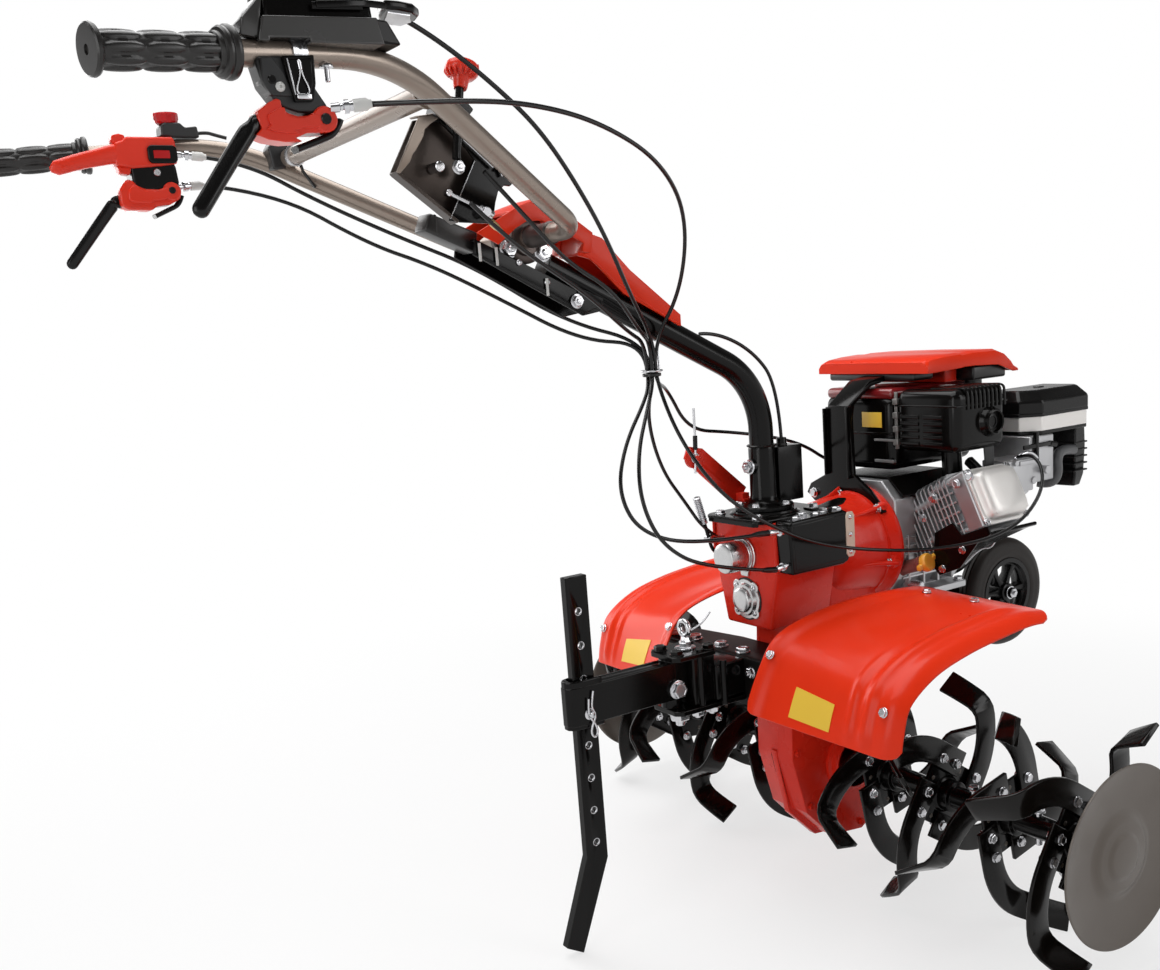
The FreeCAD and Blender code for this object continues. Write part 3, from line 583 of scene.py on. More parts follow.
def recast(node: str, edge: float, rounds: int = 2, angle: float = 28.0, name: str = "") -> Piece:
    """Copy of a frame node with merged faces and rounded edges.

    Args:
        node: the node to copy.
        edge: width of the rounded edges in millimetres.
        rounds: segments of each edge.
        angle: edges sharper than this are rounded.
        name: the copy's name, if it isn't the node's with _body.

    Returns:
        The new piece.
    """
    source = frame["nodes"][node]
    mesh = source.data.copy()
    piece = bpy.data.objects.new(name or node + "_body", mesh)
    mesh.name = piece.name
    bpy.context.collection.objects.link(piece)
    with edit_mode(piece):
        bpy.ops.mesh.select_all(action="SELECT")
        bpy.ops.mesh.remove_doubles(threshold=DOUBLES)
        bpy.ops.mesh.dissolve_limited(angle_limit=math.radians(0.7))
    return ease(piece, edge, rounds, angle)


# ---------------------------------------------------------------------------
# Shader node groups: effects that several finishes share
# ---------------------------------------------------------------------------
@dataclass
class Effect:
    """A node group under construction, with named inputs and outputs."""

    name: str
    tree: bpy.types.NodeTree = field(init=False)
    entry: bpy.types.Node = field(init=False)
    exit: bpy.types.Node = field(init=False)

    def __post_init__(self) -> None:
        """Make the empty group."""
        self.tree = bpy.data.node_groups.new(self.name, "ShaderNodeTree")
        self.entry = self.tree.nodes.new("NodeGroupInput")
        self.exit = self.tree.nodes.new("NodeGroupOutput")

    def takes(self, name: str, kind: str) -> None:
        """Add a named input socket."""
        self.tree.interface.new_socket(name=name, in_out="INPUT", socket_type="NodeSocket" + kind)

    def gives(self, name: str, kind: str) -> None:
        """Add a named output socket."""
        self.tree.interface.new_socket(name=name, in_out="OUTPUT", socket_type="NodeSocket" + kind)

    def node(self, kind: str, **settings: object) -> bpy.types.Node:
        """Add a node and set its properties."""
        return add_node(self.tree, kind, **settings)

    def join(self, source: bpy.types.NodeSocket, target: bpy.types.NodeSocket) -> None:
        """Link two sockets."""
        self.tree.links.new(source, target)


def add_node(tree: bpy.types.NodeTree, kind: str, **settings: object) -> bpy.types.Node:
    """Add a shader node to a tree and set its properties.

    Args:
        tree: the node tree.
        kind: the node's type, without ShaderNode.
        settings: properties and their values.

    Returns:
        The new node.
    """
    node = tree.nodes.new("ShaderNode" + kind)
    for key, value in settings.items():
        setattr(node, key, value)
    return node


def mottle_effect() -> bpy.types.NodeTree:
    """Colour that drifts between two tones in soft patches.

    Returns:
        The node group.
    """
    effect = Effect("mottle")
    for name, kind in (("Vector", "Vector"), ("Colour", "Color"), ("Second colour", "Color"),
                       ("Size", "Float"), ("Spread", "Float")):
        effect.takes(name, kind)
    effect.gives("Colour", "Color")
    noise = effect.node("TexNoise")
    noise.inputs["Detail"].default_value = 4.0
    effect.join(effect.entry.outputs["Vector"], noise.inputs["Vector"])
    effect.join(effect.entry.outputs["Size"], noise.inputs["Scale"])
    share = effect.node("Math", operation="MULTIPLY")
    effect.join(noise.outputs["Fac"], share.inputs[0])
    effect.join(effect.entry.outputs["Spread"], share.inputs[1])
    mix = effect.node("Mix", data_type="RGBA")
    effect.join(share.outputs[0], mix.inputs["Factor"])
    effect.join(effect.entry.outputs["Colour"], mix.inputs["A"])
    effect.join(effect.entry.outputs["Second colour"], mix.inputs["B"])
    effect.join(mix.outputs["Result"], effect.exit.inputs["Colour"])
    return effect.tree


def edge_effect() -> bpy.types.NodeTree:
    """Worn or lighter edges, found where the rounded normal leaves the face's own.

    Returns:
        The node group.
    """
    effect = Effect("edge wear")
    for name, kind in (("Vector", "Vector"), ("Colour", "Color"), ("Edge colour", "Color"),
                       ("Width", "Float"), ("Amount", "Float")):
        effect.takes(name, kind)
    effect.gives("Colour", "Color")
    effect.gives("Mask", "Float")
    rounded = effect.node("Bevel", samples=4)
    effect.join(effect.entry.outputs["Width"], rounded.inputs["Radius"])
    face = effect.node("NewGeometry")
    dot = effect.node("VectorMath", operation="DOT_PRODUCT")
    effect.join(rounded.outputs["Normal"], dot.inputs[0])
    effect.join(face.outputs["Normal"], dot.inputs[1])
    spread = effect.node("MapRange")
    spread.inputs["From Min"].default_value = 0.995
    spread.inputs["From Max"].default_value = 0.88
    effect.join(dot.outputs["Value"], spread.inputs["Value"])
    noise = effect.node("TexNoise")
    noise.inputs["Scale"].default_value = 140.0
    noise.inputs["Detail"].default_value = 3.0
    effect.join(effect.entry.outputs["Vector"], noise.inputs["Vector"])
    patchy = effect.node("MapRange")
    patchy.inputs["From Min"].default_value = 0.35
    patchy.inputs["From Max"].default_value = 0.62
    effect.join(noise.outputs["Fac"], patchy.inputs["Value"])
    broken = effect.node("Math", operation="MULTIPLY")
    effect.join(spread.outputs["Result"], broken.inputs[0])
    effect.join(patchy.outputs["Result"], broken.inputs[1])
    amount = effect.node("Math", operation="MULTIPLY", use_clamp=True)
    effect.join(broken.outputs[0], amount.inputs[0])
    effect.join(effect.entry.outputs["Amount"], amount.inputs[1])
    mix = effect.node("Mix", data_type="RGBA")
    effect.join(amount.outputs[0], mix.inputs["Factor"])
    effect.join(effect.entry.outputs["Colour"], mix.inputs["A"])
    effect.join(effect.entry.outputs["Edge colour"], mix.inputs["B"])
    effect.join(mix.outputs["Result"], effect.exit.inputs["Colour"])
    effect.join(amount.outputs[0], effect.exit.inputs["Mask"])
    return effect.tree


def skin_effect() -> bpy.types.NodeTree:
    """Height of a fine surface grain, and a roughness that changes in smudges.

    Returns:
        The node group.
    """
    effect = Effect("surface skin")
    for name, kind in (("Vector", "Vector"), ("Grain size", "Float"), ("Roughness", "Float"),
                       ("Smudge", "Float")):
        effect.takes(name, kind)
    effect.gives("Height", "Float")
    effect.gives("Roughness", "Float")
    grain = effect.node("TexNoise")
    grain.inputs["Detail"].default_value = 2.0
    effect.join(effect.entry.outputs["Vector"], grain.inputs["Vector"])
    effect.join(effect.entry.outputs["Grain size"], grain.inputs["Scale"])
    effect.join(grain.outputs["Fac"], effect.exit.inputs["Height"])
    smudge = effect.node("TexNoise")
    smudge.inputs["Scale"].default_value = 22.0
    smudge.inputs["Detail"].default_value = 5.0
    effect.join(effect.entry.outputs["Vector"], smudge.inputs["Vector"])
    centred = effect.node("Math", operation="SUBTRACT")
    centred.inputs[1].default_value = 0.5
    effect.join(smudge.outputs["Fac"], centred.inputs[0])
    scaled = effect.node("Math", operation="MULTIPLY")
    effect.join(centred.outputs[0], scaled.inputs[0])
    effect.join(effect.entry.outputs["Smudge"], scaled.inputs[1])
    total = effect.node("Math", operation="ADD", use_clamp=True)
    effect.join(scaled.outputs[0], total.inputs[0])
    effect.join(effect.entry.outputs["Roughness"], total.inputs[1])
    effect.join(total.outputs[0], effect.exit.inputs["Roughness"])
    return effect.tree


EFFECTS = {"mottle": mottle_effect(), "edge": edge_effect(), "skin": skin_effect()}


@dataclass(frozen=True)
class Finish:
    """One finish of the machine: its colours, gloss, grain and worn edges."""

    name: str
    slot: str
    colour: Colour
    second: Colour
    rough: float = 0.4
    metal: float = 0.0
    specular: float = 0.5
    coat: float = 0.0
    coat_rough: float = 0.06
    spread: float = 0.5
    patches: float = 14.0
    grain: float = 900.0
    depth: float = 0.02
    smudge: float = 0.12
    edge: Colour = (0.3, 0.3, 0.3)
    wear: float = 0.0
    edge_width: float = 0.8
    stretch: Point = (1.0, 1.0, 1.0)
    relief: float = 0.6

    def material(self) -> bpy.types.Material:
        """Build this finish's material once, and return it.

        Returns:
            The material.
        """
        made = bpy.data.materials.get(self.name)
        if made:
            return made
        made = bpy.data.materials.new(self.name)
        made.use_nodes = True
        tree = made.node_tree
        shader = tree.nodes["Principled BSDF"]
        shader.inputs["Metallic"].default_value = self.metal
        shader.inputs["Specular IOR Level"].default_value = self.specular
        shader.inputs["Coat Weight"].default_value = self.coat
        shader.inputs["Coat Roughness"].default_value = self.coat_rough
        place = add_node(tree, "TexCoord")
        mapping = add_node(tree, "Mapping")
        mapping.inputs["Scale"].default_value = self.stretch
        tree.links.new(place.outputs["Object"], mapping.inputs["Vector"])
        vector = mapping.outputs["Vector"]
        mottle = self.effect(tree, "mottle", vector, {"Size": self.patches, "Spread": self.spread})
        mottle.inputs["Colour"].default_value = (*self.colour, 1)
        mottle.inputs["Second colour"].default_value = (*self.second, 1)
        colour = mottle.outputs["Colour"]
        if self.wear > 0:
            edge = self.effect(tree, "edge", vector, {"Width": self.edge_width * MM, "Amount": self.wear})
            edge.inputs["Edge colour"].default_value = (*self.edge, 1)
            tree.links.new(colour, edge.inputs["Colour"])
            colour = edge.outputs["Colour"]
        tree.links.new(colour, shader.inputs["Base Color"])
        skin = self.effect(tree, "skin", vector,
            {"Grain size": self.grain, "Roughness": self.rough, "Smudge": self.smudge})
        tree.links.new(skin.outputs["Roughness"], shader.inputs["Roughness"])
        bump = add_node(tree, "Bump")
        bump.inputs["Strength"].default_value = self.relief
        bump.inputs["Distance"].default_value = self.depth * MM
        tree.links.new(skin.outputs["Height"], bump.inputs["Height"])
        tree.links.new(bump.outputs["Normal"], shader.inputs["Normal"])
        return made

    @staticmethod
    def effect(tree: bpy.types.NodeTree, name: str, vector: bpy.types.NodeSocket,
               values: dict[str, float]) -> bpy.types.Node:
        """Place a shared effect in a tree, with its own values.

        Args:
            tree: the material's tree.
            name: the effect's name.
            vector: socket of the coordinates.
            values: values of its other inputs.

        Returns:
            The group node.
        """
        node = tree.nodes.new("ShaderNodeGroup")
        node.node_tree = EFFECTS[name]
        tree.links.new(vector, node.inputs["Vector"])
        for key, value in values.items():
            node.inputs[key].default_value = value
        return node


RED_PAINT = Finish("red paint", "red_paint", (0.72, 0.026, 0.010), (0.60, 0.014, 0.006), rough=0.28,
    specular=0.16, coat=0.06, grain=520, depth=0.05, spread=0.5, edge=(0.85, 0.10, 0.05), wear=0.25)
RED_PLASTIC = Finish("orange red plastic", "red_plastic", (0.82, 0.038, 0.008), (0.76, 0.026, 0.006),
    rough=0.30, specular=0.16, coat=0.05, grain=1400, depth=0.015, edge=(0.95, 0.16, 0.07), wear=0.3)
LEVER_PLASTIC = Finish("lever plastic", "red_plastic", (0.80, 0.036, 0.012), (0.74, 0.024, 0.008), rough=0.32,
    specular=0.3, coat=0.25, grain=1500, depth=0.02)
DEEP_RED = Finish("deep red", "red_plastic", (0.55, 0.008, 0.010), (0.38, 0.005, 0.006), rough=0.22,
    specular=0.3, grain=1500, depth=0.02)
BRONZE = Finish("bronze grey paint", "bronze_paint", (0.305, 0.250, 0.210), (0.250, 0.205, 0.170), rough=0.28,
                metal=0.55, grain=2600, depth=0.01, smudge=0.06, patches=6)
# Bronze paint darkened as painted shade, for the inner back face of the selector plate; its edges are lighter
# where worn.
SHADED_BRONZE = Finish("shaded bronze", "bronze_paint", (0.040, 0.030, 0.025), (0.075, 0.056, 0.048), rough=0.30,
    metal=0.6, grain=1600, depth=0.03, edge=(0.42, 0.37, 0.33), wear=0.7)
DISC_PAINT = Finish("disc paint", "disc_paint", (0.120, 0.100, 0.084), (0.082, 0.070, 0.060), rough=0.36,
    metal=0.35, grain=2200, depth=0.03, smudge=0.25, patches=9, edge=(0.3, 0.28, 0.26), wear=0.5)
BLACK_PAINT = Finish("black paint", "black_paint", (0.0020, 0.0017, 0.0016), (0.0046, 0.0038, 0.0034),
    rough=0.16, specular=0.17, grain=700, depth=0.05, edge=(0.07, 0.065, 0.06), wear=0.5)
SATIN_BLACK = Finish("satin black paint", "black_paint", (0.0024, 0.0020, 0.0019), (0.0050, 0.0042, 0.0038),
    rough=0.48, specular=0.10, grain=700, depth=0.05)
BLADE_PAINT = Finish("blade paint", "black_paint", (0.0026, 0.0020, 0.0017), (0.0085, 0.0064, 0.0052),
    rough=0.17, specular=0.22, grain=420, depth=0.10, smudge=0.25, edge=(0.26, 0.24, 0.22), wear=0.9)
BLACK_PLASTIC = Finish("black plastic", "black_plastic", (0.0035, 0.0032, 0.0032), (0.0070, 0.0065, 0.0062),
    rough=0.26, specular=0.24, grain=1700, depth=0.04, edge=(0.06, 0.058, 0.056), wear=0.35)
GREY_PLASTIC = Finish("dark grey casting", "black_plastic", (0.020, 0.020, 0.0205), (0.030, 0.030, 0.031),
    rough=0.38, specular=0.35, grain=1500, depth=0.06, edge=(0.14, 0.14, 0.14), wear=0.4)
RUBBER = Finish("black rubber", "rubber", (0.011, 0.010, 0.0095), (0.020, 0.018, 0.017), rough=0.32,
                specular=0.42, grain=2400, depth=0.05, smudge=0.2, spread=0.7)
TYRE = Finish("tyre rubber", "tyre", (0.012, 0.009, 0.0075), (0.022, 0.017, 0.0145), rough=0.5, specular=0.24,
              grain=1800, depth=0.08, smudge=0.2, spread=0.7)
CABLE = Finish("cable sheath", "cable_black", (0.0040, 0.0038, 0.0038), (0.0075, 0.0070, 0.0070), rough=0.24,
               specular=0.35, grain=2600, depth=0.004, smudge=0.04)
ZINC = Finish("bright zinc", "bright_steel", (0.62, 0.62, 0.64), (0.48, 0.48, 0.50), rough=0.24, metal=1.0,
              grain=1500, depth=0.03, smudge=0.3, patches=60, edge=(0.85, 0.85, 0.86), wear=0.5)
BRUSHED = Finish("turned steel", "bright_steel", (0.60, 0.60, 0.60), (0.42, 0.42, 0.43), rough=0.28,
    metal=1.0, grain=900, depth=0.04, smudge=0.3, patches=160, stretch=(8, 1, 1))
CAST = Finish("cast aluminium", "aluminium", (0.50, 0.50, 0.51), (0.34, 0.34, 0.35), rough=0.42, metal=0.9,
              grain=900, depth=0.16, smudge=0.25, patches=30, edge=(0.72, 0.72, 0.72), wear=0.6)
COVER_SILVER = Finish("silver cover paint", "aluminium", (0.80, 0.775, 0.75), (0.70, 0.68, 0.66), rough=0.44,
    metal=0.5, coat=0.0, grain=1200, depth=0.05, edge=(0.8, 0.8, 0.8), wear=0.4)
YELLOW = Finish("yellow plate", "red_plastic", (0.86, 0.56, 0.05), (0.82, 0.50, 0.04), rough=0.45, grain=1800,
                depth=0.01)
OIL_YELLOW = Finish("yellow cap plastic", "black_plastic", (0.86, 0.42, 0.045), (0.76, 0.34, 0.03),
    rough=0.42, grain=1300, depth=0.05)
WHITE_PLASTIC = Finish("white nylon", "black_plastic", (0.72, 0.72, 0.70), (0.62, 0.62, 0.60), rough=0.4,
    grain=1500, depth=0.02)
STRAP_TAN = Finish("strap tan", "bright_steel", (0.62, 0.52, 0.42), (0.50, 0.42, 0.34), rough=0.4, metal=0.3,
    grain=900)
FILLER_RED = Finish("filler tube", "red_paint", (0.26, 0.075, 0.06), (0.18, 0.05, 0.045), rough=0.42,
    metal=0.2)
BRACKET_GREY = Finish("bracket grey", "aluminium", (0.22, 0.21, 0.20), (0.12, 0.12, 0.12), rough=0.4,
    metal=0.7)
TANK_RED = Finish("tank red", "red_paint", (0.20, 0.010, 0.012), (0.15, 0.008, 0.010), rough=0.25, coat=0.4)
BAR_GREY = Finish("bar grey", "black_plastic", (0.12, 0.12, 0.12), (0.2, 0.2, 0.2), rough=0.4)
HOSE_GREY = Finish("hose grey", "rubber", (0.07, 0.072, 0.075), (0.10, 0.10, 0.105), rough=0.45)
BOX_SKIRT = Finish("box skirt", "black_plastic", (0.030, 0.029, 0.028), (0.05, 0.048, 0.046), rough=0.26,
    specular=0.6, grain=900, depth=0.03)
BRASS = Finish("brass ferrule", "bright_steel", (0.62, 0.46, 0.22), (0.5, 0.36, 0.16), rough=0.35, metal=0.9)
DISC_BROWN = Finish("disc brown", "bronze_paint", (0.085, 0.062, 0.055), (0.16, 0.13, 0.12), rough=0.38,
    metal=0.6, grain=1200, depth=0.08, edge=(0.4, 0.36, 0.33), wear=0.7)
COLLAR_DARK = Finish("collar dark", "bronze_paint", (0.06, 0.05, 0.046), (0.10, 0.085, 0.08), rough=0.34,
    metal=0.6)


def fit(piece: Piece, finish: Finish, body: Body, *nodes: str) -> Piece:
    """Give a piece its finish and its body, and say which frame nodes it stands for.

    Args:
        piece: a finished piece, in place.
        finish: its finish.
        body: the body that it rides on.
        nodes: frame nodes that it stands for.

    Returns:
        The same piece.
    """
    piece.data.materials.clear()
    piece.data.materials.append(finish.material())
    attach(piece, body.value)
    if nodes:
        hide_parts(*nodes)
    log.info("%s on %s, %d faces", piece.name, body.value, len(piece.data.polygons))
    return piece


def dress(finish: Finish, *nodes: str) -> None:
    """Give frame nodes that stay as they are a better material.

    Args:
        finish: the material's finish.
        nodes: names of the frame nodes.
    """
    for node in nodes:
        mesh = frame["nodes"][node].data
        mesh.materials.clear()
        mesh.materials.append(finish.material())
        log.info("node %s dressed in %s", node, finish.name)


# ---------------------------------------------------------------------------
# Hardware: screws, nuts and pins that are modelled once and copied
# ---------------------------------------------------------------------------
class Head(Enum):
    """Kinds of fastener, each modelled once."""

    HEX = "hex"
    NUT = "nut"
    BUTTON = "button"


class Hardware:
    """Small models of fasteners in a few sizes, and the copying of them."""

    def __init__(self) -> None:
        """Start with an empty drawer."""
        self.drawer: dict[tuple[Head, float], Piece] = {}

    def hex_bolt(self, across: float) -> Piece:
        """Hexagon head with a chamfered top, on a round washer face.

        Args:
            across: width across its flats in millimetres.

        Returns:
            The model.
        """
        radius = across / 2 / math.cos(math.pi / 6)
        washer = turned("washer", (0, 0, 0), (0, 0, 1), [(across * 0.62, 0), (across * 0.66, 0.4),
                        (across * 0.66, 1.2), (across * 0.62, 1.6)], 20)
        head = turned("head", (0, 0, 1.4), (0, 0, 2), [(radius, 0), (radius, across * 0.30),
                      (radius * 0.86, across * 0.36), (radius * 0.70, across * 0.365),
                      (radius * 0.66, across * 0.33)], 6)
        return join("hex_model", [washer, head])

    def nut(self, across: float) -> Piece:
        """Hexagon nut on a washer, with the bolt's end standing out.

        Args:
            across: width across its flats in millimetres.

        Returns:
            The model.
        """
        radius = across / 2 / math.cos(math.pi / 6)
        washer = turned("washer", (0, 0, 0), (0, 0, 1), [(across * 0.66, 0), (across * 0.7, 0.4),
                        (across * 0.7, 1.2), (across * 0.66, 1.5)], 20)
        body = turned("body", (0, 0, 1.3), (0, 0, 2), [(radius * 0.9, 0), (radius, across * 0.05),
                      (radius, across * 0.34), (radius * 0.86, across * 0.42)], 6)
        end = turned("end", (0, 0, 1.3), (0, 0, 2), [(across * 0.26, 0), (across * 0.26, across * 0.55),
                     (across * 0.2, across * 0.62)], 12)
        return join("nut_model", [washer, body, end])

    def button(self, across: float) -> Piece:
        """Low round head with a cross recess.

        Args:
            across: its width in millimetres.

        Returns:
            The model.
        """
        r = across / 2
        return turned("button_model", (0, 0, 0), (0, 0, 1),
            [(r * 0.96, 0), (r, r * 0.12), (r * 0.95, r * 0.32), (r * 0.72, r * 0.56), (r * 0.4, r * 0.68),
                (r * 0.34, r * 0.66), (r * 0.2, r * 0.36)], 20)

    def model(self, head: Head, across: float) -> Piece:
        """The one model of a fastener in a size, built when first asked for.

        Args:
            head: kind of fastener.
            across: its width in millimetres.

        Returns:
            The model, to be copied.
        """
        key = (head, across)
        if key not in self.drawer:
            maker = {Head.HEX: self.hex_bolt, Head.NUT: self.nut, Head.BUTTON: self.button}
            self.drawer[key] = maker[head](across)
        return self.drawer[key]

    def place(self, name: str, head: Head, across: float, places: Sequence[tuple[Point, Point]], body: Body,
              finish: Finish = ZINC) -> Piece:
        """Copies of one fastener on a body, as one piece.

        Args:
            name: the piece's name.
            head: kind of fastener.
            across: width of the head in millimetres.
            places: pairs of foot and direction.
            body: body that they ride on.
            finish: their finish.

        Returns:
            The joined piece.
        """
        return fit(copies(name, self.model(head, across), places, spin=17.0), finish, body)

    def put_away(self) -> None:
        """Remove the models once all copies are made."""
        for model in self.drawer.values():
            bpy.data.objects.remove(model)


# ---------------------------------------------------------------------------
# Control cables
# ---------------------------------------------------------------------------
@dataclass
class ControlCables:
    """Bowden cables between the controls, the wire ring and the chassis."""

    hardware: Hardware
    radius: float = 2.75
    ring: Point = (-327.0, -11.0, 842.0)
    pitch: float = 7.0
    upper: dict[str, list[Point]] = field(default_factory=lambda: {
        "right_lever": [(-858, -328, 1134), (-766, -310, 1144), (-656, -280, 1150), (-541, -240, 1140),
                        (-422, -190, 1106), (-346, -140, 1045), (-318, -80, 950)],
        "throttle": [(-774, -250, 1230), (-730, -232, 1218), (-645, -200, 1178), (-585, -180, 1140),
                     (-524, -150, 1088), (-464, -120, 1024), (-396, -72, 945)],
        "left_upper": [(-840, 264, 1170), (-790, 246, 1160), (-715, 212, 1108), (-610, 170, 1050),
                       (-520, 130, 1004), (-420, 66, 920)],
        "left_lower": [(-840, 294, 1138), (-750, 262, 1124), (-650, 196, 1046), (-578, 156, 1012),
                       (-500, 110, 960), (-410, 44, 892)],
        "selector_low": [(-668, -150, 1062), (-620, -130, 1030), (-557, -105, 996), (-470, -80, 952),
                         (-392, -52, 900)],
        "selector_high": [(-652, -160, 1096), (-560, -130, 1022), (-505, -100, 990), (-440, -94, 956),
                          (-378, -62, 898)]})
    upper_places: dict[str, tuple[float, float]] = field(default_factory=lambda: {
        "right_lever": (1, 0), "throttle": (0.5, -0.9), "left_upper": (0.5, 0.9), "left_lower": (-0.5, 0.9),
        "selector_low": (-1, 0), "selector_high": (-0.5, -0.9)})
    lower: dict[str, list[Point]] = field(default_factory=lambda: {"clutch": [(-364, -44, 806),
                (-430, -80, 750), (-462, -104, 690), (-440, -118, 634), (-350, -124, 604), (-204, -100, 595)],
            "reverse": [(-380, -70, 796), (-430, -110, 740), (-448, -136, 676), (-420, -142, 614),
                (-340, -132, 570), (-193, -100, 538)],
            "selector": [(-320, 18, 770), (-280, 46, 690), (-226, 62, 630), (-196, 60, 585), (-167, 58, 565)],
            "engine": [(-322, -62, 744), (-294, -104, 672), (-245, -122, 628), (-160, -134, 580),
                (-55, -140, 550), (60, -190, 536), (150, -256, 556), (222, -264, 614), (260, -218, 668),
                (262, -176, 653)], "front_upper": [(-262, 44, 812), (-214, 60, 742), (-130, 62, 730),
                (-40, 60, 712), (30, 64, 690), (84, 66, 656), (118, 66, 648)]})
    lower_places: dict[str, tuple[float, float]] = field(default_factory=lambda: {
        "clutch": (-1, 0), "reverse": (-0.5, -0.9), "selector": (0.5, 0.9), "engine": (0.5, -0.9),
        "front_upper": (1, 0)})
    upper_start: Point = (-800, 0, 1180)
    upper_end: Point = (-400, 0, 915)
    lower_start: Point = (-330, 0, 836)
    lower_end: Point = (-210, 0, 620)

    def bundle(self, place: tuple[float, float]) -> tuple[float, float]:
        """Where one cable passes the ring, in x and y."""
        return self.ring[0] + self.pitch * place[0], self.ring[1] + self.pitch * place[1]

    def build(self) -> None:
        """Make every cable along its route through the ring."""
        ring_z = self.ring[2]
        for name, route in self.upper.items():
            x, y = self.bundle(self.upper_places[name])
            piece = wire("cable_" + name, route + [(x, y, ring_z + 40), (x, y, ring_z - 1)], self.radius)
            self.bend(piece, "upper_cables", Body.HANDLEBAR, Body.COLUMN)
        for name, route in self.lower.items():
            x, y = self.bundle(self.lower_places[name])
            piece = wire("cable_low_" + name, [(x, y, ring_z + 1), (x, y, ring_z - 18)] + route, self.radius)
            self.bend(piece, "lower_cables", Body.COLUMN, Body.CHASSIS)
        box = wire("cable_guide_box",
            [(-228, 0, 888), (-196, 0, 888), (-128, 0, 856), (-82, 0, 802), (-78, 0, 718)], self.radius)
        fit(box, CABLE, Body.COLUMN, "box_cable")

    def bend(self, piece: Piece, node: str, first: Body, last: Body) -> None:
        """Give a cable its finish, put its place into its mesh and hide its frame node; the two bodies are
        only logged.

        Args:
            piece: the cable.
            node: frame node that it stands for.
            first: body at its start.
            last: body at its end.
        """
        piece.data.materials.clear()
        piece.data.materials.append(CABLE.material())
        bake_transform(piece)
        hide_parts(node)
        log.info("%s bends from %s to %s", piece.name, first.value, last.value)


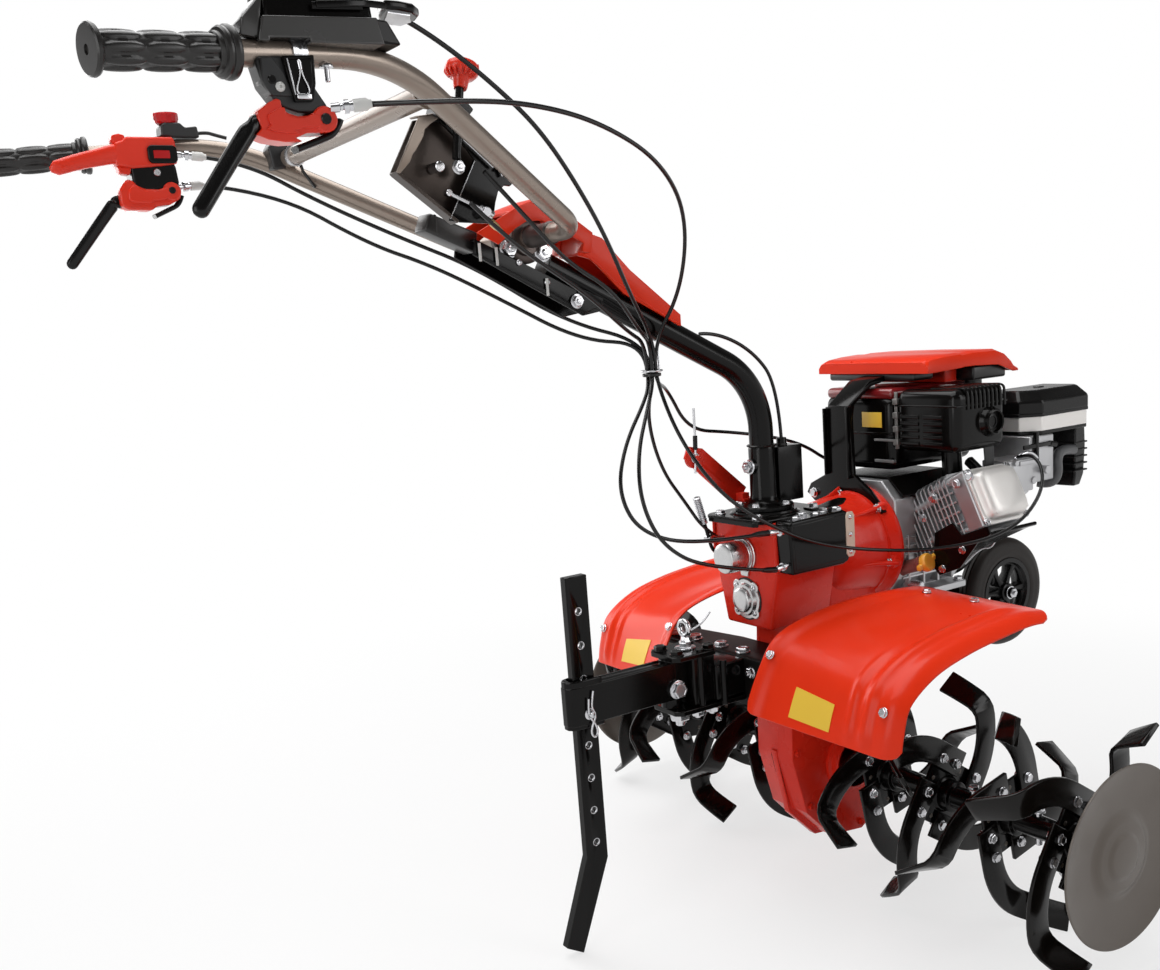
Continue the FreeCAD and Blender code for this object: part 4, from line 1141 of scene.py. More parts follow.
# ---------------------------------------------------------------------------
# Gearbox and the foot of the column
# ---------------------------------------------------------------------------
@dataclass
class Gearbox:
    """Red gear case with its bell, covers, linkage box and top plate."""

    hardware: Hardware
    crank_z: float = 525.0
    rear: float = -163.0
    cap_z: float = 545.0
    cover_z: float = 474.0
    ear_circle: float = 28.5
    flange_x: tuple[float, float] = (78.0, 88.0)
    lug_circle: float = 84.0
    lug_turn: float = 14.0

    def build(self) -> None:
        """Build every piece of the gearbox."""
        self.castings()
        self.bell()
        self.covers()
        self.linkage()
        self.top()
        self.spring_rod()

    def castings(self) -> None:
        """Soften the two red castings, and set their ribs and screws."""
        fit(recast("gearbox_housing", 4.5, 3), RED_PAINT, Body.CHASSIS, "gearbox_housing")
        case = recast("lower_case", 3.5, 3)
        fit(case, RED_PAINT, Body.CHASSIS, "lower_case")
        rim = [block("rim_top", (-168, -148), (-75, 75), (590, 600.5), 3)]
        rim.append(block("rim_left", (-166, -154), (70, 76), (522, 598), 2.5))
        rim.append(block("rim_right", (-166, -154), (-76, -70), (522, 598), 2.5))
        fit(join("gearbox_rim", rim), RED_PAINT, Body.CHASSIS)
        ribs = [plate("case_rib",
                [(-100, 240 + 60 * n), (78, 236 + 60 * n), (78, 243 + 60 * n), (-100, 247 + 60 * n)],
                Plane.SIDE, -44.5, 44.5, 1.2) for n in range(3)]
        fit(join("case_ribs", ribs), RED_PAINT, Body.CHASSIS)
        around = [(-112, 215), (-88, 118), (-40, 66), (24, 58), (68, 84), (90, 140), (90, 222)]
        places = [((x, side * 42.7, z), (0, side, 0)) for x, z in around for side in (-1, 1)]
        self.hardware.place("case_screws", Head.HEX, 9, places, Body.CHASSIS, RED_PAINT)
        bosses = [turned("boss", (0, side * 42, 176), (0, side * 64, 176),
                [(50, 0), (50, 5), (46, 8), (45, 17), (41, 20), (30, 20)]) for side in (-1, 1)]
        fit(join("case_bosses", bosses), RED_PAINT, Body.CHASSIS)

    def bell(self) -> None:
        """Bulging bell with its lugged flange and foot."""
        z = self.crank_z
        dome = turned("bell_housing_body", (-44, 0, z), (90, 0, z),
            [(50, 0), (60, 2), (69, 10), (76, 24), (80, 42), (82, 66), (83, 92), (85, 104), (90, 114),
                (94, 120), (96, 123), (97, 126), (97, 130), (95, 132), (60, 132)], 72, smooth=50)
        foot = block("bell_foot", (-42, 70), (-52, 52), (431, 490), 9, 4)
        collar = [rod("lug", (self.flange_x[0] - 12, y, zz), (self.flange_x[1], y, zz), 13, edge=2)
            for y, zz in self.lugs()]
        ribs = []
        for y, zz in self.lugs():
            away = Vector((0, y, zz - z)).normalized()
            ribs.append(swept("rib", [(4, away.y * 76, z + away.z * 76), (40, away.y * 80, z + away.z * 80),
                        (76, away.y * 90, z + away.z * 90)], (0, -away.z, away.y),
                    [(3, 4), (3.5, 6), (4, 10)], 3))
        fit(join("bell_housing_body", [foot, *collar, *ribs, dome]), RED_PAINT, Body.CHASSIS, "bell_housing")
        self.hardware.place("bell_bolts", Head.HEX, 13,
                            [((self.flange_x[0] - 12, y, zz), (-1, 0, 0)) for y, zz in self.lugs()],
                            Body.CHASSIS)
        seam = turned("bell_seam", (62, 0, z), (63, 0, z), [(86.0, 0), (88.2, 0.5), (88.2, 3.5), (86, 4)], 72)
        fit(seam, RED_PAINT, Body.CHASSIS)
        plug = turned("bell_plug", (-12, -50, 586), (-12, -63, 598), [(9, 0), (9.5, 5), (9, 8), (6.5, 9.5),
                      (5.5, 7.5)], 28)
        fit(plug, GREY_PLASTIC, Body.CHASSIS)

    def lugs(self) -> list[tuple[float, float]]:
        """Places of the six lugs, in y and z.

        Returns:
            One pair for each lug.
        """
        turns = [math.radians(self.lug_turn + 60 * number) for number in range(6)]
        return [(self.lug_circle * math.cos(turn), self.crank_z + self.lug_circle * math.sin(turn))
                for turn in turns]

    def covers(self) -> None:
        """Deep turned cap above, and a flat cover with four ears below."""
        cap = turned("deep_cap", (self.rear, 0, self.cap_z), (self.rear - 10, 0, self.cap_z),
            [(27.6, 0), (27.6, 4), (26.4, 5), (26.4, 7.5), (24, 8.2), (24, 10.5), (23.2, 11), (23.2, 13),
                (24, 13.6), (24, 41), (23, 44), (20.5, 45.6), (12, 45.8)], 56)
        tab = plate("cap_tab", [(-8, self.cap_z - 34), (8, self.cap_z - 34), (11, self.cap_z - 20),
                (-11, self.cap_z - 20)], Plane.FRONT, self.rear - 4, self.rear, 1)
        z = self.cover_z
        flat = turned("flat_cover", (self.rear, 0, z), (self.rear - 10, 0, z),
                      [(31.6, 0), (31.8, 1.2), (31, 3), (26.4, 3.6), (25, 6.5), (24, 8.6), (20.4, 9.4),
                       (19.2, 13.6), (18, 14.8), (12, 15.9), (4, 16)], 56)
        around = [(self.ear_circle * math.cos(turn), z + self.ear_circle * math.sin(turn))
                  for turn in map(math.radians, (45, 135, 225, 315))]
        ears = [rod("ear", (self.rear, y, up), (self.rear - 3.8, y, up), 9, edge=0.8) for y, up in around]
        fit(join("rear_covers_body", [tab, flat, *ears, cap]), BRUSHED, Body.CHASSIS, "rear_covers")
        spots = [((self.rear - 3.6, y, up), (-1, 0, 0)) for y, up in around]
        self.hardware.place("cover_screws", Head.BUTTON, 9, spots, Body.CHASSIS)
        gasket = turned("cover_gasket", (self.rear + 0.5, 0, z), (self.rear - 9, 0, z),
                        [(34, 0), (34, 1.4), (24, 1.5)], 48)
        fit(gasket, BLACK_PLASTIC, Body.CHASSIS)

    def linkage(self) -> None:
        """Black side box with its bolts, end strap and cable adjusters."""
        cover = plate("linkage_cover", [(-160, 524), (-164, 600), (-158, 605), (-52, 608), (-40, 602),
                (-37, 590), (-38, 546), (-44, 528), (-56, 524)], Plane.SIDE, -72, -105.6, 3.4, 3)
        groove = plate("linkage_edge",
            [(-154, 530), (-157, 598), (-52, 602), (-43, 596), (-43, 546), (-48, 532)], Plane.SIDE, -104,
            -106, 0.9)
        fit(join("linkage_box_body", [groove, cover]), BLACK_PAINT, Body.CHASSIS, "linkage_box")
        self.hardware.place("linkage_bolts", Head.HEX, 13, [((-112, -78, 604), (0, 0, 1)),
                            ((-98, -92, 604), (0, 0, 1)), ((-70, -80, 606), (0, 0, 1)),
                            ((-54, -92, 606), (0, 0, 1)), ((-136, -90, 603), (0, 0, 1))], Body.CHASSIS)
        strap = plate("end_strap", [(-50, 540), (-46, 534), (-36, 534), (-32, 540), (-32, 598), (-36, 604),
                (-46, 604), (-50, 598)], Plane.SIDE, -105, -107.4, 0.6)
        fit(strap, STRAP_TAN, Body.CHASSIS)
        self.hardware.place("strap_screws", Head.BUTTON, 8,
            [((-41, -107.2, z), (0, -1, 0)) for z in (542, 569, 596)], Body.CHASSIS)
        adjusters = []
        for start, end in (((-158, -97, 591), (-202, -100, 595)), ((-156, -97, 541), (-191, -100, 538))):
            span = (Vector(end) - Vector(start)).length
            adjusters.append(turned("adjuster", start, end, [(4, 0), (4, 4), (3, 4.5), (3, 14), (6.4, 14.5),
                             (6.4, 19), (3, 19.5), (3, span - 16), (4.6, span - 15), (5, span - 6),
                             (3.6, span - 1), (3, span)], 12))
        fit(join("cable_adjusters", adjusters), ZINC, Body.CHASSIS)
        boots = [turned("boot", start, end, [(4.6, 0), (4.4, 20), (3.2, 30), (2.9, 32)], 16)
            for start, end in (((-200, -100, 595), (-240, -104, 598)),
                ((-189, -100, 538), (-229, -108, 545)))]
        fit(join("cable_boots", boots), CABLE, Body.CHASSIS)

    def top(self) -> None:
        """Dished top plate, its ring and the tab towards the bell."""
        base = plate("top_plate_body", [(-186, -60), (-176, -68), (-60, -71), (-34, -58), (-30, -40),
                (-30, 58), (-60, 76), (-176, 68), (-186, 60)], Plane.FLOOR, 600, 606, 1.6)
        ring_part = turned("ring", (-119, 0, 603), (-119, 0, 611),
            [(56, 0), (55, 3.5), (50.5, 5.5), (50, 8), (30, 8)], 64)
        lip = plate("lip", [(-190, -52), (-184, -60), (-180, -56), (-180, 56), (-184, 60), (-190, 52)],
                    Plane.FLOOR, 596, 604, 1.2)
        tab = swept("tab", [(-70, -46, 606), (-40, -52, 606), (-14, -50, 610), (4, -44, 612)], (0, 1, 0),
                    [(14, 2.5), (16, 2.5), (15, 2.5), (8, 2.2)], 5)
        fit(join("top_plate_body", [ring_part, lip, tab, base]), BLACK_PAINT, Body.CHASSIS, "top_plate")
        self.hardware.place("top_bolts", Head.HEX, 13, [((-172, 44, 606), (0, 0, 1)),
                ((-172, -44, 606), (0, 0, 1)), ((-52, 44, 606), (0, 0, 1)), ((-48, -34, 606), (0, 0, 1))],
            Body.CHASSIS)

    def spring_rod(self) -> None:
        """Bright spring grip on a rod at the left rear, through its small eye."""
        coils = []
        low = Vector((-193, 60, 592))
        high = Vector((-206, 60, 636))
        for number in range(15):
            start = low.lerp(high, number / 15)
            end = low.lerp(high, (number + 0.8) / 15)
            coils.append(
                turned("coil", tuple(start), tuple(end), [(4.6, 0), (6.2, 0.9), (6.2, 1.6), (4.6, 2.4)], 14))
        core = rod("core", tuple(low), tuple(high), 4.7)
        fit(join("spring_grip", [*coils, core]), ZINC, Body.CHASSIS)
        stem = wire("spring_stem", [(-194, 60, 596), (-186, 60, 570), (-180, 60, 546), (-166, 60, 538)], 3)
        fit(stem, BLACK_PAINT, Body.CHASSIS)
        eye = [
            rod("eye", (-182, 54, 566), (-182, 70, 566), 7),
            rod("eye_stem", (-182, 58, 566), (-160, 50, 566), 4)]
        fit(join("spring_eye", eye), ZINC, Body.CHASSIS)


@dataclass
class ColumnFoot:
    """Post, square guide and lock arm that stand on the top plate."""

    hardware: Hardware
    x: float = -119.0

    def build(self) -> None:
        """Build the foot of the column."""
        x = self.x
        post = turned("column_post_body", (x, 0, 611.3), (x, 0, 712),
            [(45, 0), (46, 1.2), (46, 6), (44.5, 8), (32, 8.6), (27, 10), (24, 13), (22, 17), (21, 22),
                (21, 94), (20.4, 97), (23, 98), (23.6, 99.5), (22, 100.7)], 56)
        boss = turned("boss", (x - 16, 0, 680), (x - 40, 0, 680), [(11, 0), (11, 9), (9.4, 10.4)], 24)
        fit(join("column_post_body", [boss, post]), BLACK_PAINT, Body.COLUMN, "column_post")
        self.hardware.place("post_bolt", Head.NUT, 17, [((x - 26, 0, 680), (-1, 0, 0))], Body.COLUMN)
        self.hardware.place("post_flange_bolts", Head.HEX, 10, [((x + 38 * math.cos(math.radians(a)),
                            38 * math.sin(math.radians(a)), 619), (0, 0, 1)) for a in (70, 150, 210, 290)],
                            Body.COLUMN)
        guide = recast("column_box", 2.4, 3, name="guide_body")
        fit(guide, BLACK_PAINT, Body.COLUMN, "column_box")
        collar = turned("guide_collar", (-78, 0, 706), (-78, 0, 720),
            [(9, 0), (9, 3), (6, 4), (6, 9), (4, 12)], 20)
        fit(collar, RUBBER, Body.COLUMN)
        weld = turned("post_weld", (x, 0, 619.5), (x, 0, 640), [(25.5, 0), (24, 2.5), (22, 4.8), (20.5, 5.2)],
            56)
        fit(weld, BLACK_PAINT, Body.COLUMN)
        self.arm()

    def arm(self) -> None:
        """Red lock arm with its pin, washer and thin wire."""
        arm = recast("lock_arm", 1.1, 2, name="lock_arm_body")
        eye = rod("arm_eye", (-212, 49, 699), (-212, 57, 699), 16, edge=1.2)
        fit(join("lock_arm_body", [eye, arm]), RED_PAINT, Body.COLUMN, "lock_arm")
        self.hardware.place("arm_pin", Head.HEX, 12,
            [((-212, 49, 699), (0, -1, 0)), ((-212, 57, 699), (0, 1, 0))], Body.COLUMN)
        pin = wire("arm_wire", [(-212, 46, 776), (-212, 46, 740), (-213, 46, 706), (-216, 46, 676)], 1.9)
        fit(pin, ZINC, Body.COLUMN)
        bead = rod("arm_bead", (-212, 46, 734), (-213, 46, 712), 3.6)
        fit(bead, BLACK_PLASTIC, Body.COLUMN)


# ---------------------------------------------------------------------------
# Fenders
# ---------------------------------------------------------------------------
@dataclass
class Fenders:
    """Two moulded fenders with raised ridges, a turned lip and rounded corners."""

    hardware: Hardware
    inner_y: float = 112.0
    outer_y: float = 362.0
    thick: float = 3.0
    inner: tuple = ((-268, 338), (-240, 392), (-208, 434), (-150, 454), (-70, 466), (20, 468), (100, 462),
                    (152, 446))
    outer: tuple = ((-228, 316), (-222, 352), (-204, 396), (-150, 430), (-80, 448), (0, 458), (60, 462),
                    (106, 458))
    lengthwise: int = 46
    across: int = 58
    corner: float = 0.10

    def control(self, v: float) -> list[tuple[float, float]]:
        """Corners of the section at one share of the width, from the inner edge."""
        return [(a[0] + (b[0] - a[0]) * v, a[1] + (b[1] - a[1]) * v) for a, b in zip(self.inner, self.outer)]

    def curve(self, v: float, u: float) -> tuple[float, float]:
        """Point in x and z on a smooth line through the section's corners.

        Args:
            v: share of the width.
            u: share of the length.

        Returns:
            The point's x and z.
        """
        corners = self.control(v)
        span = u * (len(corners) - 1)
        first = min(int(span), len(corners) - 2)
        t = span - first
        p = [corners[min(max(first + k, 0), len(corners) - 1)] for k in (-1, 0, 1, 2)]
        values = []
        for axis in (0, 1):
            a, b, c, d = (q[axis] for q in p)
            values.append(0.5 * (2 * b + (c - a) * t + (2 * a - 5 * b + 4 * c - d) * t * t
                    + (3 * b - a - 3 * c + d) * t ** 3))
        return values[0], values[1]

    @staticmethod
    def bump(value: float, middle: float, half: float) -> float:
        """Rounded bump of height 1 about a middle."""
        away = abs(value - middle) / half
        return 0.0 if away >= 1 else (0.5 + 0.5 * math.cos(math.pi * away)) ** 0.8

    def relief(self, v: float, u: float) -> float:
        """Height of the ridges above the sheet, in millimetres.

        Args:
            v: share of the width.
            u: share of the length.

        Returns:
            The height.
        """
        fade = min(1.0, max(0.0, (0.92 - u) / 0.12))
        early = min(1.0, max(0.0, (u - 0.02) / 0.06))
        height = 5.0 * self.bump(v, 0.80, 0.055) * fade * early
        height += 3.2 * self.bump(v, 0.70 - 0.05 * u, 0.035) * early * min(1.0, max(0.0, (0.50 - u) / 0.2))
        height += 6.0 * self.bump(v, 0.02 + 0.22 * max(0.0, u - 0.4), 0.10) * min(1.0,
            max(0.0, (0.86 - u) / 0.2))
        height -= 4.0 * self.bump(v, 0.42, 0.22) * self.bump(u, 0.55, 0.28)
        lip = max(0.0, (v - 0.90) / 0.10)
        return height - 13.0 * lip * lip

    def limits(self, v: float) -> tuple[float, float]:
        """First and last share of the length at one v, shorter near the rounded corners.

        Args:
            v: share of the width.

        Returns:
            The two shares.
        """
        near = max(0.0, (v - (1 - self.corner)) / self.corner)
        cut_out = 1 - math.sqrt(max(0.0, 1 - near * near))
        near_in = max(0.0, (self.corner * 0.7 - v) / (self.corner * 0.7))
        cut_in = 1 - math.sqrt(max(0.0, 1 - near_in * near_in))
        return 0.065 * cut_out + 0.05 * cut_in, 1 - 0.075 * cut_out - 0.03 * cut_in

    def point(self, v: float, u: float, lift: float = 0.0) -> Point:
        """Point on the right-hand sheet's top face, raised by lift.

        Args:
            v: share of the width.
            u: share of the length.
            lift: height above the sheet.

        Returns:
            The point in millimetres.
        """
        low, high = self.limits(v)
        place = low + (high - low) * u
        x, z = self.curve(v, place)
        x2, z2 = self.curve(v, min(1.0, place + 0.01))
        x1, z1 = self.curve(v, max(0.0, place - 0.01))
        length = math.hypot(x2 - x1, z2 - z1)
        nx, nz = -(z2 - z1) / length, (x2 - x1) / length
        rise = self.relief(v, place) + lift
        y = self.inner_y + (self.outer_y - self.inner_y) * v
        return x + nx * rise, -y, z + nz * rise

    def sheet(self, name: str, v_span: tuple[float, float], u_span: tuple[float, float], low: float,
            high: float, across: int, lengthwise: int) -> Piece:
        """Part of the sheet between two heights above its face.

        Args:
            name: the piece's name.
            v_span: first and last share of the width.
            u_span: first and last share of the length.
            low: height of its lower face.
            high: height of its upper face.
            across: steps across.
            lengthwise: steps along.

        Returns:
            The closed piece.
        """
        sections = []
        for row in range(across + 1):
            v = v_span[0] + (v_span[1] - v_span[0]) * row / across
            shares = [u_span[0] + (u_span[1] - u_span[0]) * n / lengthwise for n in range(lengthwise + 1)]
            top = [self.point(v, u, high) for u in shares]
            under = [self.point(v, u, low) for u in reversed(shares)]
            sections.append(top + under)
        return loft(name, sections, 50)

    def build(self) -> None:
        """Make the right fender and its mirror image, with plates and bolts."""
        sheet = self.sheet("fender_right", (0, 1), (0, 1), -self.thick, 0, self.across, self.lengthwise)
        ease(sheet, 0.8, 2, 60)
        left = other_side("fender_left", sheet)
        fit(sheet, RED_PLASTIC, Body.CHASSIS, "fenders")
        fit(left, RED_PLASTIC, Body.CHASSIS, "fenders")
        right_plate = self.sheet("plate_right", (0.288, 0.572), (0.048, 0.158), 0.05, 0.9, 10, 6)
        model = self.sheet("plate_model", (0.24, 0.56), (0.055, 0.165), 0.05, 0.9, 10, 6)
        left_plate = other_side("plate_left", model)
        bpy.data.objects.remove(model)
        fit(right_plate, YELLOW, Body.CHASSIS)
        fit(left_plate, YELLOW, Body.CHASSIS)
        places = []
        for v, u in ((0.05, 0.225), (0.90, 0.215), (0.2, 0.80), (0.55, 0.84)):
            x, y, z = self.point(v, u, 0.5)
            fx, fy, fz = self.point(v, u, 6)
            places.append(((x, y, z), (fx - x, fy - y, fz - z)))
        mirrored = [((x, -y, z), (dx, -dy, dz)) for (x, y, z), (dx, dy, dz) in places]
        self.hardware.place("fender_bolts", Head.HEX, 11, places + mirrored, Body.CHASSIS)


# ---------------------------------------------------------------------------
# Engine
# ---------------------------------------------------------------------------
@dataclass
class Engine:
    """Engine on the bell: barrel, head, exhaust, tank, air filter, starter and guard."""

    hardware: Hardware
    lean: float = 64.0
    foot_z: float = 510.0
    crank_z: float = 525.0
    barrel_x: tuple[float, float] = (135.0, 235.0)

    def build(self) -> None:
        """Build every piece of the engine."""
        self.crankcase()
        self.barrel()
        self.head_cover()
        self.shroud()
        self.starter()
        self.exhaust()
        self.tank()
        self.filter()
        self.fuel_parts()
        self.guard()
        self.post()

    def leaning(self, x: float, across: float, up: float) -> Point:
        """Point given along the leaning barrel: across it and up it from its foot.

        Args:
            x: place along the machine.
            across: place across the barrel.
            up: height along the barrel.

        Returns:
            The point in millimetres.
        """
        turn = math.radians(self.lean)
        y = across * math.cos(turn) - up * math.sin(turn)
        z = across * math.sin(turn) + up * math.cos(turn)
        return x, y, z + self.foot_z

    def lean_block(self, name: str, x: tuple[float, float], across: tuple[float, float],
                   up: tuple[float, float], edge: float = 1.0, rounds: int = 2) -> Piece:
        """Block that lies along the leaning barrel.

        Args:
            name: the piece's name.
            x: its span along the machine.
            across: its span across the barrel.
            up: its span along the barrel.
            edge: width of its rounded edges.
            rounds: segments of each edge.

        Returns:
            The block.
        """
        corners = ((x[0], across[0]), (x[1], across[0]), (x[1], across[1]), (x[0], across[1]))
        piece = loft(name, [[self.leaning(a, b, height) for a, b in corners] for height in up])
        return ease(piece, edge, rounds)

    def lean_rod(self, name: str, x: float, across: float, up: tuple[float, float], radius: float,
                 edge: float = 0.8) -> Piece:
        """Round bar along the barrel's own axis."""
        return rod(name, self.leaning(x, across, up[0]), self.leaning(x, across, up[1]), radius, edge=edge)

    def crankcase(self) -> None:
        """Cast crankcase with its ribs, base and oil filler."""
        case = recast("engine_block", 5, 3)
        ribs = []
        for number in range(6):
            z = 468 + 13 * number
            ribs.append(block("rib", (100, 236), (-81, -60), (z, z + 4), 1.2))
        for number in range(4):
            x = 112 + 34 * number
            ribs.append(block("rib", (x, x + 5), (-82, -60), (452, 540), 1.4))
            ribs.append(block("rib", (x, x + 5), (70, 95), (452, 600), 1.4))
        flange = turned("flange", (88, 0, self.crank_z), (99, 0, self.crank_z),
            [(88, 0), (90, 2), (90, 9), (86, 11)], 64)
        fit(join("engine_block_body", [*ribs, flange, case]), CAST, Body.CHASSIS, "engine_block")
        # Black sheet over the crankcase's top: painted shade, a dark sheet that darkens the grey top between
        # the bell and the barrel.
        guide = plate("crankcase_shade_sheet", [(-80, 602), (-51, 629), (71, 629), (93, 603), (93, 560), (96, 560),
                (96, 606), (72, 634), (-52, 634), (-83, 606)], Plane.FRONT, 103, 233, 1)
        fit(guide, BLACK_PAINT, Body.CHASSIS)
        self.hardware.place("base_bolts", Head.HEX, 13, [((x, y, 446), (0, 0, 1)) for x in (104, 228)
                            for y in (-84, 88)], Body.CHASSIS)
        neck = turned("neck", (104, -66, 483), (112.5, -116, 498.5),
            [(13, 0), (13, 8), (11, 12), (11, 40), (12.5, 42), (12.5, 48), (10, 50)], 28)
        fit(neck, FILLER_RED, Body.CHASSIS)
        cap = turned("oil_cap_body", (112.3, -114, 497.6), (114, -128, 502),
            [(9, 0), (14, 1), (15, 4), (15, 9), (13.4, 12), (9, 13), (6, 12.6)], 32)
        wing = plate("wing", [(92.5, 488), (134.5, 505), (134, 513), (92, 497)], Plane.SIDE, -116, -124.5, 2)
        fit(join("oil_cap_body", [wing, cap]), OIL_YELLOW, Body.CHASSIS, "oil_cap")
        drain = rod("drain", (118, -78, 458), (122, -100, 456), 8, edge=1.5)
        fit(drain, ZINC, Body.CHASSIS)
        governor = wire("governor_wire", [(246, -84, 470), (252, -110, 500), (258, -132, 500),
                (262, -140, 530), (250, -146, 560), (262, -150, 600)], 1.6)
        fit(governor, ZINC, Body.CHASSIS)

    def barrel(self) -> None:
        """Finned barrel and head, with slats, bosses and head bolts."""
        x0, x1 = self.barrel_x
        parts = []
        for number in range(14):
            low = 60 + 9 * number
            inset_by = 3 if number % 2 else 0
            corners = [(x0 - 3, -50 + inset_by), (x0 + 8, -56), (x1 - 8, -56), (x1 + 3, -50), (x1 + 3, 48),
                       (x1 - 8, 56), (x0 + 8, 56), (x0 - 3, 50 - inset_by)]
            fin = loft("fin", [[self.leaning(a, b, h) for a, b in corners] for h in (low, low + 3)])
            parts.append(ease(fin, 0.7, 2))
        for across in (-40, -24, -8, 8, 24, 40):
            parts.append(
                self.lean_block("slat", (x0 - 1.5, x0 + 12), (across - 1.6, across + 1.6), (138, 186), 0.7))
        parts.append(self.lean_block("core", (x0 + 8, x1 - 8), (-46, 46), (60, 192), 4))
        parts.append(self.lean_block("head", (x0, x1), (-48, 48), (186, 219), 4, 3))
        for across in (-46, 46):
            for x in (x0 + 8, x1 - 8):
                parts.append(self.lean_rod("boss", x, across * 0.9, (150, 214), 8, 1.2))
        parts.append(self.lean_rod("boss", x0 + 4, 26, (100, 140), 7, 1.2))
        parts.append(self.lean_rod("boss", x0 + 4, -30, (100, 130), 6, 1.2))
        parts.append(rod("boss", (x0 - 3, -118, 600), (x0 + 14, -118, 600), 9, edge=1.5))
        parts.append(rod("boss", (x0 - 3, -96, 566), (x0 + 14, -96, 566), 7, edge=1.5))
        fit(join("engine_barrel_body", parts), CAST, Body.CHASSIS, "engine_barrel")
        self.hardware.place("barrel_bolts", Head.HEX, 11, [((x0 - 3, -118, 600), (-1, 0, 0)),
                            ((x0 - 3, -96, 566), (-1, 0, 0)), ((x0 - 4, -168, 628), (-1, 0, 0)),
                            ((x0 + 4, -186, 640), (-1, -0.3, 0))], Body.CHASSIS)

    def head_cover(self) -> None:
        """Pressed silver cover with a deep rounded crown, on its rim."""
        x0, x1 = self.barrel_x
        middle = (x0 + x1) / 2
        sections = []
        for half_x, half_a, up, square in ((47, 44, 219, 9), (50, 46, 220, 9), (50, 46, 223.5, 9),
                (46.5, 42.5, 224.2, 8), (45, 41, 226, 7), (44, 40, 234, 6), (42, 38.4, 239.5, 5),
                (38, 35, 242.6, 4.2), (28, 26, 244, 3.6), (10, 10, 244, 3)):
            section = []
            for number in range(48):
                turn = math.tau * (number + 0.5) / 48
                c, s = math.cos(turn), math.sin(turn)
                a = math.copysign(abs(c) ** (2 / square), c) * half_x
                b = math.copysign(abs(s) ** (2 / square), s) * half_a
                section.append(self.leaning(middle + a, b, up))
            sections.append(section)
        cover = loft("valve_cover_body", sections, 40)
        bars = [
            self.lean_block("bar", (x0 + 12, x0 + 16), (-34, 30), (232, 241.5), 1.6, 3),
            self.lean_block("bar", (x1 - 16, x1 - 12), (-34, 30), (232, 241.5), 1.6, 3)]
        fit(join("valve_cover_body", [*bars, cover]), COVER_SILVER, Body.CHASSIS, "valve_cover")
        away = Vector(self.leaning(0, 0, 1)) - Vector(self.leaning(0, 0, 0))
        spots = [(self.leaning(x, a, 223), tuple(away)) for x in (x0 + 4, x1 - 4) for a in (-41, 41)]
        self.hardware.place("cover_bolts", Head.HEX, 9, spots, Body.CHASSIS)

    def shroud(self) -> None:
        """Black sheet air guide under the barrel."""
        x0, x1 = self.barrel_x
        under = self.lean_block("under", (x0, x1 + 4), (-62, -59), (100, 231), 1.2)
        wall = loft("wall",
            [[self.leaning(x, a, u) for a, u in ((-88, 104), (-72, 98), (-22, 126), (-20, 168), (-44, 178),
                        (-49, 231), (-62, 231), (-66, 200), (-90, 150))] for x in (x0 - 7, x0 - 4)])
        wall = ease(wall, 1.0)
        hem = self.lean_block("hem", (x0 - 2, x1 + 2), (-64, -58), (225, 232), 1.8, 3)
        fit(join("barrel_shroud_body", [wall, hem, under]), BLACK_PAINT, Body.CHASSIS, "barrel_shroud")
        self.hardware.place("shroud_bolts", Head.HEX, 10, [(self.leaning(x0 - 7, -66, 168), (-1, 0, 0)),
                            (self.leaning(x0 - 7, -80, 116), (-1, 0, 0))], Body.CHASSIS)

    def starter(self) -> None:
        """Fan cover with slots, and the pull starter in front of it."""
        z = self.crank_z
        cover = turned("recoil_housing_body", (246, 6, z), (330, 6, z), [(60, 0), (91, 1), (94, 6), (94, 34),
                (91, 43), (84, 48), (74, 50.5), (72, 53), (70, 66), (66, 74), (60, 77), (30, 77), (28, 74)],
            72, smooth=50)
        bars = []
        for number in range(12):
            turn = math.radians(30 * number)
            inner = Vector((312, 6 + 40 * math.cos(turn), z + 40 * math.sin(turn)))
            outer = Vector((312, 6 + 62 * math.cos(turn), z + 62 * math.sin(turn)))
            bars.append(swept("vent", [tuple(inner + Vector((9, 0, 0))), tuple(outer + Vector((8.5, 0, 0)))],
                    (1, 0, 0), [(3, 3), (3, 3)], 4, 12))
        fit(join("recoil_housing_body", [*bars, cover]), BLACK_PAINT, Body.CHASSIS, "recoil_housing")
        handle = swept("starter_grip", [(300, 62, z + 62), (306, 80, z + 66), (300, 98, z + 62)], (1, 0, 0),
                       [(7, 5), (8.5, 6.5), (7, 5)], 3)
        fit(handle, BLACK_PLASTIC, Body.CHASSIS)
        spots = [((292, 6 + 82 * math.cos(math.radians(a)), z + 82 * math.sin(math.radians(a))), (1, 0, 0))
                 for a in (45, 135, 225, 315)]
        self.hardware.place("starter_bolts", Head.HEX, 10, spots, Body.CHASSIS)

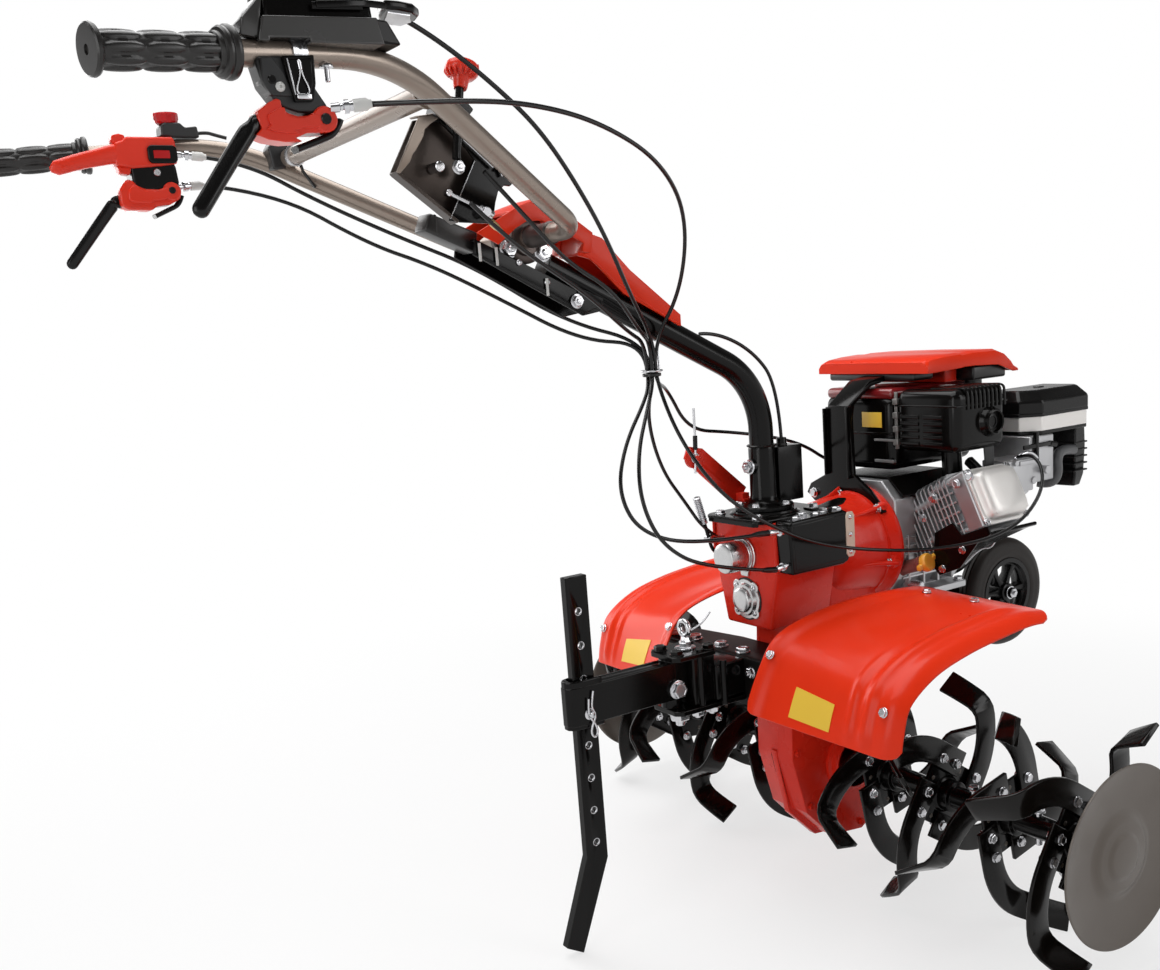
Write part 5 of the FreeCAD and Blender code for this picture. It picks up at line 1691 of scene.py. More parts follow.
    def exhaust(self) -> None:
        """Rounded exhaust box with louvres, wrapped ribs, rimmed outlet and its bracket."""
        body = block("muffler_body", (121, 239), (-178.5, -53), (675.5, 773.5), 15, 5)
        shell = [body, block("seam", (119.9, 240), (-179.6, -52), (747, 750), 1.2)]
        for number in range(10):
            x = 146 + 9.6 * number
            path = smooth_path(
                [(x, -108, 774), (x, -150, 774), (x, -178, 775), (x, -179.6, 760), (x, -179.6, 742)], 5)
            sizes = [(2.6, 1.6)] * len(path)
            shell.append(swept("wrap", path, (1, 0, 0), sizes, 2.5, 8))
        for column in (-150, -102):
            for number in range(5):
                z = 689 + 10.5 * number
                shell.append(swept("louvre", [(120.8, column, z), (120.8, column + 38, z)], (0, 0, 1),
                                   [(3.2, 1.6), (3.2, 1.6)], 2.6, 12))
        rim = turned("rim", (197, -176, 719), (197, -192, 719), [(25, 0), (24, 4), (21.5, 7), (20.6, 12),
                (20, 15), (18.4, 16), (16.4, 15), (15.4, 8), (9, 7)], 48)
        shell.append(rim)
        fit(join("muffler_body", shell), BLACK_PAINT, Body.CHASSIS, "muffler")
        # Dark grey disc inside the rim: painted shade, standing in for the dark inside of the outlet pipe.
        hole = turned("outlet_painted_shade", (197, -181, 719), (197, -190, 719),
            [(12, 0), (12, 3), (9, 3.5), (9, 0.6)], 32)
        fit(hole, GREY_PLASTIC, Body.CHASSIS)
        pipe_path = [(185, -112, 680), (185, -112, 655), (185, -114, 628), (183, -110, 604)]
        port = wire("exhaust_port", pipe_path, 16, 6)
        flange = plate("port_flange",
            [(160, 600), (212, 600), (216, 607), (212, 612), (160, 612), (156, 607)], Plane.SIDE, -98, -132,
            2)
        fit(join("exhaust_port", [port, flange]), BLACK_PAINT, Body.CHASSIS)
        leg = swept("exhaust_leg", [(206, -168, 690), (206, -170, 655), (204, -166, 622), (200, -164, 600)],
                    (1, 0, 0), [(12, 1.8), (11, 1.8), (10, 1.8), (8, 1.8)], 5)
        fit(leg, GREY_PLASTIC, Body.CHASSIS)
        self.hardware.place("leg_bolt", Head.HEX, 13, [((201, -167, 606), (0, -1, 0.1))], Body.CHASSIS)
        comb = [block("strip", (122, 126), (-56, -50), (678, 770), 1)]
        comb += [block("tooth", (117, 125), (-60, -50), (684 + 22 * n, 694 + 22 * n), 1.5) for n in range(4)]
        fit(join("exhaust_strip", comb), BRACKET_GREY, Body.CHASSIS)

    def tank(self) -> None:
        """Tank with a dark red cap face, its black body and seam."""
        body = block("tank_body", (121, 319), (-45, 111), (641, 762), 16, 5)
        seam = block("tank_seam", (118, 322), (-48, 114), (700, 704), 1.6)
        fit(join("fuel_tank_body", [seam, body]), BLACK_PAINT, Body.CHASSIS, "fuel_tank")
        lid = block("tank_lid", (124, 316), (-43, 108), (757, 775), 8, 4)
        fit(lid, TANK_RED,
            Body.CHASSIS)
        cap = turned("tank_cap", (272, 20, 772), (272, 20, 795),
            [(22, 0), (26, 2), (26, 16), (24, 21), (16, 23), (8, 22)], 20, smooth=25)
        fit(cap, BLACK_PLASTIC, Body.CHASSIS)
        face = block("tank_plate", (119.4, 120.6), (-24, 20), (712, 737), 0.4)
        fit(face, YELLOW, Body.CHASSIS)
        bars = [
            block("bar", (117, 124), (-50, -8), (690, 694), 1),
            block("bar", (117, 124), (-50, -8), (655, 660), 1)]
        fit(join("tank_bars", bars), BAR_GREY,
            Body.CHASSIS)

    def filter(self) -> None:
        """Air filter: chamfered black lid, silver band, lower tray and ribbed snorkel."""
        outline = [(304, -150), (332, -174), (450, -174), (466, -158), (466, -74), (304, -74)]
        grown = [(302, -152), (331, -176.5), (451, -176.5), (468.5, -160), (468.5, -72), (302, -72)]
        small = [(314, -140), (338, -160), (442, -160), (454, -148), (454, -84), (314, -84)]
        lid = loft("air_filter_body", [
                outline_points(grown, Plane.FLOOR, 716),
                outline_points(grown, Plane.FLOOR, 737),
                outline_points(outline, Plane.FLOOR, 740),
                outline_points(small, Plane.FLOOR, 754.5)])
        lid = ease(lid, 3.0, 3)
        rim = plate("lid_rim", grown, Plane.FLOOR, 712, 718, 1.4)
        tray = plate("tray", outline, Plane.FLOOR, 682.5, 690, 2.0)
        snorkel = loft("snorkel", [[(468, -98, 686), (468, -158, 686), (440, -160, 686), (436, -98, 686)],
                       [(470, -100, 650), (470, -158, 650), (438, -160, 650), (436, -100, 650)],
                       [(471, -104, 600), (471, -154, 600), (444, -156, 600), (440, -104, 600)],
                       [(471, -112, 579), (471, -146, 579), (452, -148, 579), (448, -112, 579)]])
        snorkel = ease(snorkel, 3, 3)
        ribs = [block("rib", (436, 472), (-160.5, -100), (606 + 12 * n, 609 + 12 * n), 1) for n in range(5)]
        fit(join("air_filter_body", [rim, tray, snorkel, *ribs, lid]), BLACK_PLASTIC, Body.CHASSIS,
            "air_filter")
        band = plate("filter_band", outline, Plane.FLOOR, 688, 714, 1.6)
        fit(band, COVER_SILVER, Body.CHASSIS)
        label = plate("filter_plate", [(-152, 693), (-96, 693), (-96, 710), (-152, 710)], Plane.FRONT, 465.6,
            467.2, 0.4)
        fit(label, WHITE_PLASTIC, Body.CHASSIS)
        screw = rod("filter_screw", (392, -122, 752), (392, -122, 756), 9, edge=1.2)
        fit(screw, BLACK_PLASTIC, Body.CHASSIS)

    def fuel_parts(self) -> None:
        """Carburettor with its levers, pipes and small linkages."""
        core = recast("carburettor", 4, 3)
        bits = [
            rod("bowl", (318, -136, 606), (318, -136, 584), 17, edge=3),
            rod("throat", (292, -150, 630), (366, -150, 630), 16),
            rod("stud", (252, -176, 646), (252, -188, 646), 5),
            rod("stud", (300, -170, 612), (300, -184, 612), 6),
            block("arm", (262, 304), (-186, -182), (640, 647), 1.2),
            rod("bolt", (330, -176, 626), (330, -188, 626), 7)]
        fit(join("carburettor_body", [*bits, core]), CAST, Body.CHASSIS, "carburettor")
        hose = wire("breather_hose", [(352, -150, 600), (362, -168, 596), (376, -172, 612), (372, -172, 640),
                (392, -168, 652), (428, -164, 646)], 8.5, 6)
        fit(hose, HOSE_GREY, Body.CHASSIS)
        levers = [
            block("lever", (306, 312), (-184, -176), (642, 690), 1.2),
            block("lever", (276, 344), (-183, -179), (664, 671), 1.2),
            rod("knob", (344, -179, 667), (360, -179, 664), 5)]
        fit(join("choke_levers", levers), BLACK_PLASTIC, Body.CHASSIS)
        springs = wire("throttle_spring",
            [(258, -178, 652), (276, -184, 662), (300, -184, 656), (318, -180, 640)], 2.4)
        fit(springs, ZINC, Body.CHASSIS)
        tap = [
            rod("tap", (286, -60, 640), (286, -84, 622), 9, edge=2),
            rod("tap_stem", (290, -84, 622), (310, -120, 610), 4)]
        fit(join("fuel_tap", tap), BLACK_PLASTIC, Body.CHASSIS)

    def guard(self) -> None:
        """Moulded guard over the engine: crowned shell with a skirt and a dropped front."""
        stations = ((148, 797, 816), (152, 797, 818), (160, 797, 821), (190, 798, 824), (230, 800, 825.5),
            (236, 801, 823.6), (262, 801, 825.8), (320, 798, 825), (345, 790, 818), (362, 784, 805),
            (375, 784, 790))
        sections = []
        for x, skirt, crown in stations:
            inset_by = 4 if x > 340 else 0
            low, high = -99 + inset_by, 149 - inset_by
            outer = [(low, skirt), (low, skirt + 0.45 * (crown - skirt)), (low + 5, crown - 4),
                (low + 14, crown - 0.8), (25, crown), (high - 14, crown - 0.8), (high - 5, crown - 4),
                (high, skirt + 0.45 * (crown - skirt)), (high, skirt)]
            inner = [(high - 3, skirt), (high - 3, skirt + 0.4 * (crown - skirt)), (high - 8, crown - 6.5),
                (high - 16, crown - 3.6), (25, crown - 3), (low + 16, crown - 3.6), (low + 8, crown - 6.5),
                (low + 3, skirt + 0.4 * (crown - skirt)), (low + 3, skirt)]
            sections.append([(x, y, z) for y, z in outer + inner])
        shell = loft("engine_guard_body", sections, 50)
        ends = [
            plate("rear_wall", [(-98, 797), (-98, 808), (-88, 815), (138, 815), (148, 808), (148, 797)],
                Plane.FRONT, 148.2, 151, 0.8),
            plate("front_wall", [(-94, 784.2), (-94, 788), (-86, 792), (136, 792), (144, 788), (144, 784.2)],
                Plane.FRONT, 372, 375.5, 0.8)]
        fit(join("engine_guard_body", [*ends, ease(shell, 0.8, 2, 50)]), RED_PLASTIC, Body.CHASSIS,
            "engine_guard")
        pads = [
            block("pad", (152, 200), (-66, 128), (785, 799), 5, 4),
            block("pad", (270, 352), (-88, -40), (776, 800), 4, 3),
            block("pad", (270, 340), (60, 128), (778, 800), 4, 3),
            rod("stem", (300, -62, 755), (300, -62, 790), 14, edge=2)]
        fit(join("guard_pads", pads), RUBBER, Body.CHASSIS)
        tongue = block("guard_tongue", (232, 262), (-60, 100), (776, 800), 3)
        fit(tongue, RED_PAINT, Body.CHASSIS)

    def post(self) -> None:
        """Black post of the guard: curved foot on the bell's flange, folded upright, sloped arm."""
        foot = recast("guard_post", 1.6, 3, name="guard_post_body")
        folds = [
            block("fold", (58, 70), (-6, -2.5), (634, 752), 1.2),
            block("fold", (58, 70), (46.5, 50), (638, 748), 1.2)]
        fit(join("guard_post_body", [*folds, foot]), BLACK_PAINT, Body.CHASSIS, "guard_post")
        self.hardware.place("post_bolts", Head.HEX, 13,
            [((66, -61, 588), (-1, 0, 0)), ((66, 84, 604), (-1, 0, 0))], Body.CHASSIS)
        stay = wire("guard_stay", [(78, 4, 726), (110, 30, 770), (160, 60, 792)], 3)
        fit(stay, BLACK_PAINT, Body.CHASSIS)


# ---------------------------------------------------------------------------
# Handlebar and its controls
# ---------------------------------------------------------------------------
@dataclass
class Handlebar:
    """Bronze tubes, rubber grips, levers, throttle box, kill switch and selector."""

    hardware: Hardware
    grip_inner: Point = (-978.0, 307.5, 1178.0)
    grip_outer: Point = (-1104.0, 330.5, 1169.0)
    grip_radius: float = 16.6
    bumps_along: int = 3
    bumps_around: int = 8
    bump_height: float = 2.6
    bump_length: float = 0.97
    bump_width: float = 0.80

    def build(self) -> None:
        """Build every piece of the handlebar."""
        corners = [(-522, -100, 1032), (-522, -141, 1032), (-809, -277, 1189), (-1104, -330.5, 1169)]
        tube = pipe("handle_tubes_body", corners, 12, [30, 70], (0, 0, 1))
        fit(join("handle_tubes_body", [other_side("left_tube", tube), tube]), BRONZE, Body.HANDLEBAR,
            "handle_tubes")
        fit(rod("cross_tube_body", (-758, -246, 1162), (-738, 246, 1165), 12, sides=44), BRONZE,
            Body.HANDLEBAR, "cross_tube")
        fit(rod("tilt_shaft_body", (-522, -100, 1032), (-522, 100, 1032), 12, sides=44), BRONZE,
            Body.HANDLEBAR, "tilt_shaft")
        self.grips()
        self.cross_ends()
        self.right_lever()
        self.throttle()
        self.left_levers()
        self.kill_switch()
        self.selector()

    def grip(self) -> Piece:
        """Left rubber grip: long oval bumps in rows, flanges at both ends.

        Returns:
            The grip, in place.
        """
        inner, outer = Vector(self.grip_inner), Vector(self.grip_outer)
        direction = (outer - inner).normalized()
        length = (outer - inner).length
        first, second = basis(direction)
        rows, sides = 96, 80
        sections = []
        for row in range(rows + 1):
            share = row / rows
            along = 12 + (length - 16) * share
            section = []
            for side in range(sides):
                turn = math.tau * side / sides
                slot_place = turn / math.tau * self.bumps_around
                across = abs(slot_place - round(slot_place)) * 2
                lengthwise = share * self.bumps_along % 1.0
                run = abs(lengthwise - 0.5) * 2
                oval = (run / self.bump_length) ** 2 + (across / self.bump_width) ** 2
                height = self.bump_height * max(0.0, 1 - oval) ** 0.42 if 0.015 < share < 0.985 else 0.0
                radius = self.grip_radius - 2.0 + height
                point = inner + direction * along + first * (radius * math.cos(turn)) + second * (
                    radius * math.sin(turn))
                section.append(tuple(point))
            sections.append(section)
        body = loft("grip_left", sections, 50)
        flange = turned("flange", tuple(inner), tuple(outer),
            [(13, 0), (20, 0.2), (23.2, 1.6), (24, 4), (23.8, 6.6), (22.4, 8.4), (21.6, 9), (22.4, 9.8),
                (22.6, 12), (21, 14.4), (18.2, 15.4), (17.8, 19), (16.8, 20), (12, 20)], 56)
        end = turned("end", tuple(outer - direction * 5), tuple(outer + direction), [(15, 0), (17.5, 1),
                (21, 3), (22, 5), (21.6, 7.4), (20, 8.8), (16, 9), (4.4, 9), (4, 7.2), (1, 7)], 56)
        return join("grip_left", [flange, end, body])

    def grips(self) -> None:
        """Both grips."""
        left = self.grip()
        right = other_side("grip_right", left)
        fit(left, RUBBER, Body.HANDLEBAR, "grips")
        fit(right, RUBBER, Body.HANDLEBAR, "grips")

    def cross_ends(self) -> None:
        """Clamp and ring at the left end of the cross tube, screws, strap and cable ties."""
        block_part = plate("cross_clamp",
            [(-762, 1150), (-766, 1178), (-756, 1192), (-740, 1190), (-736, 1176), (-744, 1152)], Plane.SIDE,
            226, 252, 3, 3)
        fit(block_part, GREY_PLASTIC, Body.HANDLEBAR)
        hoop = [
            turned("hoop", (-740, 196, 1165), (-739, 220, 1165),
                [(12.2, 0), (14.4, 0.6), (14.4, 3.4), (12.2, 4)], 32),
            turned("hoop", (-739, 206, 1165), (-738.6, 230, 1165),
                [(12.2, 0), (13.4, 0.4), (13.4, 1.8), (12.2, 2.2)], 32)]
        fit(join("cross_hoops", hoop), ZINC, Body.HANDLEBAR)
        strap = swept("cable_strap",
            [(-728, 214, 1154), (-726, 214, 1146), (-718, 213, 1134), (-712, 212, 1124)], (0, 1, 0),
            [(4, 1.2), (4, 1.2), (4, 1.2), (4, 1.2)], 4, 12)
        fit(strap, BLACK_PLASTIC, Body.HANDLEBAR)
        welds = [
            turned("weld", (-757.4, -234, 1162), (-757, -245, 1162),
                [(12.2, 0), (13.6, 2), (14.6, 5), (14.4, 8)], 32),
            turned("weld", (-739.2, 234, 1165), (-738.8, 245, 1165),
                [(12.2, 0), (13.6, 2), (14.6, 5), (14.4, 8)], 32)]
        fit(join("cross_welds", welds), BRONZE, Body.HANDLEBAR)
        stem = rod("tube_screw_stem", (-887, -298, 1172), (-887, -298, 1158), 2.6)
        fit(stem, ZINC, Body.HANDLEBAR)
        self.hardware.place("tube_screw", Head.BUTTON, 14, [((-887, -298, 1171), (0, 0, 1))], Body.HANDLEBAR)

    def lever_body(self, name: str, outline: Sequence[tuple[float, float]], low: float, high: float,
                   eye: tuple[float, float]) -> list[Piece]:
        """Moulded lever body with a raised rim, a round eye and a softened outline.

        Args:
            name: the piece's name.
            outline: its side view, in x and z.
            low: its lowest y.
            high: its highest y.
            eye: centre of the eye, in x and z.

        Returns:
            The crown, the eye and the body, to be joined.
        """
        wide = plate(name, outline, Plane.SIDE, low, high, 3.2, 3)
        centre = (sum(x for x, _ in outline) / len(outline), sum(z for _, z in outline) / len(outline))
        small = [(centre[0] + (x - centre[0]) * 0.72, centre[1] + (z - centre[1]) * 0.60) for x, z in outline]
        crown = plate(name + "_crown", small, Plane.SIDE, low - 2.0, high + 2.0, 2.0, 3)
        ring_part = turned(name + "_eye", (eye[0], low - 1.5, eye[1]), (eye[0], high + 1.5, eye[1]),
                           [(10.5, 0), (11.8, 1.5), (11.8, high - low + 1.5), (10.5, high - low + 3)], 32)
        return [crown, ring_part, wide]

    def blade(self, name: str, points: Sequence[Point], width: float, thick: float) -> Piece:
        """Long lever blade with an oval section that thins to a rounded tip.

        Args:
            name: the piece's name.
            points: control points of its line.
            width: half its width.
            thick: half its thickness.

        Returns:
            The blade.
        """
        path = smooth_path(points, 8)
        before, tip = Vector(path[-2]), Vector(path[-1])
        reach = min(1.0, 7.0 / (tip - before).length)
        path = path[:-1] + [tuple(tip + (before - tip) * reach * (1 - t)) for t in (0.0, 0.4, 0.7, 0.9, 1.0)]
        tapers = [1.0] * (len(path) - 4) + [0.92, 0.74, 0.5, 0.16]
        sizes = []
        for index, taper in enumerate(tapers):
            share = index / (len(path) - 1)
            sizes.append((width * (1.12 - 0.26 * share) * taper, thick * (1.10 - 0.25 * share) * taper))
        return swept(name, path, (1, 0, 0.75), sizes, 2.6, 22)

    def right_lever(self) -> None:
        """Cast bracket, band with latch, red lever body, black blade, hook and adjuster."""
        face = [(-962, 1171), (-958, 1175), (-907, 1177), (-909, 1166), (-910, 1153), (-897, 1133),
            (-899, 1126), (-927, 1127), (-944, 1132), (-957, 1150)]
        bracket = plate("right_bracket", face, Plane.SIDE, -317, -292, 3, 3)
        inner = plate("right_rib",
            [(-958, 1173), (-946, 1174), (-936, 1160), (-930, 1140), (-950, 1140), (-958, 1152)], Plane.SIDE,
            -319.5, -300, 1.6)
        fit(join("right_bracket", [inner, bracket]), GREY_PLASTIC, Body.HANDLEBAR, "right_lever")
        recess = plate("right_latch",
            [(-936, 1172), (-910, 1174), (-911, 1152), (-915, 1140), (-927, 1139), (-932, 1160)], Plane.SIDE,
            -319, -323, 1.6)
        frame_part = plate("latch_frame",
            [(-938, 1175), (-907, 1177), (-908, 1152), (-912, 1136), (-930, 1135), (-935, 1160)], Plane.SIDE,
            -316, -321.4, 1.4)
        fit(join("right_latch", [recess, frame_part]), BLACK_PAINT, Body.HANDLEBAR)
        hook = wire("latch_wire",
            [(-924, -325, 1166), (-923, -325, 1160), (-929, -325, 1146), (-927, -325, 1141),
                (-918, -325, 1141), (-916, -325, 1146), (-923, -325, 1160), (-922, -325, 1169)], 0.7)
        edge = plate("latch_edge", [(-935, 1172), (-933.6, 1172.4), (-929, 1141), (-930.4, 1140.6)],
            Plane.SIDE, -323, -324, 0.3)
        foot = block("latch_foot", (-929, -915), (-326, -322), (1137, 1142), 1)
        barrel = rod("latch_screw", (-924, -325, 1171), (-923, -325, 1162), 2)
        fit(join("latch_wire", [edge, foot, barrel, hook]), ZINC, Body.HANDLEBAR)
        self.hardware.place("bracket_screw", Head.BUTTON, 9, [((-942, -319, 1148), (0, -1, 0))],
            Body.HANDLEBAR, WHITE_PLASTIC)
        # Black disc on the bracket: painted shade, standing in for the shade inside a hole.
        dark = rod("bracket_hole_shade", (-949, -318, 1154), (-949, -320.6, 1154), 4)
        fit(dark, BLACK_PAINT, Body.HANDLEBAR)
        band = turned("right_band", (-925, -298.4, 1181.8), (-909, -295.5, 1182.9), [(12.4, 0), (13.6, 0.6),
                (13.6, 5.4), (12.7, 6), (12.7, 10), (13.6, 10.6), (13.6, 15.4), (12.4, 16)], 40)
        fit(band, ZINC, Body.HANDLEBAR)
        outline = [(-966, 1121), (-965, 1127), (-955, 1134), (-947, 1138), (-943, 1137), (-942, 1129),
            (-937, 1125.5), (-928, 1123), (-918, 1124), (-908, 1129), (-898, 1129), (-893, 1122),
            (-896, 1112), (-906, 1109), (-921, 1108.5), (-932, 1104), (-926, 1101), (-942, 1100),
            (-958, 1102), (-969, 1106), (-963, 1112)]
        fit(join("right_lever_body", self.lever_body("right_lever_body", outline, -319, -293, (-902, 1121))),
            LEVER_PLASTIC, Body.HANDLEBAR)
        eye = rod("right_lever_pin", (-902, -322.5, 1121), (-902, -320, 1121), 5)
        fit(eye, BLACK_PLASTIC, Body.HANDLEBAR)
        parts = [
            self.blade("right_blade", [(-946, -306, 1119), (-958, -307, 1118), (-968, -309, 1116),
                    (-980, -313, 1104), (-1034, -326, 1035)], 8.6, 7.0),
            swept("right_hook",
                smooth_path([(-884, -306, 1122), (-890, -306, 1110), (-904, -306, 1104), (-930, -306, 1095)],
                    5), (0, 1, 0), [(9, 3.4)] * 16, 3, 14)]
        fit(join("right_blade", parts), BLACK_PLASTIC, Body.HANDLEBAR)
        self.adjuster("right_adjuster", (-896, -318, 1131), (-858, -327, 1134.5))

    def adjuster(self, name: str, start: Point, end: Point) -> None:
        """Bright threaded barrel with a nut, a white collar and a black ferrule.

        Args:
            name: name of the barrel, which the collar's starts with.
            start: its end at the lever.
            end: its end at the cable.
        """
        span = (Vector(end) - Vector(start)).length
        metal = turned(name, start, end,
            [(4.4, 0), (4.4, span * 0.22), (3.2, span * 0.24), (3.2, span * 0.30), (6.4, span * 0.32),
                (6.4, span * 0.44), (4.6, span * 0.46), (4.6, span * 0.55)], 18)
        white = turned(name + "_collar", tuple(Vector(start).lerp(Vector(end), 0.55)), end,
            [(5.4, 0), (5.9, 0.6), (5.9, span * 0.33), (4.0, span * 0.40), (4.0, span * 0.45)], 18)
        fit(metal, ZINC, Body.HANDLEBAR)
        fit(white, WHITE_PLASTIC, Body.HANDLEBAR)

    def throttle(self) -> None:
        """Tapered throttle box on its notched skirt, with the thumb lever."""
        skirt = loft("throttle_skirt", [outline_points([(-957, 1187), (-951, 1209), (-840, 1214),
                        (-834, 1190), (-908, 1188), (-908, 1192), (-946, 1190), (-946, 1187)], Plane.SIDE,
                    depth) for depth in (-320, -264)])
        skirt = ease(skirt, 2.0, 3)
        horn = loft("throttle_horn",
            [[(-972, -316, 1192), (-972, -268, 1192), (-955, -268, 1190), (-955, -316, 1190)],
                [(-970, -318, 1206), (-970, -266, 1206), (-952, -266, 1208), (-952, -318, 1208)],
                [(-950, -312, 1228), (-950, -272, 1228), (-946, -272, 1228), (-946, -312, 1228)]])
        horn = ease(horn, 2.0, 2)
        front = loft("throttle_front",
            [[(-842, -316, 1192), (-842, -268, 1192), (-814, -270, 1192), (-814, -314, 1192)],
                [(-842, -314, 1215), (-842, -270, 1215), (-826, -272, 1214), (-826, -312, 1214)]])
        front = ease(front, 2.4, 3)
        fit(join("throttle_skirt", [horn, skirt]), BOX_SKIRT, Body.HANDLEBAR, "throttle_box")
        lid = loft("throttle_lid", [
                outline_points([(-949, -315), (-840, -313), (-840, -270), (-949, -268)], Plane.FLOOR, 1207),
                outline_points([(-946, -312), (-842, -310), (-842, -272), (-946, -271)], Plane.FLOOR, 1240),
                outline_points([(-936, -304), (-852, -302), (-852, -280), (-936, -279)], Plane.FLOOR,
                    1251.5)])
        lid = ease(lid, 3.4, 3)
        groove = swept("throttle_slot", [(-902, -316.4, 1221), (-852, -314.6, 1224)], (0, 0, 1),
            [(3.4, 1.2), (3.4, 1.2)], 3, 14)
        fit(join("throttle_box_body", [front, groove, lid]), BLACK_PAINT, Body.HANDLEBAR)
        arm = swept("throttle_arm",
            smooth_path([(-898, -317, 1222), (-866, -318, 1225), (-840, -312, 1228), (-818, -300, 1230)], 5),
            (0, 0, 1), [(3.2, 1.3)] * 16, 4, 12)
        pad = loft("throttle_pad",
            [[(x, y, z) for x, y in ((-824, -304), (-808, -304), (-790, -298), (-778, -284), (-774, -268),
                        (-776, -252), (-790, -243), (-806, -250), (-818, -274))] for z in (1226.5, 1235.5)])
        pad = ease(pad, 3, 3)
        fit(join("throttle_lever", [arm, pad]), BLACK_PAINT, Body.HANDLEBAR)
        under = loft("throttle_pad_under",
            [[(x, y, z) for x, y in ((-818, -298), (-792, -292), (-780, -268), (-784, -252), (-804, -256))]
                for z in (1224.8, 1227)])
        fit(under, ZINC, Body.HANDLEBAR)

    def left_levers(self) -> None:
        """Two levers on one clamp round the left tube."""
        body = plate("left_upper_body", [(-957, 1160), (-957, 1180), (-955, 1188), (-945, 1191), (-940, 1196),
                (-880, 1196), (-878, 1190), (-878, 1162), (-900, 1159), (-936, 1156)], Plane.SIDE, 263, 290,
            3, 3)
        tab = plate("left_tab",
            [(-958, 1190), (-956, 1198), (-947, 1200), (-940, 1198), (-940, 1186), (-950, 1184)], Plane.SIDE,
            268, 286, 2)
        lower_tab = plate("left_low_tab", [(-955, 1160), (-952, 1150), (-940, 1148), (-936, 1158)],
            Plane.SIDE, 268, 286, 2)
        path = smooth_path([(-944, 272, 1176), (-960, 271, 1174), (-975, 270, 1170), (-1004, 269, 1164),
                (-1036, 268, 1154)], 7)
        sizes = []
        for index in range(len(path)):
            share = index / (len(path) - 1)
            wide = 12.6 - 3.4 * share
            taper = math.sqrt(max(0.12, 1 - max(0.0, (share - 0.95) / 0.052) ** 2))
            sizes.append((wide * taper, 8.4 * taper))
        blade = swept("left_upper_blade", path, (-0.2, 0, 1), sizes, 3.4, 22)
        fit(join("left_upper_lever", [tab, lower_tab, blade, body]), LEVER_PLASTIC, Body.HANDLEBAR,
            "left_levers")
        loop = plate("left_loop", [(-916, 1166), (-912, 1162), (-882, 1162), (-878, 1166), (-878, 1181),
                (-882, 1185), (-912, 1185), (-916, 1181)], Plane.SIDE, 258.6, 264, 2, 3)
        fit(loop, BLACK_PAINT, Body.HANDLEBAR)
        slot_part = plate("left_loop_slot", [(-909, 1168), (-888, 1168), (-888, 1178), (-909, 1178)],
            Plane.SIDE, 257.8, 262, 0.8)
        fit(slot_part, DEEP_RED, Body.HANDLEBAR)
        clamp = plate("left_clamp", [(-938, 1134), (-938, 1158), (-930, 1168), (-884, 1168), (-880, 1158),
                (-878, 1136), (-890, 1128), (-926, 1128)], Plane.SIDE, 266, 300, 3.4, 3)
        hood = turned("left_saddle", (-934, 298.8, 1181), (-882, 289.6, 1185),
            [(15, 0), (16.6, 1.6), (16.6, 50), (15, 52)], 36)
        fit(join("left_clamp", [hood, clamp]), BLACK_PAINT, Body.HANDLEBAR)
        screw = turned("left_ring_screw", (-906, 266.5, 1151), (-906, 262, 1151),
            [(4, 0), (4.6, 0.8), (4.6, 2.4), (4, 3.2), (2.2, 3.2), (2, 1.8)], 24)
        fit(screw, ZINC, Body.HANDLEBAR)
        outline = [(-957, 1110), (-957, 1128), (-951, 1137), (-945, 1143), (-938, 1141), (-933, 1135),
            (-924, 1131), (-907, 1130), (-896, 1134), (-888, 1137), (-879, 1130), (-879, 1118), (-894, 1110),
            (-912, 1108), (-918, 1103), (-948, 1104)]
        fit(join("left_lower_body", self.lever_body("left_lower_body", outline, 265, 292, (-890, 1127))),
            LEVER_PLASTIC, Body.HANDLEBAR)
        eye = rod("left_lever_pin", (-890, 261.5, 1128), (-890, 264, 1128), 4.4)
        fit(eye, BLACK_PLASTIC, Body.HANDLEBAR)
        parts = [
            self.blade("left_blade", [(-936, 279, 1118), (-950, 280, 1117), (-961, 281, 1115),
                    (-972, 282, 1103), (-1028, 286, 1034)], 8.0, 6.6),
            swept("left_hook",
                smooth_path([(-876, 278, 1122), (-880, 278, 1111), (-893, 278, 1105), (-914, 278, 1096)], 5),
                (0, 1, 0), [(9, 3.2)] * 16, 3, 14)]
        fit(join("left_blade", parts), BLACK_PLASTIC, Body.HANDLEBAR)
        self.adjuster("left_upper_adjuster", (-880, 270, 1175), (-840, 264, 1170.5))
        self.adjuster("left_lower_adjuster", (-882, 284, 1134), (-840, 293, 1138))

    def kill_switch(self) -> None:
        """Switch block on the left tube with a faceted red knob."""
        mount = plate("kill_mount", [(-892, 1198), (-891, 1212), (-886, 1216), (-866, 1216), (-860, 1210),
                (-844, 1212), (-842, 1197)], Plane.SIDE, 272, 300, 2.4, 3)
        lead = wire("kill_lead", [(-844, 286, 1204), (-830, 284, 1206), (-818, 282, 1202), (-804, 279, 1198)],
            2.4)
        fit(join("kill_mount", [lead, mount]), GREY_PLASTIC, Body.HANDLEBAR)
        knob = turned("kill_knob", (-880, 286, 1215), (-880, 286, 1230),
            [(12, 0), (14, 1), (15, 3), (16, 12), (15, 14), (9, 14.8), (8, 13.6)], 14, smooth=18)
        cap = block("kill_grip", (-896, -864), (283, 289), (1220, 1229.6), 1.6)
        fit(join("kill_knob", [cap, knob]), DEEP_RED, Body.HANDLEBAR, "kill_switch")

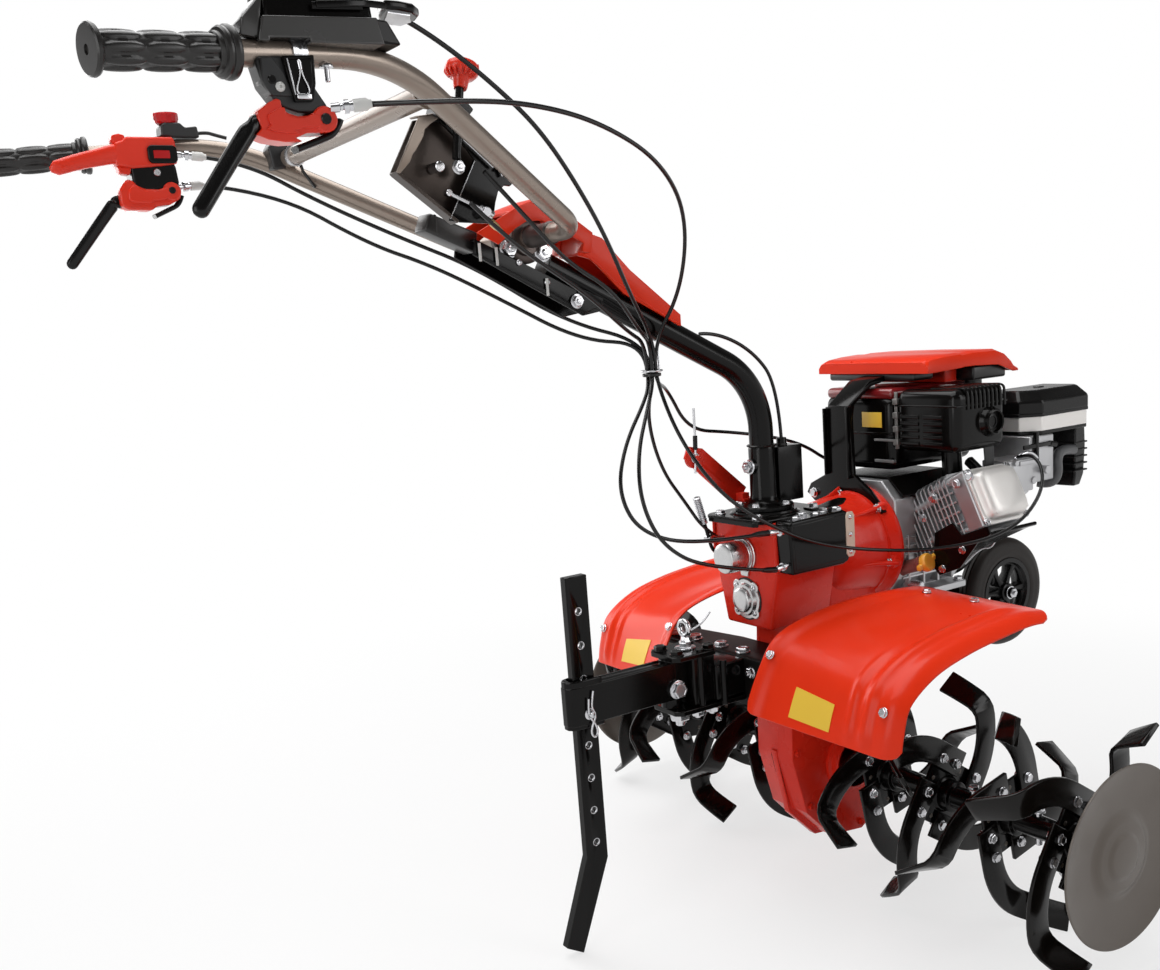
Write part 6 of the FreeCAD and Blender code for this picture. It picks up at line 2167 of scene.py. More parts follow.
    def selector(self) -> None:
        """Folded selector plate with its linkages, the rod and the mushroom knob."""
        flap = plate("selector_plate_body", [(-679, 1167), (-690, 1166), (-707, 1163), (-742, 1101),
                (-738, 1099), (-724, 1112), (-719, 1121), (-715, 1125), (-704, 1140), (-701, 1148),
                (-694, 1154), (-684, 1160)], Plane.SIDE, -118, -115.6, 0.8)
        lip = loft("selector_lip",
            [[(-684, -97, 1168), (-710, -97, 1164), (-710, -118, 1163), (-684, -118, 1166)],
                [(-684, -97, 1166), (-708, -97, 1162), (-708, -118, 1161), (-684, -118, 1164)]])
        fit(join("selector_plate_body", [ease(lip, 0.6), flap]), BRONZE, Body.HANDLEBAR, "selector_plate")
        # Inner back face of the bronze plate and its hem, in the bronze paint darkened as painted shade.
        back = plate("selector_back", [(-682, 1165), (-706, 1161), (-741, 1101), (-738, 1098), (-669, 1044),
                (-662, 1046), (-629, 1114), (-630, 1124), (-668, 1162)], Plane.SIDE, -94, -98, 1)
        hem = plate("selector_hem", [(-742, 1102), (-740, 1098), (-670, 1043), (-667, 1046), (-738, 1102)],
            Plane.SIDE, -98, -117, 0.8)
        fit(join("selector_back", [hem, back]), SHADED_BRONZE, Body.HANDLEBAR)
        front = plate("selector_front", [(-676, 1166), (-668, 1167), (-587, 1096), (-586, 1092), (-594, 1085),
                (-602, 1086), (-611, 1079), (-616, 1066), (-621, 1046), (-627, 1042), (-664, 1044),
                (-680, 1046), (-640, 1116), (-649, 1128), (-681, 1158)], Plane.SIDE, -112, -116, 1)
        fit(front, BLACK_PAINT, Body.HANDLEBAR)
        # White strips in the two slots: painted light, standing in for the bright backdrop seen through the
        # gaps.
        slots = [
            plate("slot", [(-676, 1162), (-664, 1152), (-661, 1155), (-673, 1165)], Plane.SIDE, -115, -117.4,
                0.4),
            plate("slot", [(-650, 1140), (-624, 1119), (-621, 1122), (-647, 1143)], Plane.SIDE, -115, -117.4,
                0.4)]
        fit(join("selector_slot_light", slots), WHITE_PLASTIC, Body.HANDLEBAR)
        seam = wire("selector_seam", [(-640, -116.6, 1114), (-660, -116.6, 1080), (-679, -116.6, 1048)], 0.6)
        bits = [seam, rod("pin", (-688, -100, 1107), (-688, -122, 1107), 6),
            rod("link", (-681, -122, 1077), (-640, -124, 1058), 2.2),
            rod("link", (-655, -122, 1138), (-618, -122, 1106), 2.0),
            rod("link", (-612, -121, 1112), (-606, -121, 1096), 2.4),
            rod("stud", (-681, -116, 1077), (-681, -126, 1077), 4),
            rod("stud", (-636, -116, 1056), (-636, -130, 1054), 6),
            rod("barrel", (-642, -122, 1060), (-626, -126, 1050), 4.4),
            rod("tail", (-614, -122, 1104), (-598, -122, 1106), 1.8)]
        fit(join("selector_links", bits), ZINC, Body.HANDLEBAR)
        self.hardware.place("selector_screws", Head.NUT, 12, [((-662, -116, 1107), (0, -1, 0))],
            Body.HANDLEBAR)
        fit(turned("selector_ferrule", (-634, -133, 1042), (-618, -128, 1031),
                [(4, 0), (4.4, 1), (4.4, 9), (3.2, 14), (3.2, 19)], 16), BRASS, Body.HANDLEBAR)
        pad = plate("selector_pad",
            [(-690, 1162), (-682, 1180), (-664, 1178), (-652, 1166), (-660, 1158), (-678, 1160)], Plane.SIDE,
            -92, -150, 2.4)
        fit(pad, GREY_PLASTIC, Body.HANDLEBAR)
        stem = wire("selector_rod_body",
            [(-678, -144, 1112), (-672, -140, 1140), (-662, -132, 1176), (-655, -127, 1203)], 5)
        fit(stem, BLACK_PLASTIC, Body.HANDLEBAR, "selector_rod")
        knob = turned("selector_knob", (-657, -129, 1192), (-650, -124, 1214), [(7.4, 0), (8.2, 2), (9.6, 12),
                (11, 13.5), (16, 16), (19.4, 20), (20, 24), (18.4, 29), (13, 32.4), (6, 33.8)], 36)
        ribs = []
        axis_low, axis_high = Vector((-652.4, -125.6, 1207)), Vector((-649.2, -123.6, 1218))
        for number in range(18):
            turn = math.tau * number / 18
            away = Vector((math.cos(turn), math.sin(turn), 0))
            ribs.append(swept("rib", [
                        tuple(axis_low + away * 14.5),
                        tuple(axis_low.lerp(axis_high, 0.5) + away * 19.0),
                        tuple(axis_high + away * 18.8)], tuple(away.cross(Vector((0, 0, 1)))),
                    [(1.2, 1.2), (1.5, 1.8), (1.0, 1.2)], 3, 10))
        fit(join("selector_knob", [*ribs, knob]), LEVER_PLASTIC, Body.HANDLEBAR)


# ---------------------------------------------------------------------------
# Column: main tube, channel, clamp lever and ring
# ---------------------------------------------------------------------------
@dataclass
class Column:
    """Main tube, the channel under its end, the toothed discs, clamp lever and wire ring."""

    hardware: Hardware
    pivot: tuple[float, float] = (-522.0, 1032.0)
    teeth: int = 36

    def build(self) -> None:
        """Build every piece of the upper column."""
        tube = pipe("column_tube_body", [(-119, 0, 712), (-119, 0, 808), (-488, 0, 995.8)], 19, [75],
            (0, 1, 0))
        fit(tube, BLACK_PAINT, Body.COLUMN, "column_tube")
        self.channel()
        self.discs()
        self.lever()
        self.sleeve()
        self.small_parts()

    def channel(self) -> None:
        """Pressed channel with its bolt, cable ties and folded edges."""
        outline = [(-606, 1012), (-602, 1032), (-412, 941), (-420, 930), (-447, 926)]
        sides = [plate("channel_side", outline, Plane.SIDE, side * 28, side * 24.6, 1.4) for side in (-1, 1)]
        web = plate("channel_web", [(-602, 1032), (-412, 941), (-413.6, 937.8), (-603.4, 1028.8)], Plane.SIDE,
            -27.6, 27.6, 0.8)
        edge = plate("channel_edge",
            [(-598, 1008), (-596, 1012), (-446, 934), (-420, 938), (-419, 934), (-447, 929)], Plane.SIDE,
            -29.4, -26, 0.8)
        nose = plate("channel_nose", [(-452, 964), (-414, 948), (-418, 937), (-447, 929), (-462, 938)],
            Plane.SIDE, -30.4, -27.4, 1)
        fit(join("channel_body", [edge, nose, *sides, web]), BLACK_PAINT, Body.COLUMN, "column_channel")
        self.hardware.place("channel_bolts", Head.NUT, 14,
            [((-457, -30, 946), (0, -1, 0)), ((-457, 30, 946), (0, 1, 0))], Body.COLUMN)
        self.hardware.place("channel_screws", Head.BUTTON, 9,
            [((-500, -28.4, 973), (0, -1, 0)), ((-540, -28.4, 1000), (0, -1, 0))], Body.COLUMN)
        ties = []
        for x, z in ((-594, 1018), (-570, 1012), (-498, 970)):
            ties.append(loft("tie", [[(x - 1.5 + dx, y, z - 14 + dz) for y, dz in ((-30.5, 0), (-30.5, 22),
                                (-31.8, 22), (-31.8, -1))] for dx, dz in ((-4, 0), (-0.5, 0))]))
        fit(join("cable_ties", ties), WHITE_PLASTIC, Body.COLUMN)

    def discs(self) -> None:
        """Two discs with teeth on their facing sides, bright nut and bronze cheeks."""
        x, z = self.pivot
        parts = []
        for side in (-1, 1):
            parts.append(turned("disc", (x, side * 5, z), (x, side * 22, z),
                    [(30, 0), (34, 1), (34, 9), (31, 12), (24, 13.5), (22, 16), (22, 20), (19, 20)], 64))
            for number in range(self.teeth):
                turn = math.tau * number / self.teeth
                out = Vector((math.cos(turn), 0, math.sin(turn)))
                start = Vector((x, side * 4.4, z)) + out * 22
                end = Vector((x, side * 4.4, z)) + out * 33
                along = out.cross(Vector((0, 1, 0)))
                parts.append(
                    swept("tooth", [tuple(start), tuple(end)], tuple(along), [(0.9, 2.2), (1.5, 2.2)], 2, 6))
        fit(join("clamp_discs_body", parts), DISC_BROWN, Body.COLUMN, "clamp_discs")
        collar = turned("shaft_collar", (x, -34, z), (x, -92, z),
            [(13, 0), (15, 1.5), (15, 16), (13.6, 18), (13.6, 46), (14.4, 47), (14.4, 52), (12.6, 54)], 36)
        fit(collar, COLLAR_DARK, Body.HANDLEBAR)
        self.hardware.place("pivot_nut", Head.NUT, 18,
            [((-548, -16, 1018), (0, -1, 0)), ((-500, -22, 1012), (0, -1, 0))], Body.COLUMN)

    def lever(self) -> None:
        """Pressed red clamp lever: smooth fork over the pivot, folded hump, long handle."""
        body = recast("clamp_lever", 2.2, 3, name="clamp_lever_body")
        rib = swept("lever_rib", smooth_path([(-446, 0, 1036), (-420, 0, 1028), (-396, 0, 1010),
                    (-372, 0, 984), (-330, 0, 951), (-292, 0, 921)], 5), (0, 1, 0), [(7, 2.4)] * 26, 2.4, 16)
        rims = []
        for side in (-1, 1):
            rims.append(swept("rim", smooth_path([(-444, side * 23, 1012), (-424, side * 23, 1003),
                            (-374, side * 23, 955), (-282, side * 23, 904)], 5), (0, 1, 0), [(2.4, 1.6)] * 16,
                    2.4, 10))
        fit(join("clamp_lever_body", [rib, *rims, body]), RED_PLASTIC, Body.COLUMN, "clamp_lever")

    def sleeve(self) -> None:
        """Rubber sleeve with rounded edges and a moulded rib."""
        body = recast("column_sleeve", 3.4, 3, name="sleeve_body")
        corners = ((-18, 1040), (-18, 1064), (18, 1064), (18, 1040))
        rib = loft("rib", [[(x, y, z + lift) for y, z in corners] for x, lift in ((-650, 0), (-647, -1.4))])
        fit(join("sleeve_body", [ease(rib, 1.2), body]), RUBBER, Body.COLUMN, "column_sleeve")

    def small_parts(self) -> None:
        """Wire ring for the cables, and the black tie below it."""
        dress(ZINC, "cable_ring")
        band = turned("bundle_band", (-327, -11, 834), (-327, -11, 840),
            [(12.5, 0), (13.6, 0.8), (13.6, 4.2), (12.5, 5)], 32)
        fit(band, CABLE, Body.COLUMN)


# ---------------------------------------------------------------------------
# Tine rotor
# ---------------------------------------------------------------------------
@dataclass
class TineRotor:
    """Sickle blades, square flanges, sleeves and end discs."""

    hardware: Hardware
    rows: tuple[float, ...] = (130.0, 245.0, 360.0, 475.0)
    turns: tuple[float, ...] = (1.5, -0.5, 1.5, -0.5)
    step: float = 22.5
    axle_z: float = 176.0

    def build(self) -> None:
        """Build every piece that turns with the tines."""
        for number in range(1, 5):
            fit(recast("tine_blades_%d" % number, 1.4, 2, angle=34), BLADE_PAINT, Body.ROTOR,
                "tine_blades_%d" % number)
        tubes = recast("tine_tubes", 1.2, 2)
        fit(tubes, BLACK_PAINT, Body.ROTOR, "tine_tubes")
        dress(ZINC, "drive_shaft")
        self.bolts()
        self.holes()
        self.sleeves()
        self.discs()

    def rotated(self, radius: float, degrees: float, y: float) -> Point:
        """Point at a radius and a turn from forward to up, at one y."""
        turn = math.radians(degrees)
        return radius * math.cos(turn), y, self.axle_z + radius * math.sin(turn)

    def bolts(self) -> None:
        """Two bolts through each blade's root, with nuts inboard."""
        for row, (y, turn) in enumerate(zip(self.rows, self.turns), 1):
            heads, nuts = [], []
            for side in (-1, 1):
                for quarter in range(4):
                    tip = turn * self.step - 90 + 90 * quarter
                    for offset, reach in ((-69.2, 62.0), (-99.7, 47.7)):
                        point = self.rotated(reach, tip + offset, 0)
                        heads.append(((point[0], side * (y + 9), point[2]), (0, side, 0)))
                        nuts.append(((point[0], side * (y - 3), point[2]), (0, -side, 0)))
            self.hardware.place("tine_bolts_%d" % row, Head.HEX, 12, heads, Body.ROTOR)
            self.hardware.place("tine_nuts_%d" % row, Head.NUT, 12, nuts, Body.ROTOR)

    def holes(self) -> None:
        """Spare holes punched in the flanges, seen as dark dimples on both faces."""
        dots = []
        for y, turn in zip(self.rows, self.turns):
            for side in (-1, 1):
                for quarter in range(4):
                    x, _, z = self.rotated(42, turn * self.step + 90 * quarter - 40, 0)
                    dots.append(turned("dot", (x, side * (y - 3.5), z), (x, side * (y + 3.5), z),
                            [(2.5, 0), (3.6, 0.3), (3.6, 6.7), (2.5, 7)], 14))
        fit(join("flange_holes", dots), DISC_PAINT, Body.ROTOR)

    def sleeves(self) -> None:
        """Weld beads, clevis pins and clips where the tubes join."""
        beads = []
        for y in self.rows:
            for side in (-1, 1):
                for away in (-3.2, 3.2):
                    beads.append(turned("bead", (0, side * (y + away), self.axle_z),
                            (0, side * (y + away * 2.4), self.axle_z), [(28.5, 0), (27, 2.0), (24.4, 4)], 40))
        fit(join("sleeve_welds", beads), BLACK_PAINT, Body.ROTOR)
        pins = []
        for y in (101.0, 302.0, 416.0):
            for side in (-1, 1):
                pins.append(
                    rod("pin", (0, side * y, self.axle_z - 27), (0, side * y, self.axle_z + 27), 5, edge=1.2))
        fit(join("sleeve_pins", pins), ZINC, Body.ROTOR)
        self.hardware.place("pin_heads", Head.HEX, 14, [((0, side * y, self.axle_z + 22), (0, 0, 1))
                for y in (101.0, 302.0, 416.0) for side in (-1, 1)], Body.ROTOR)

    def discs(self) -> None:
        """Smooth dished end discs with a rolled rim and a raised, closed middle."""
        made = [turned("end_disc", (0, side * 534.6, self.axle_z), (0, side * 552, self.axle_z), [(10, 0.4),
                    (34, 0.4), (39, 3), (44, 8.4), (51, 8.2), (57, 5.4), (66, 5.3), (98, 8.9), (123, 12.8),
                    (125.8, 14.2), (127, 15.8), (126.6, 17), (125, 17.2), (122.4, 16.2), (98, 12.1),
                    (66, 8.6), (59, 8.8), (54, 11.0), (50, 12.8), (46, 13.4), (36, 13.7), (33, 14.4),
                    (30.4, 15.8), (28, 16.8), (25, 17.3), (8, 18.0)], 96, smooth=40) for side in (-1, 1)]
        fit(join("end_discs_body", made), DISC_PAINT, Body.ROTOR, "end_discs")


# ---------------------------------------------------------------------------
# Hitch, stake, front bracket and wheel
# ---------------------------------------------------------------------------
@dataclass
class RearHitch:
    """Fender bar, clevis, strap round the stake, pins, and the stake itself."""

    hardware: Hardware
    stake_x: float = -479.0
    pin_z: float = 366.0
    pitch: float = 50.0

    def build(self) -> None:
        """Build every piece behind the gear case."""
        fit(recast("fender_bar", 1.4, 2), SATIN_BLACK, Body.CHASSIS, "fender_bar")
        self.hardware.place("bar_bolts", Head.HEX, 18,
            [((-186, y, 394), (0, 0, 1)) for y in (-150, -10, 44, 110, 160)], Body.CHASSIS)
        self.hardware.place("bar_nuts", Head.NUT, 14, [((-186, y, 388), (0, 0, -1)) for y in (-150, 110)],
            Body.CHASSIS)
        self.hardware.place("bar_screws", Head.NUT, 14, [((-206, y, 374), (-1, 0, 0)) for y in (-52, -92)],
            Body.CHASSIS)
        self.clevis()
        self.strap()
        self.clip()
        self.stake()

    def clevis(self) -> None:
        """Clevis plates, block, tall bolts and the eye nut."""
        parts = [
            plate("hitch_top", [(-336, -26), (-328, -36), (-262, -38), (-256, -30), (-256, 30), (-262, 38),
                    (-328, 36), (-336, 26)], Plane.FLOOR, 412, 420, 1.4),
            plate("hitch_bottom", [(-336, -26), (-327, -36), (-206, -38), (-206, 38), (-327, 36), (-336, 26)],
                Plane.FLOOR, 328, 336, 1.4),
            block("hitch_middle", (-300, -258), (-30, 30), (336, 412), 3),
            block("hitch_neck", (-262, -204), (-36, 36), (338, 393), 3),
            rod("hitch_post", (-322, 0, 336), (-322, 0, 412), 16, edge=1),
            rod("stud", (-286, -30, 330), (-286, -30, 424), 5.5),
            rod("stud", (-248, -37, 330), (-248, -37, 400), 5.5)]
        fit(join("hitch_block_body", parts), BLACK_PAINT, Body.CHASSIS, "hitch_block")
        self.hardware.place("hitch_bolts", Head.HEX, 17, [((-322, -21, 420), (0, 0, 1)),
                ((-322, 21, 420), (0, 0, 1)), ((-268, 26, 420), (0, 0, 1)), ((-266, -26, 420), (0, 0, 1))],
            Body.CHASSIS, BLACK_PAINT)
        nuts = [((x, y, 328), (0, 0, -1)) for x, y in ((-290, -22), (-262, -22), (-266, 24))]
        self.hardware.place("hitch_nuts", Head.NUT, 18, nuts, Body.CHASSIS)
        self.hardware.place("hitch_lock_nut", Head.NUT, 28, [((-314, -8, 328), (0, 0, -1))], Body.CHASSIS)
        stub = rod("hitch_stub", (-314, -8, 330), (-314, -8, 306), 6.5, edge=1)
        fit(stub, ZINC, Body.CHASSIS)
        eye = [
            turned("eye_washer", (-290, 0, 420), (-290, 0, 424), [(15, 0), (16, 0.6), (16, 2.4), (15, 3)],
                32),
            turned("eye_foot", (-290, 0, 422), (-290, 0, 440), [(9, 0), (10, 1), (10, 8), (7, 11), (6, 18)],
                6),
            self.hoop("eye_hoop", (-290, 0, 452), 11.5, 4.2)]
        fit(join("eye_nut", eye), ZINC, Body.CHASSIS)
        shim = swept("safety_clip",
            smooth_path([(-284, -4, 446), (-272, -10, 452), (-262, -16, 462), (-254, -20, 474)], 5),
            (0, 1, 0), [(1.6, 1.6)] * 16, 2, 8)
        fit(shim, ZINC, Body.CHASSIS)

    @staticmethod
    def hoop(name: str, centre: Point, radius: float, wire_radius: float) -> Piece:
        """Upright ring of round bar, seen from behind, spun from a small circle.

        Args:
            name: the piece's name.
            centre: the ring's centre.
            radius: radius of its middle line.
            wire_radius: radius of the bar.

        Returns:
            The ring.
        """
        points = []
        for number in range(13):
            turn = math.tau * number / 12
            points.append(
                (centre[0], centre[1] + radius * math.cos(turn), centre[2] + radius * math.sin(turn)))
        return wire(name, points, wire_radius, 3, 6)

    def strap(self) -> None:
        """Thick strap folded round the stake, with rounded bends and bolts."""
        x = self.stake_x
        inner, outer = 8.2, 15.8
        outline = [(-300, -outer), (x - 14, -outer), (x - 27, -outer + 3), (x - 32, -6), (x - 32, 6),
            (x - 27, outer - 3), (x - 14, outer), (-300, outer), (-300, inner), (x + 22.5, inner),
            (x - 20, inner), (x - 22.6, 5), (x - 22.6, -5), (x - 20, -inner), (x + 22.5, -inner),
            (-300, -inner)]
        shell = loft("stake_holder_body", [outline_points(outline, Plane.FLOOR, z) for z in (350, 408)])
        shell = ease(shell, 1.6, 3)
        collar = loft("collar", [outline_points([(x + 26, -15.2), (x - 14, -15.2), (x - 26, -12),
                        (x - 31.6, -5), (x - 31.6, 5), (x - 26, 12), (x - 14, 15.2), (x + 26, 15.2),
                        (x + 26, 9.4), (x - 20, 9.4), (x - 22.4, 5), (x - 22.4, -5), (x - 20, -9.4),
                        (x + 26, -9.4)], Plane.FLOOR, z) for z in (344.5, 417)])
        collar = ease(collar, 2.0, 3)
        filler = block("filler", (x + 23.5, -306), (-8.4, 8.4), (351, 407), 1.2)
        fit(join("stake_holder_body", [collar, filler, shell]), BLACK_PAINT, Body.CHASSIS, "stake_holder")
        self.hardware.place("strap_bolt", Head.HEX, 22,
            [((-322, -18.6, 366), (0, -1, 0)), ((-322, 18.6, 366), (0, 1, 0))], Body.CHASSIS)
        washers = [turned("washer", (-322, side * 15.6, 366), (-322, side * 20, 366),
                [(13.8, 0), (14.4, 0.6), (14.4, 2.6), (13.8, 3.2)], 32) for side in (-1, 1)]
        fit(join("strap_washers", washers), ZINC, Body.CHASSIS)

    def clip(self) -> None:
        """Pin through the stake with its split spring clip."""
        x, z = self.stake_x, self.pin_z
        pins = [turned("pin", (x, side * 15.6, z), (x, side * 26, z), [(5, 0), (5, 7), (4, 9), (2, 9.4)], 20)
            for side in (-1, 1)]
        washer = turned("pin_washer", (x, -15.6, z), (x, -18, z), [(8, 0), (8.6, 0.5), (8.6, 1.6), (8, 2)],
            24)
        clip = wire("spring_clip", [(x + 6, -20, z + 34), (x + 3, -20, z + 20), (x + 1, -21, z + 10),
                (x + 6, -21, z + 2), (x + 6, -21, z - 6), (x, -21, z - 16), (x - 3, -21, z - 28),
                (x + 3, -21, z - 36), (x + 9, -21, z - 28), (x + 5, -21, z - 14), (x - 3, -21, z - 4),
                (x - 5, -21, z + 8), (x - 3, -21, z + 24)], 1.7, 3)
        fit(join("holder_pin_body", [washer, clip, *pins]), ZINC, Body.CHASSIS, "holder_pin")

    def stake(self) -> None:
        """Depth stake: flat bar with eight pin holes, bent back to its foot."""
        low, high = self.stake_x - 18, self.stake_x + 18
        heights = [self.pin_z + (number - 4) * self.pitch for number in range(8)]
        bar = plate("stake_body",
            [(low, 567), (low, 147), (-543.6, 18), (-515.6, 1.2), (high, 137), (high, 567)], Plane.SIDE, -7,
            7, 0)
        bar = cut(bar, join("drills", self.bars(heights, 5.4, [(-12, 12)])))
        fit(ease(bar, 1.2, 2), BLACK_PAINT, Body.STAKE, "depth_stake")
        rims = join("stake_hole_rims", self.bars(heights, 5.9, [(-6.7, -4), (4, 6.7)]))
        fit(cut(rims, join("bores", self.bars(heights, 5.0, [(-12, 12)]))), ZINC, Body.STAKE)

    def bars(self, heights: Sequence[float], radius: float,
            spans: Sequence[tuple[float, float]]) -> list[Piece]:
        """Short round bars across the stake.

        Args:
            heights: z of each hole.
            radius: radius of the bars in millimetres.
            spans: lowest and highest y of the bars at each hole.

        Returns:
            The bars, for a hole or its rims.
        """
        return [turned("bar", (self.stake_x, low, z), (self.stake_x, high, z),
                [(radius, 0), (radius, high - low)], 28) for z in heights for low, high in spans]


@dataclass
class FrontWheel:
    """Front bracket, wheel arm, tyre and moulded rim."""

    hardware: Hardware
    x: float = 439.0
    z: float = 375.0

    def build(self) -> None:
        """Build the bracket, arm and wheel."""
        fit(recast("front_bracket", 1.2, 2), BLACK_PAINT, Body.CHASSIS, "front_bracket")
        fit(recast("wheel_arm", 1.2, 2), BLACK_PAINT, Body.ARM, "wheel_arm")
        self.hardware.place("wheel_nut", Head.NUT, 17, [((self.x, -24, self.z), (0, -1, 0))], Body.ARM)
        self.tyre()
        self.rim()

    def tyre(self) -> None:
        """Rubber tyre with two grooves, a bead and a fine side ring."""
        x, z = self.x, self.z
        half = [(61, -16.5), (66, -18), (72, -19.4), (74, -18.8), (82, -19.8), (90, -18.6), (95.5, -15),
            (98.4, -9.4), (99.6, -6), (97.6, -5), (97.6, -3.6), (99.9, -2.6)]
        profile = [(r, y + 17) for r, y in half] + [(r, 17 - y) for r, y in reversed(half)]
        tyre = turned("wheel_tyre_body", (x, -17, z), (x, 17, z), profile, 96, smooth=35)
        opening = turned("opening", (x, -30, z), (x, 30, z), [(61.5, 0), (61.5, 60)], 96, 180 / 96)
        fit(cut(tyre, opening), TYRE, Body.WHEEL, "wheel_tyre")

    def rim(self) -> None:
        """Black moulded rim: dished face, six tapered spokes and a deep hub."""
        x, z = self.x, self.z
        ring_part = turned("wheel_ring", (x, -17, z), (x, 17, z),
            [(52, 4), (55, -1.4), (62.6, -1.4), (63, 2), (63, 32), (62.6, 35.4), (55, 35.4), (52, 30)], 72)
        tools = turned("bore", (x, -40, z), (x, 40, z), [(51, 0), (51, 80)], 72)
        ring_part = cut(ring_part, tools)
        hub = turned("hub", (x, -20, z), (x, 20, z),
            [(13, 0), (16, 1.6), (17, 8), (17, 32), (16, 38.4), (13, 40)], 36)
        spokes = []
        for number in range(6):
            turn = math.radians(60 * number)
            out = Vector((math.cos(turn), 0, math.sin(turn)))
            side = Vector((-math.sin(turn), 0, math.cos(turn)))
            centre = Vector((x, 0, z))
            spokes.append(swept("spoke",
                    [tuple(centre + out * 12), tuple(centre + out * 34), tuple(centre + out * 56)],
                    tuple(side), [(7.0, 13), (4.6, 9), (8.0, 13)], 5, 16))
        fit(join("wheel_rim_body", [ring_part, *spokes, hub]), BLACK_PLASTIC, Body.WHEEL, "wheel_rim")


ASSEMBLIES = (ControlCables, Gearbox, ColumnFoot, Fenders, Engine, Handlebar, Column, TineRotor, RearHitch,
    FrontWheel)


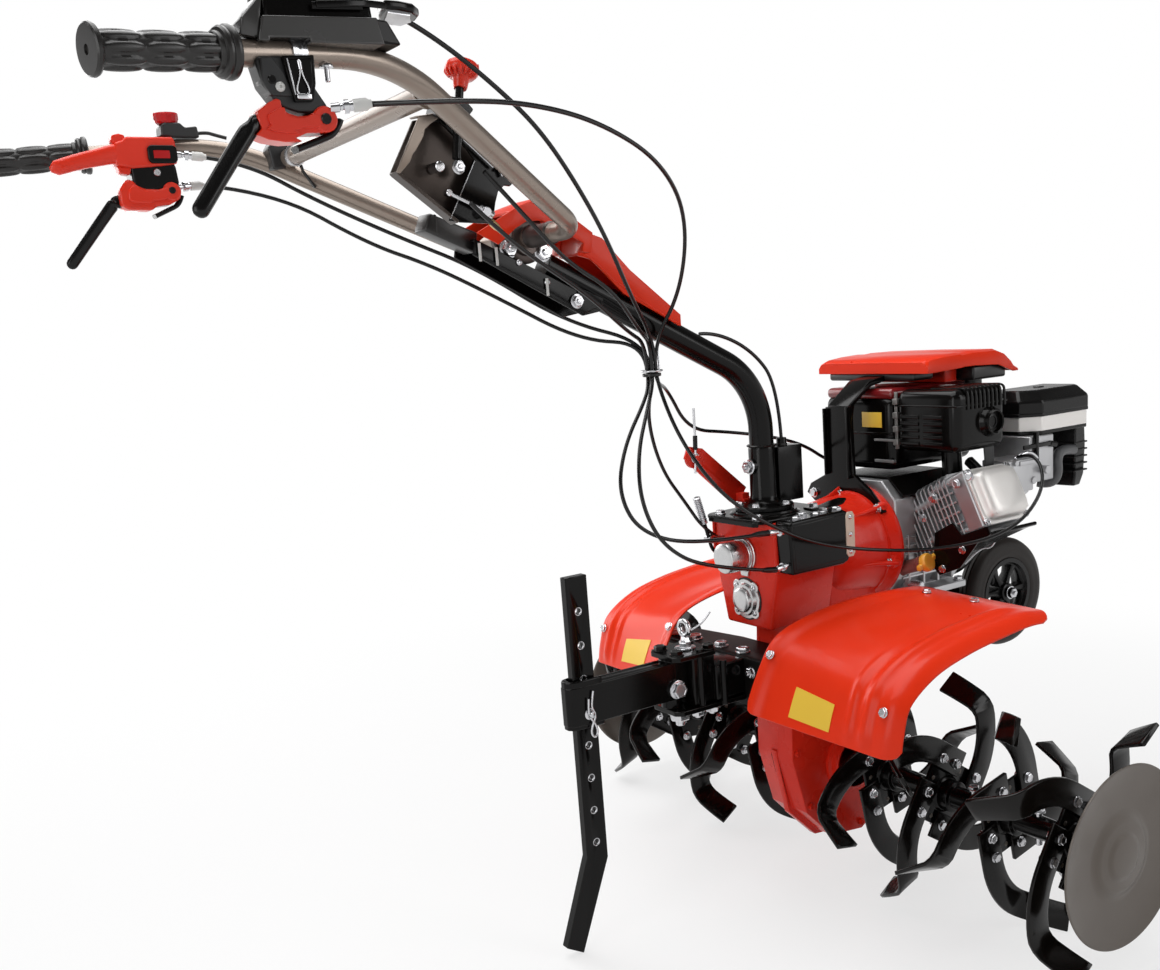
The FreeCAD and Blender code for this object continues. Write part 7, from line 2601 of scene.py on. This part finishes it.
# ---------------------------------------------------------------------------
# Studio: floor, light and camera
# ---------------------------------------------------------------------------
@dataclass
class Studio:
    """Plain white studio round the machine, and the camera."""

    eye: Point = (-1361.7, -1449.8, 921.8)
    heading: float = -33.155
    height: float = 11.029
    roll: float = -4.216
    lens: float = 37.99
    shift: tuple[float, float] = (-0.0256, 0.0615)
    floor_size: float = 60.0
    floor_fade: tuple[float, float] = (0.9, 2.2)
    floor_lift: float = 0.70
    sky: float = 0.50
    ceiling: Colour = (0.14, 0.14, 0.14)

    def build(self) -> None:
        """Set up everything in the studio."""
        self.floor()
        self.world()
        self.lamps()
        self.camera()

    def camera(self) -> None:
        """Place the camera."""
        turn, rise, roll = (math.radians(value) for value in (self.heading, self.height, self.roll))
        back = Vector((math.sin(turn) * math.cos(rise), -math.cos(turn) * math.cos(rise), math.sin(rise)))
        right = (-back).cross(Vector((0, 0, 1))).normalized()
        upward = right.cross(-back)
        side = right * math.cos(roll) + upward * math.sin(roll)
        top = upward * math.cos(roll) - right * math.sin(roll)
        data = bpy.data.cameras.new("camera")
        data.lens = self.lens
        data.sensor_width = 36.0
        data.sensor_fit = "HORIZONTAL"
        data.shift_x, data.shift_y = self.shift
        data.clip_start = 0.02
        camera = bpy.data.objects.new("camera", data)
        facing = Matrix((side, top, back)).transposed().to_4x4()
        camera.matrix_world = Matrix.Translation(at(*self.eye)) @ facing
        bpy.context.collection.objects.link(camera)
        bpy.context.scene.camera = camera

    def floor(self) -> None:
        """Lay a large pale floor."""
        take()
        bpy.ops.mesh.primitive_plane_add(size=self.floor_size, location=(0, 0, 0))
        floor = bpy.context.active_object
        floor.name = "floor"
        material = bpy.data.materials.new("pale floor")
        material.use_nodes = True
        tree = material.node_tree
        shader = tree.nodes["Principled BSDF"]
        shader.inputs["Roughness"].default_value = 0.9
        shader.inputs["Specular IOR Level"].default_value = 0.0
        shader.inputs["Base Color"].default_value = (0.86, 0.86, 0.86, 1)
        place = add_node(tree, "TexCoord")
        reach = add_node(tree, "VectorMath", operation="LENGTH")
        tree.links.new(place.outputs["Object"], reach.inputs[0])
        fade = add_node(tree, "MapRange", interpolation_type="SMOOTHSTEP")
        fade.inputs["From Min"].default_value = self.floor_fade[0]
        fade.inputs["From Max"].default_value = self.floor_fade[1]
        fade.inputs["To Min"].default_value = self.floor_lift
        tree.links.new(reach.outputs["Value"], fade.inputs["Value"])
        share = add_node(tree, "Math", operation="MULTIPLY")
        tree.links.new(fade.outputs["Result"], share.inputs[0])
        tree.links.new(self.seen_directly(tree), share.inputs[1])
        white = add_node(tree, "Emission")
        mix = add_node(tree, "MixShader")
        tree.links.new(share.outputs[0], mix.inputs["Fac"])
        tree.links.new(shader.outputs["BSDF"], mix.inputs[1])
        tree.links.new(white.outputs["Emission"], mix.inputs[2])
        tree.links.new(mix.outputs["Shader"], tree.nodes["Material Output"].inputs["Surface"])
        floor.data.materials.append(material)

    @staticmethod
    def seen_directly(tree: bpy.types.NodeTree) -> bpy.types.NodeSocket:
        """One where a ray comes from the camera or from a reflection, else zero.

        Args:
            tree: the node tree.

        Returns:
            The socket that holds it.
        """
        path = add_node(tree, "LightPath")
        first = add_node(tree, "Math", operation="MAXIMUM")
        second = add_node(tree, "Math", operation="MAXIMUM")
        tree.links.new(path.outputs["Is Camera Ray"], first.inputs[0])
        tree.links.new(path.outputs["Is Glossy Ray"], first.inputs[1])
        tree.links.new(first.outputs[0], second.inputs[0])
        tree.links.new(path.outputs["Is Transmission Ray"], second.inputs[1])
        return second.outputs[0]

    def world(self) -> None:
        """White background all round at eye level, under a greyer ceiling."""
        world = bpy.data.worlds.new("studio")
        bpy.context.scene.world = world
        world.use_nodes = True
        tree = world.node_tree
        background = tree.nodes["Background"]
        place = add_node(tree, "TexCoord")
        parts = add_node(tree, "SeparateXYZ")
        tree.links.new(place.outputs["Generated"], parts.inputs[0])
        rise = add_node(tree, "MapRange", interpolation_type="SMOOTHSTEP")
        rise.inputs["From Min"].default_value = 0.03
        rise.inputs["From Max"].default_value = 0.34
        tree.links.new(parts.outputs["Z"], rise.inputs["Value"])
        sky = add_node(tree, "Mix", data_type="RGBA")
        sky.inputs["A"].default_value = (1, 1, 1, 1)
        sky.inputs["B"].default_value = (*self.ceiling, 1)
        room = add_node(tree, "LightPath")
        unseen = add_node(tree, "Math", operation="SUBTRACT")
        unseen.inputs[0].default_value = 1.0
        tree.links.new(room.outputs["Is Camera Ray"], unseen.inputs[1])
        graded = add_node(tree, "Math", operation="MULTIPLY")
        tree.links.new(rise.outputs["Result"], graded.inputs[0])
        tree.links.new(unseen.outputs[0], graded.inputs[1])
        tree.links.new(graded.outputs[0], sky.inputs["Factor"])
        tree.links.new(sky.outputs["Result"], background.inputs["Color"])
        power = add_node(tree, "MapRange")
        power.inputs["To Min"].default_value = self.sky
        power.inputs["To Max"].default_value = 1.0
        tree.links.new(self.seen_directly(tree), power.inputs["Value"])
        tree.links.new(power.outputs["Result"], background.inputs["Strength"])

    def lamps(self) -> None:
        """Hang the soft boxes."""
        target = at(-100, 0, 500)
        for name, place, size, power in (("top box", (-500, 500, 3000), (3.0, 2.2), 78.0),
                ("left box", (-900, 2900, 1700), (1.6, 2.2), 36.0),
                ("right box", (1500, -2600, 1900), (1.4, 2.0), 30.0),
                ("rear box", (-3200, -900, 1500), (1.2, 1.8), 22.0)):
            data = bpy.data.lights.new(name, "AREA")
            data.shape = "RECTANGLE"
            data.size, data.size_y = size
            data.energy = power
            lamp = bpy.data.objects.new(name, data)
            lamp.location = at(*place)
            lamp.rotation_euler = (target - lamp.location).to_track_quat("-Z", "Y").to_euler()
            bpy.context.collection.objects.link(lamp)


def main() -> None:
    """Set up the studio, then build the machine in order."""
    logging.basicConfig(level=logging.INFO, format="%(message)s")
    bpy.context.scene.view_settings.view_transform = "Standard"
    Studio().build()
    hardware = Hardware()
    for assembly in ASSEMBLIES:
        log.info("building %s", assembly.__name__)
        assembly(hardware).build()
    hardware.put_away()


if __name__ == "__main__":
    main()
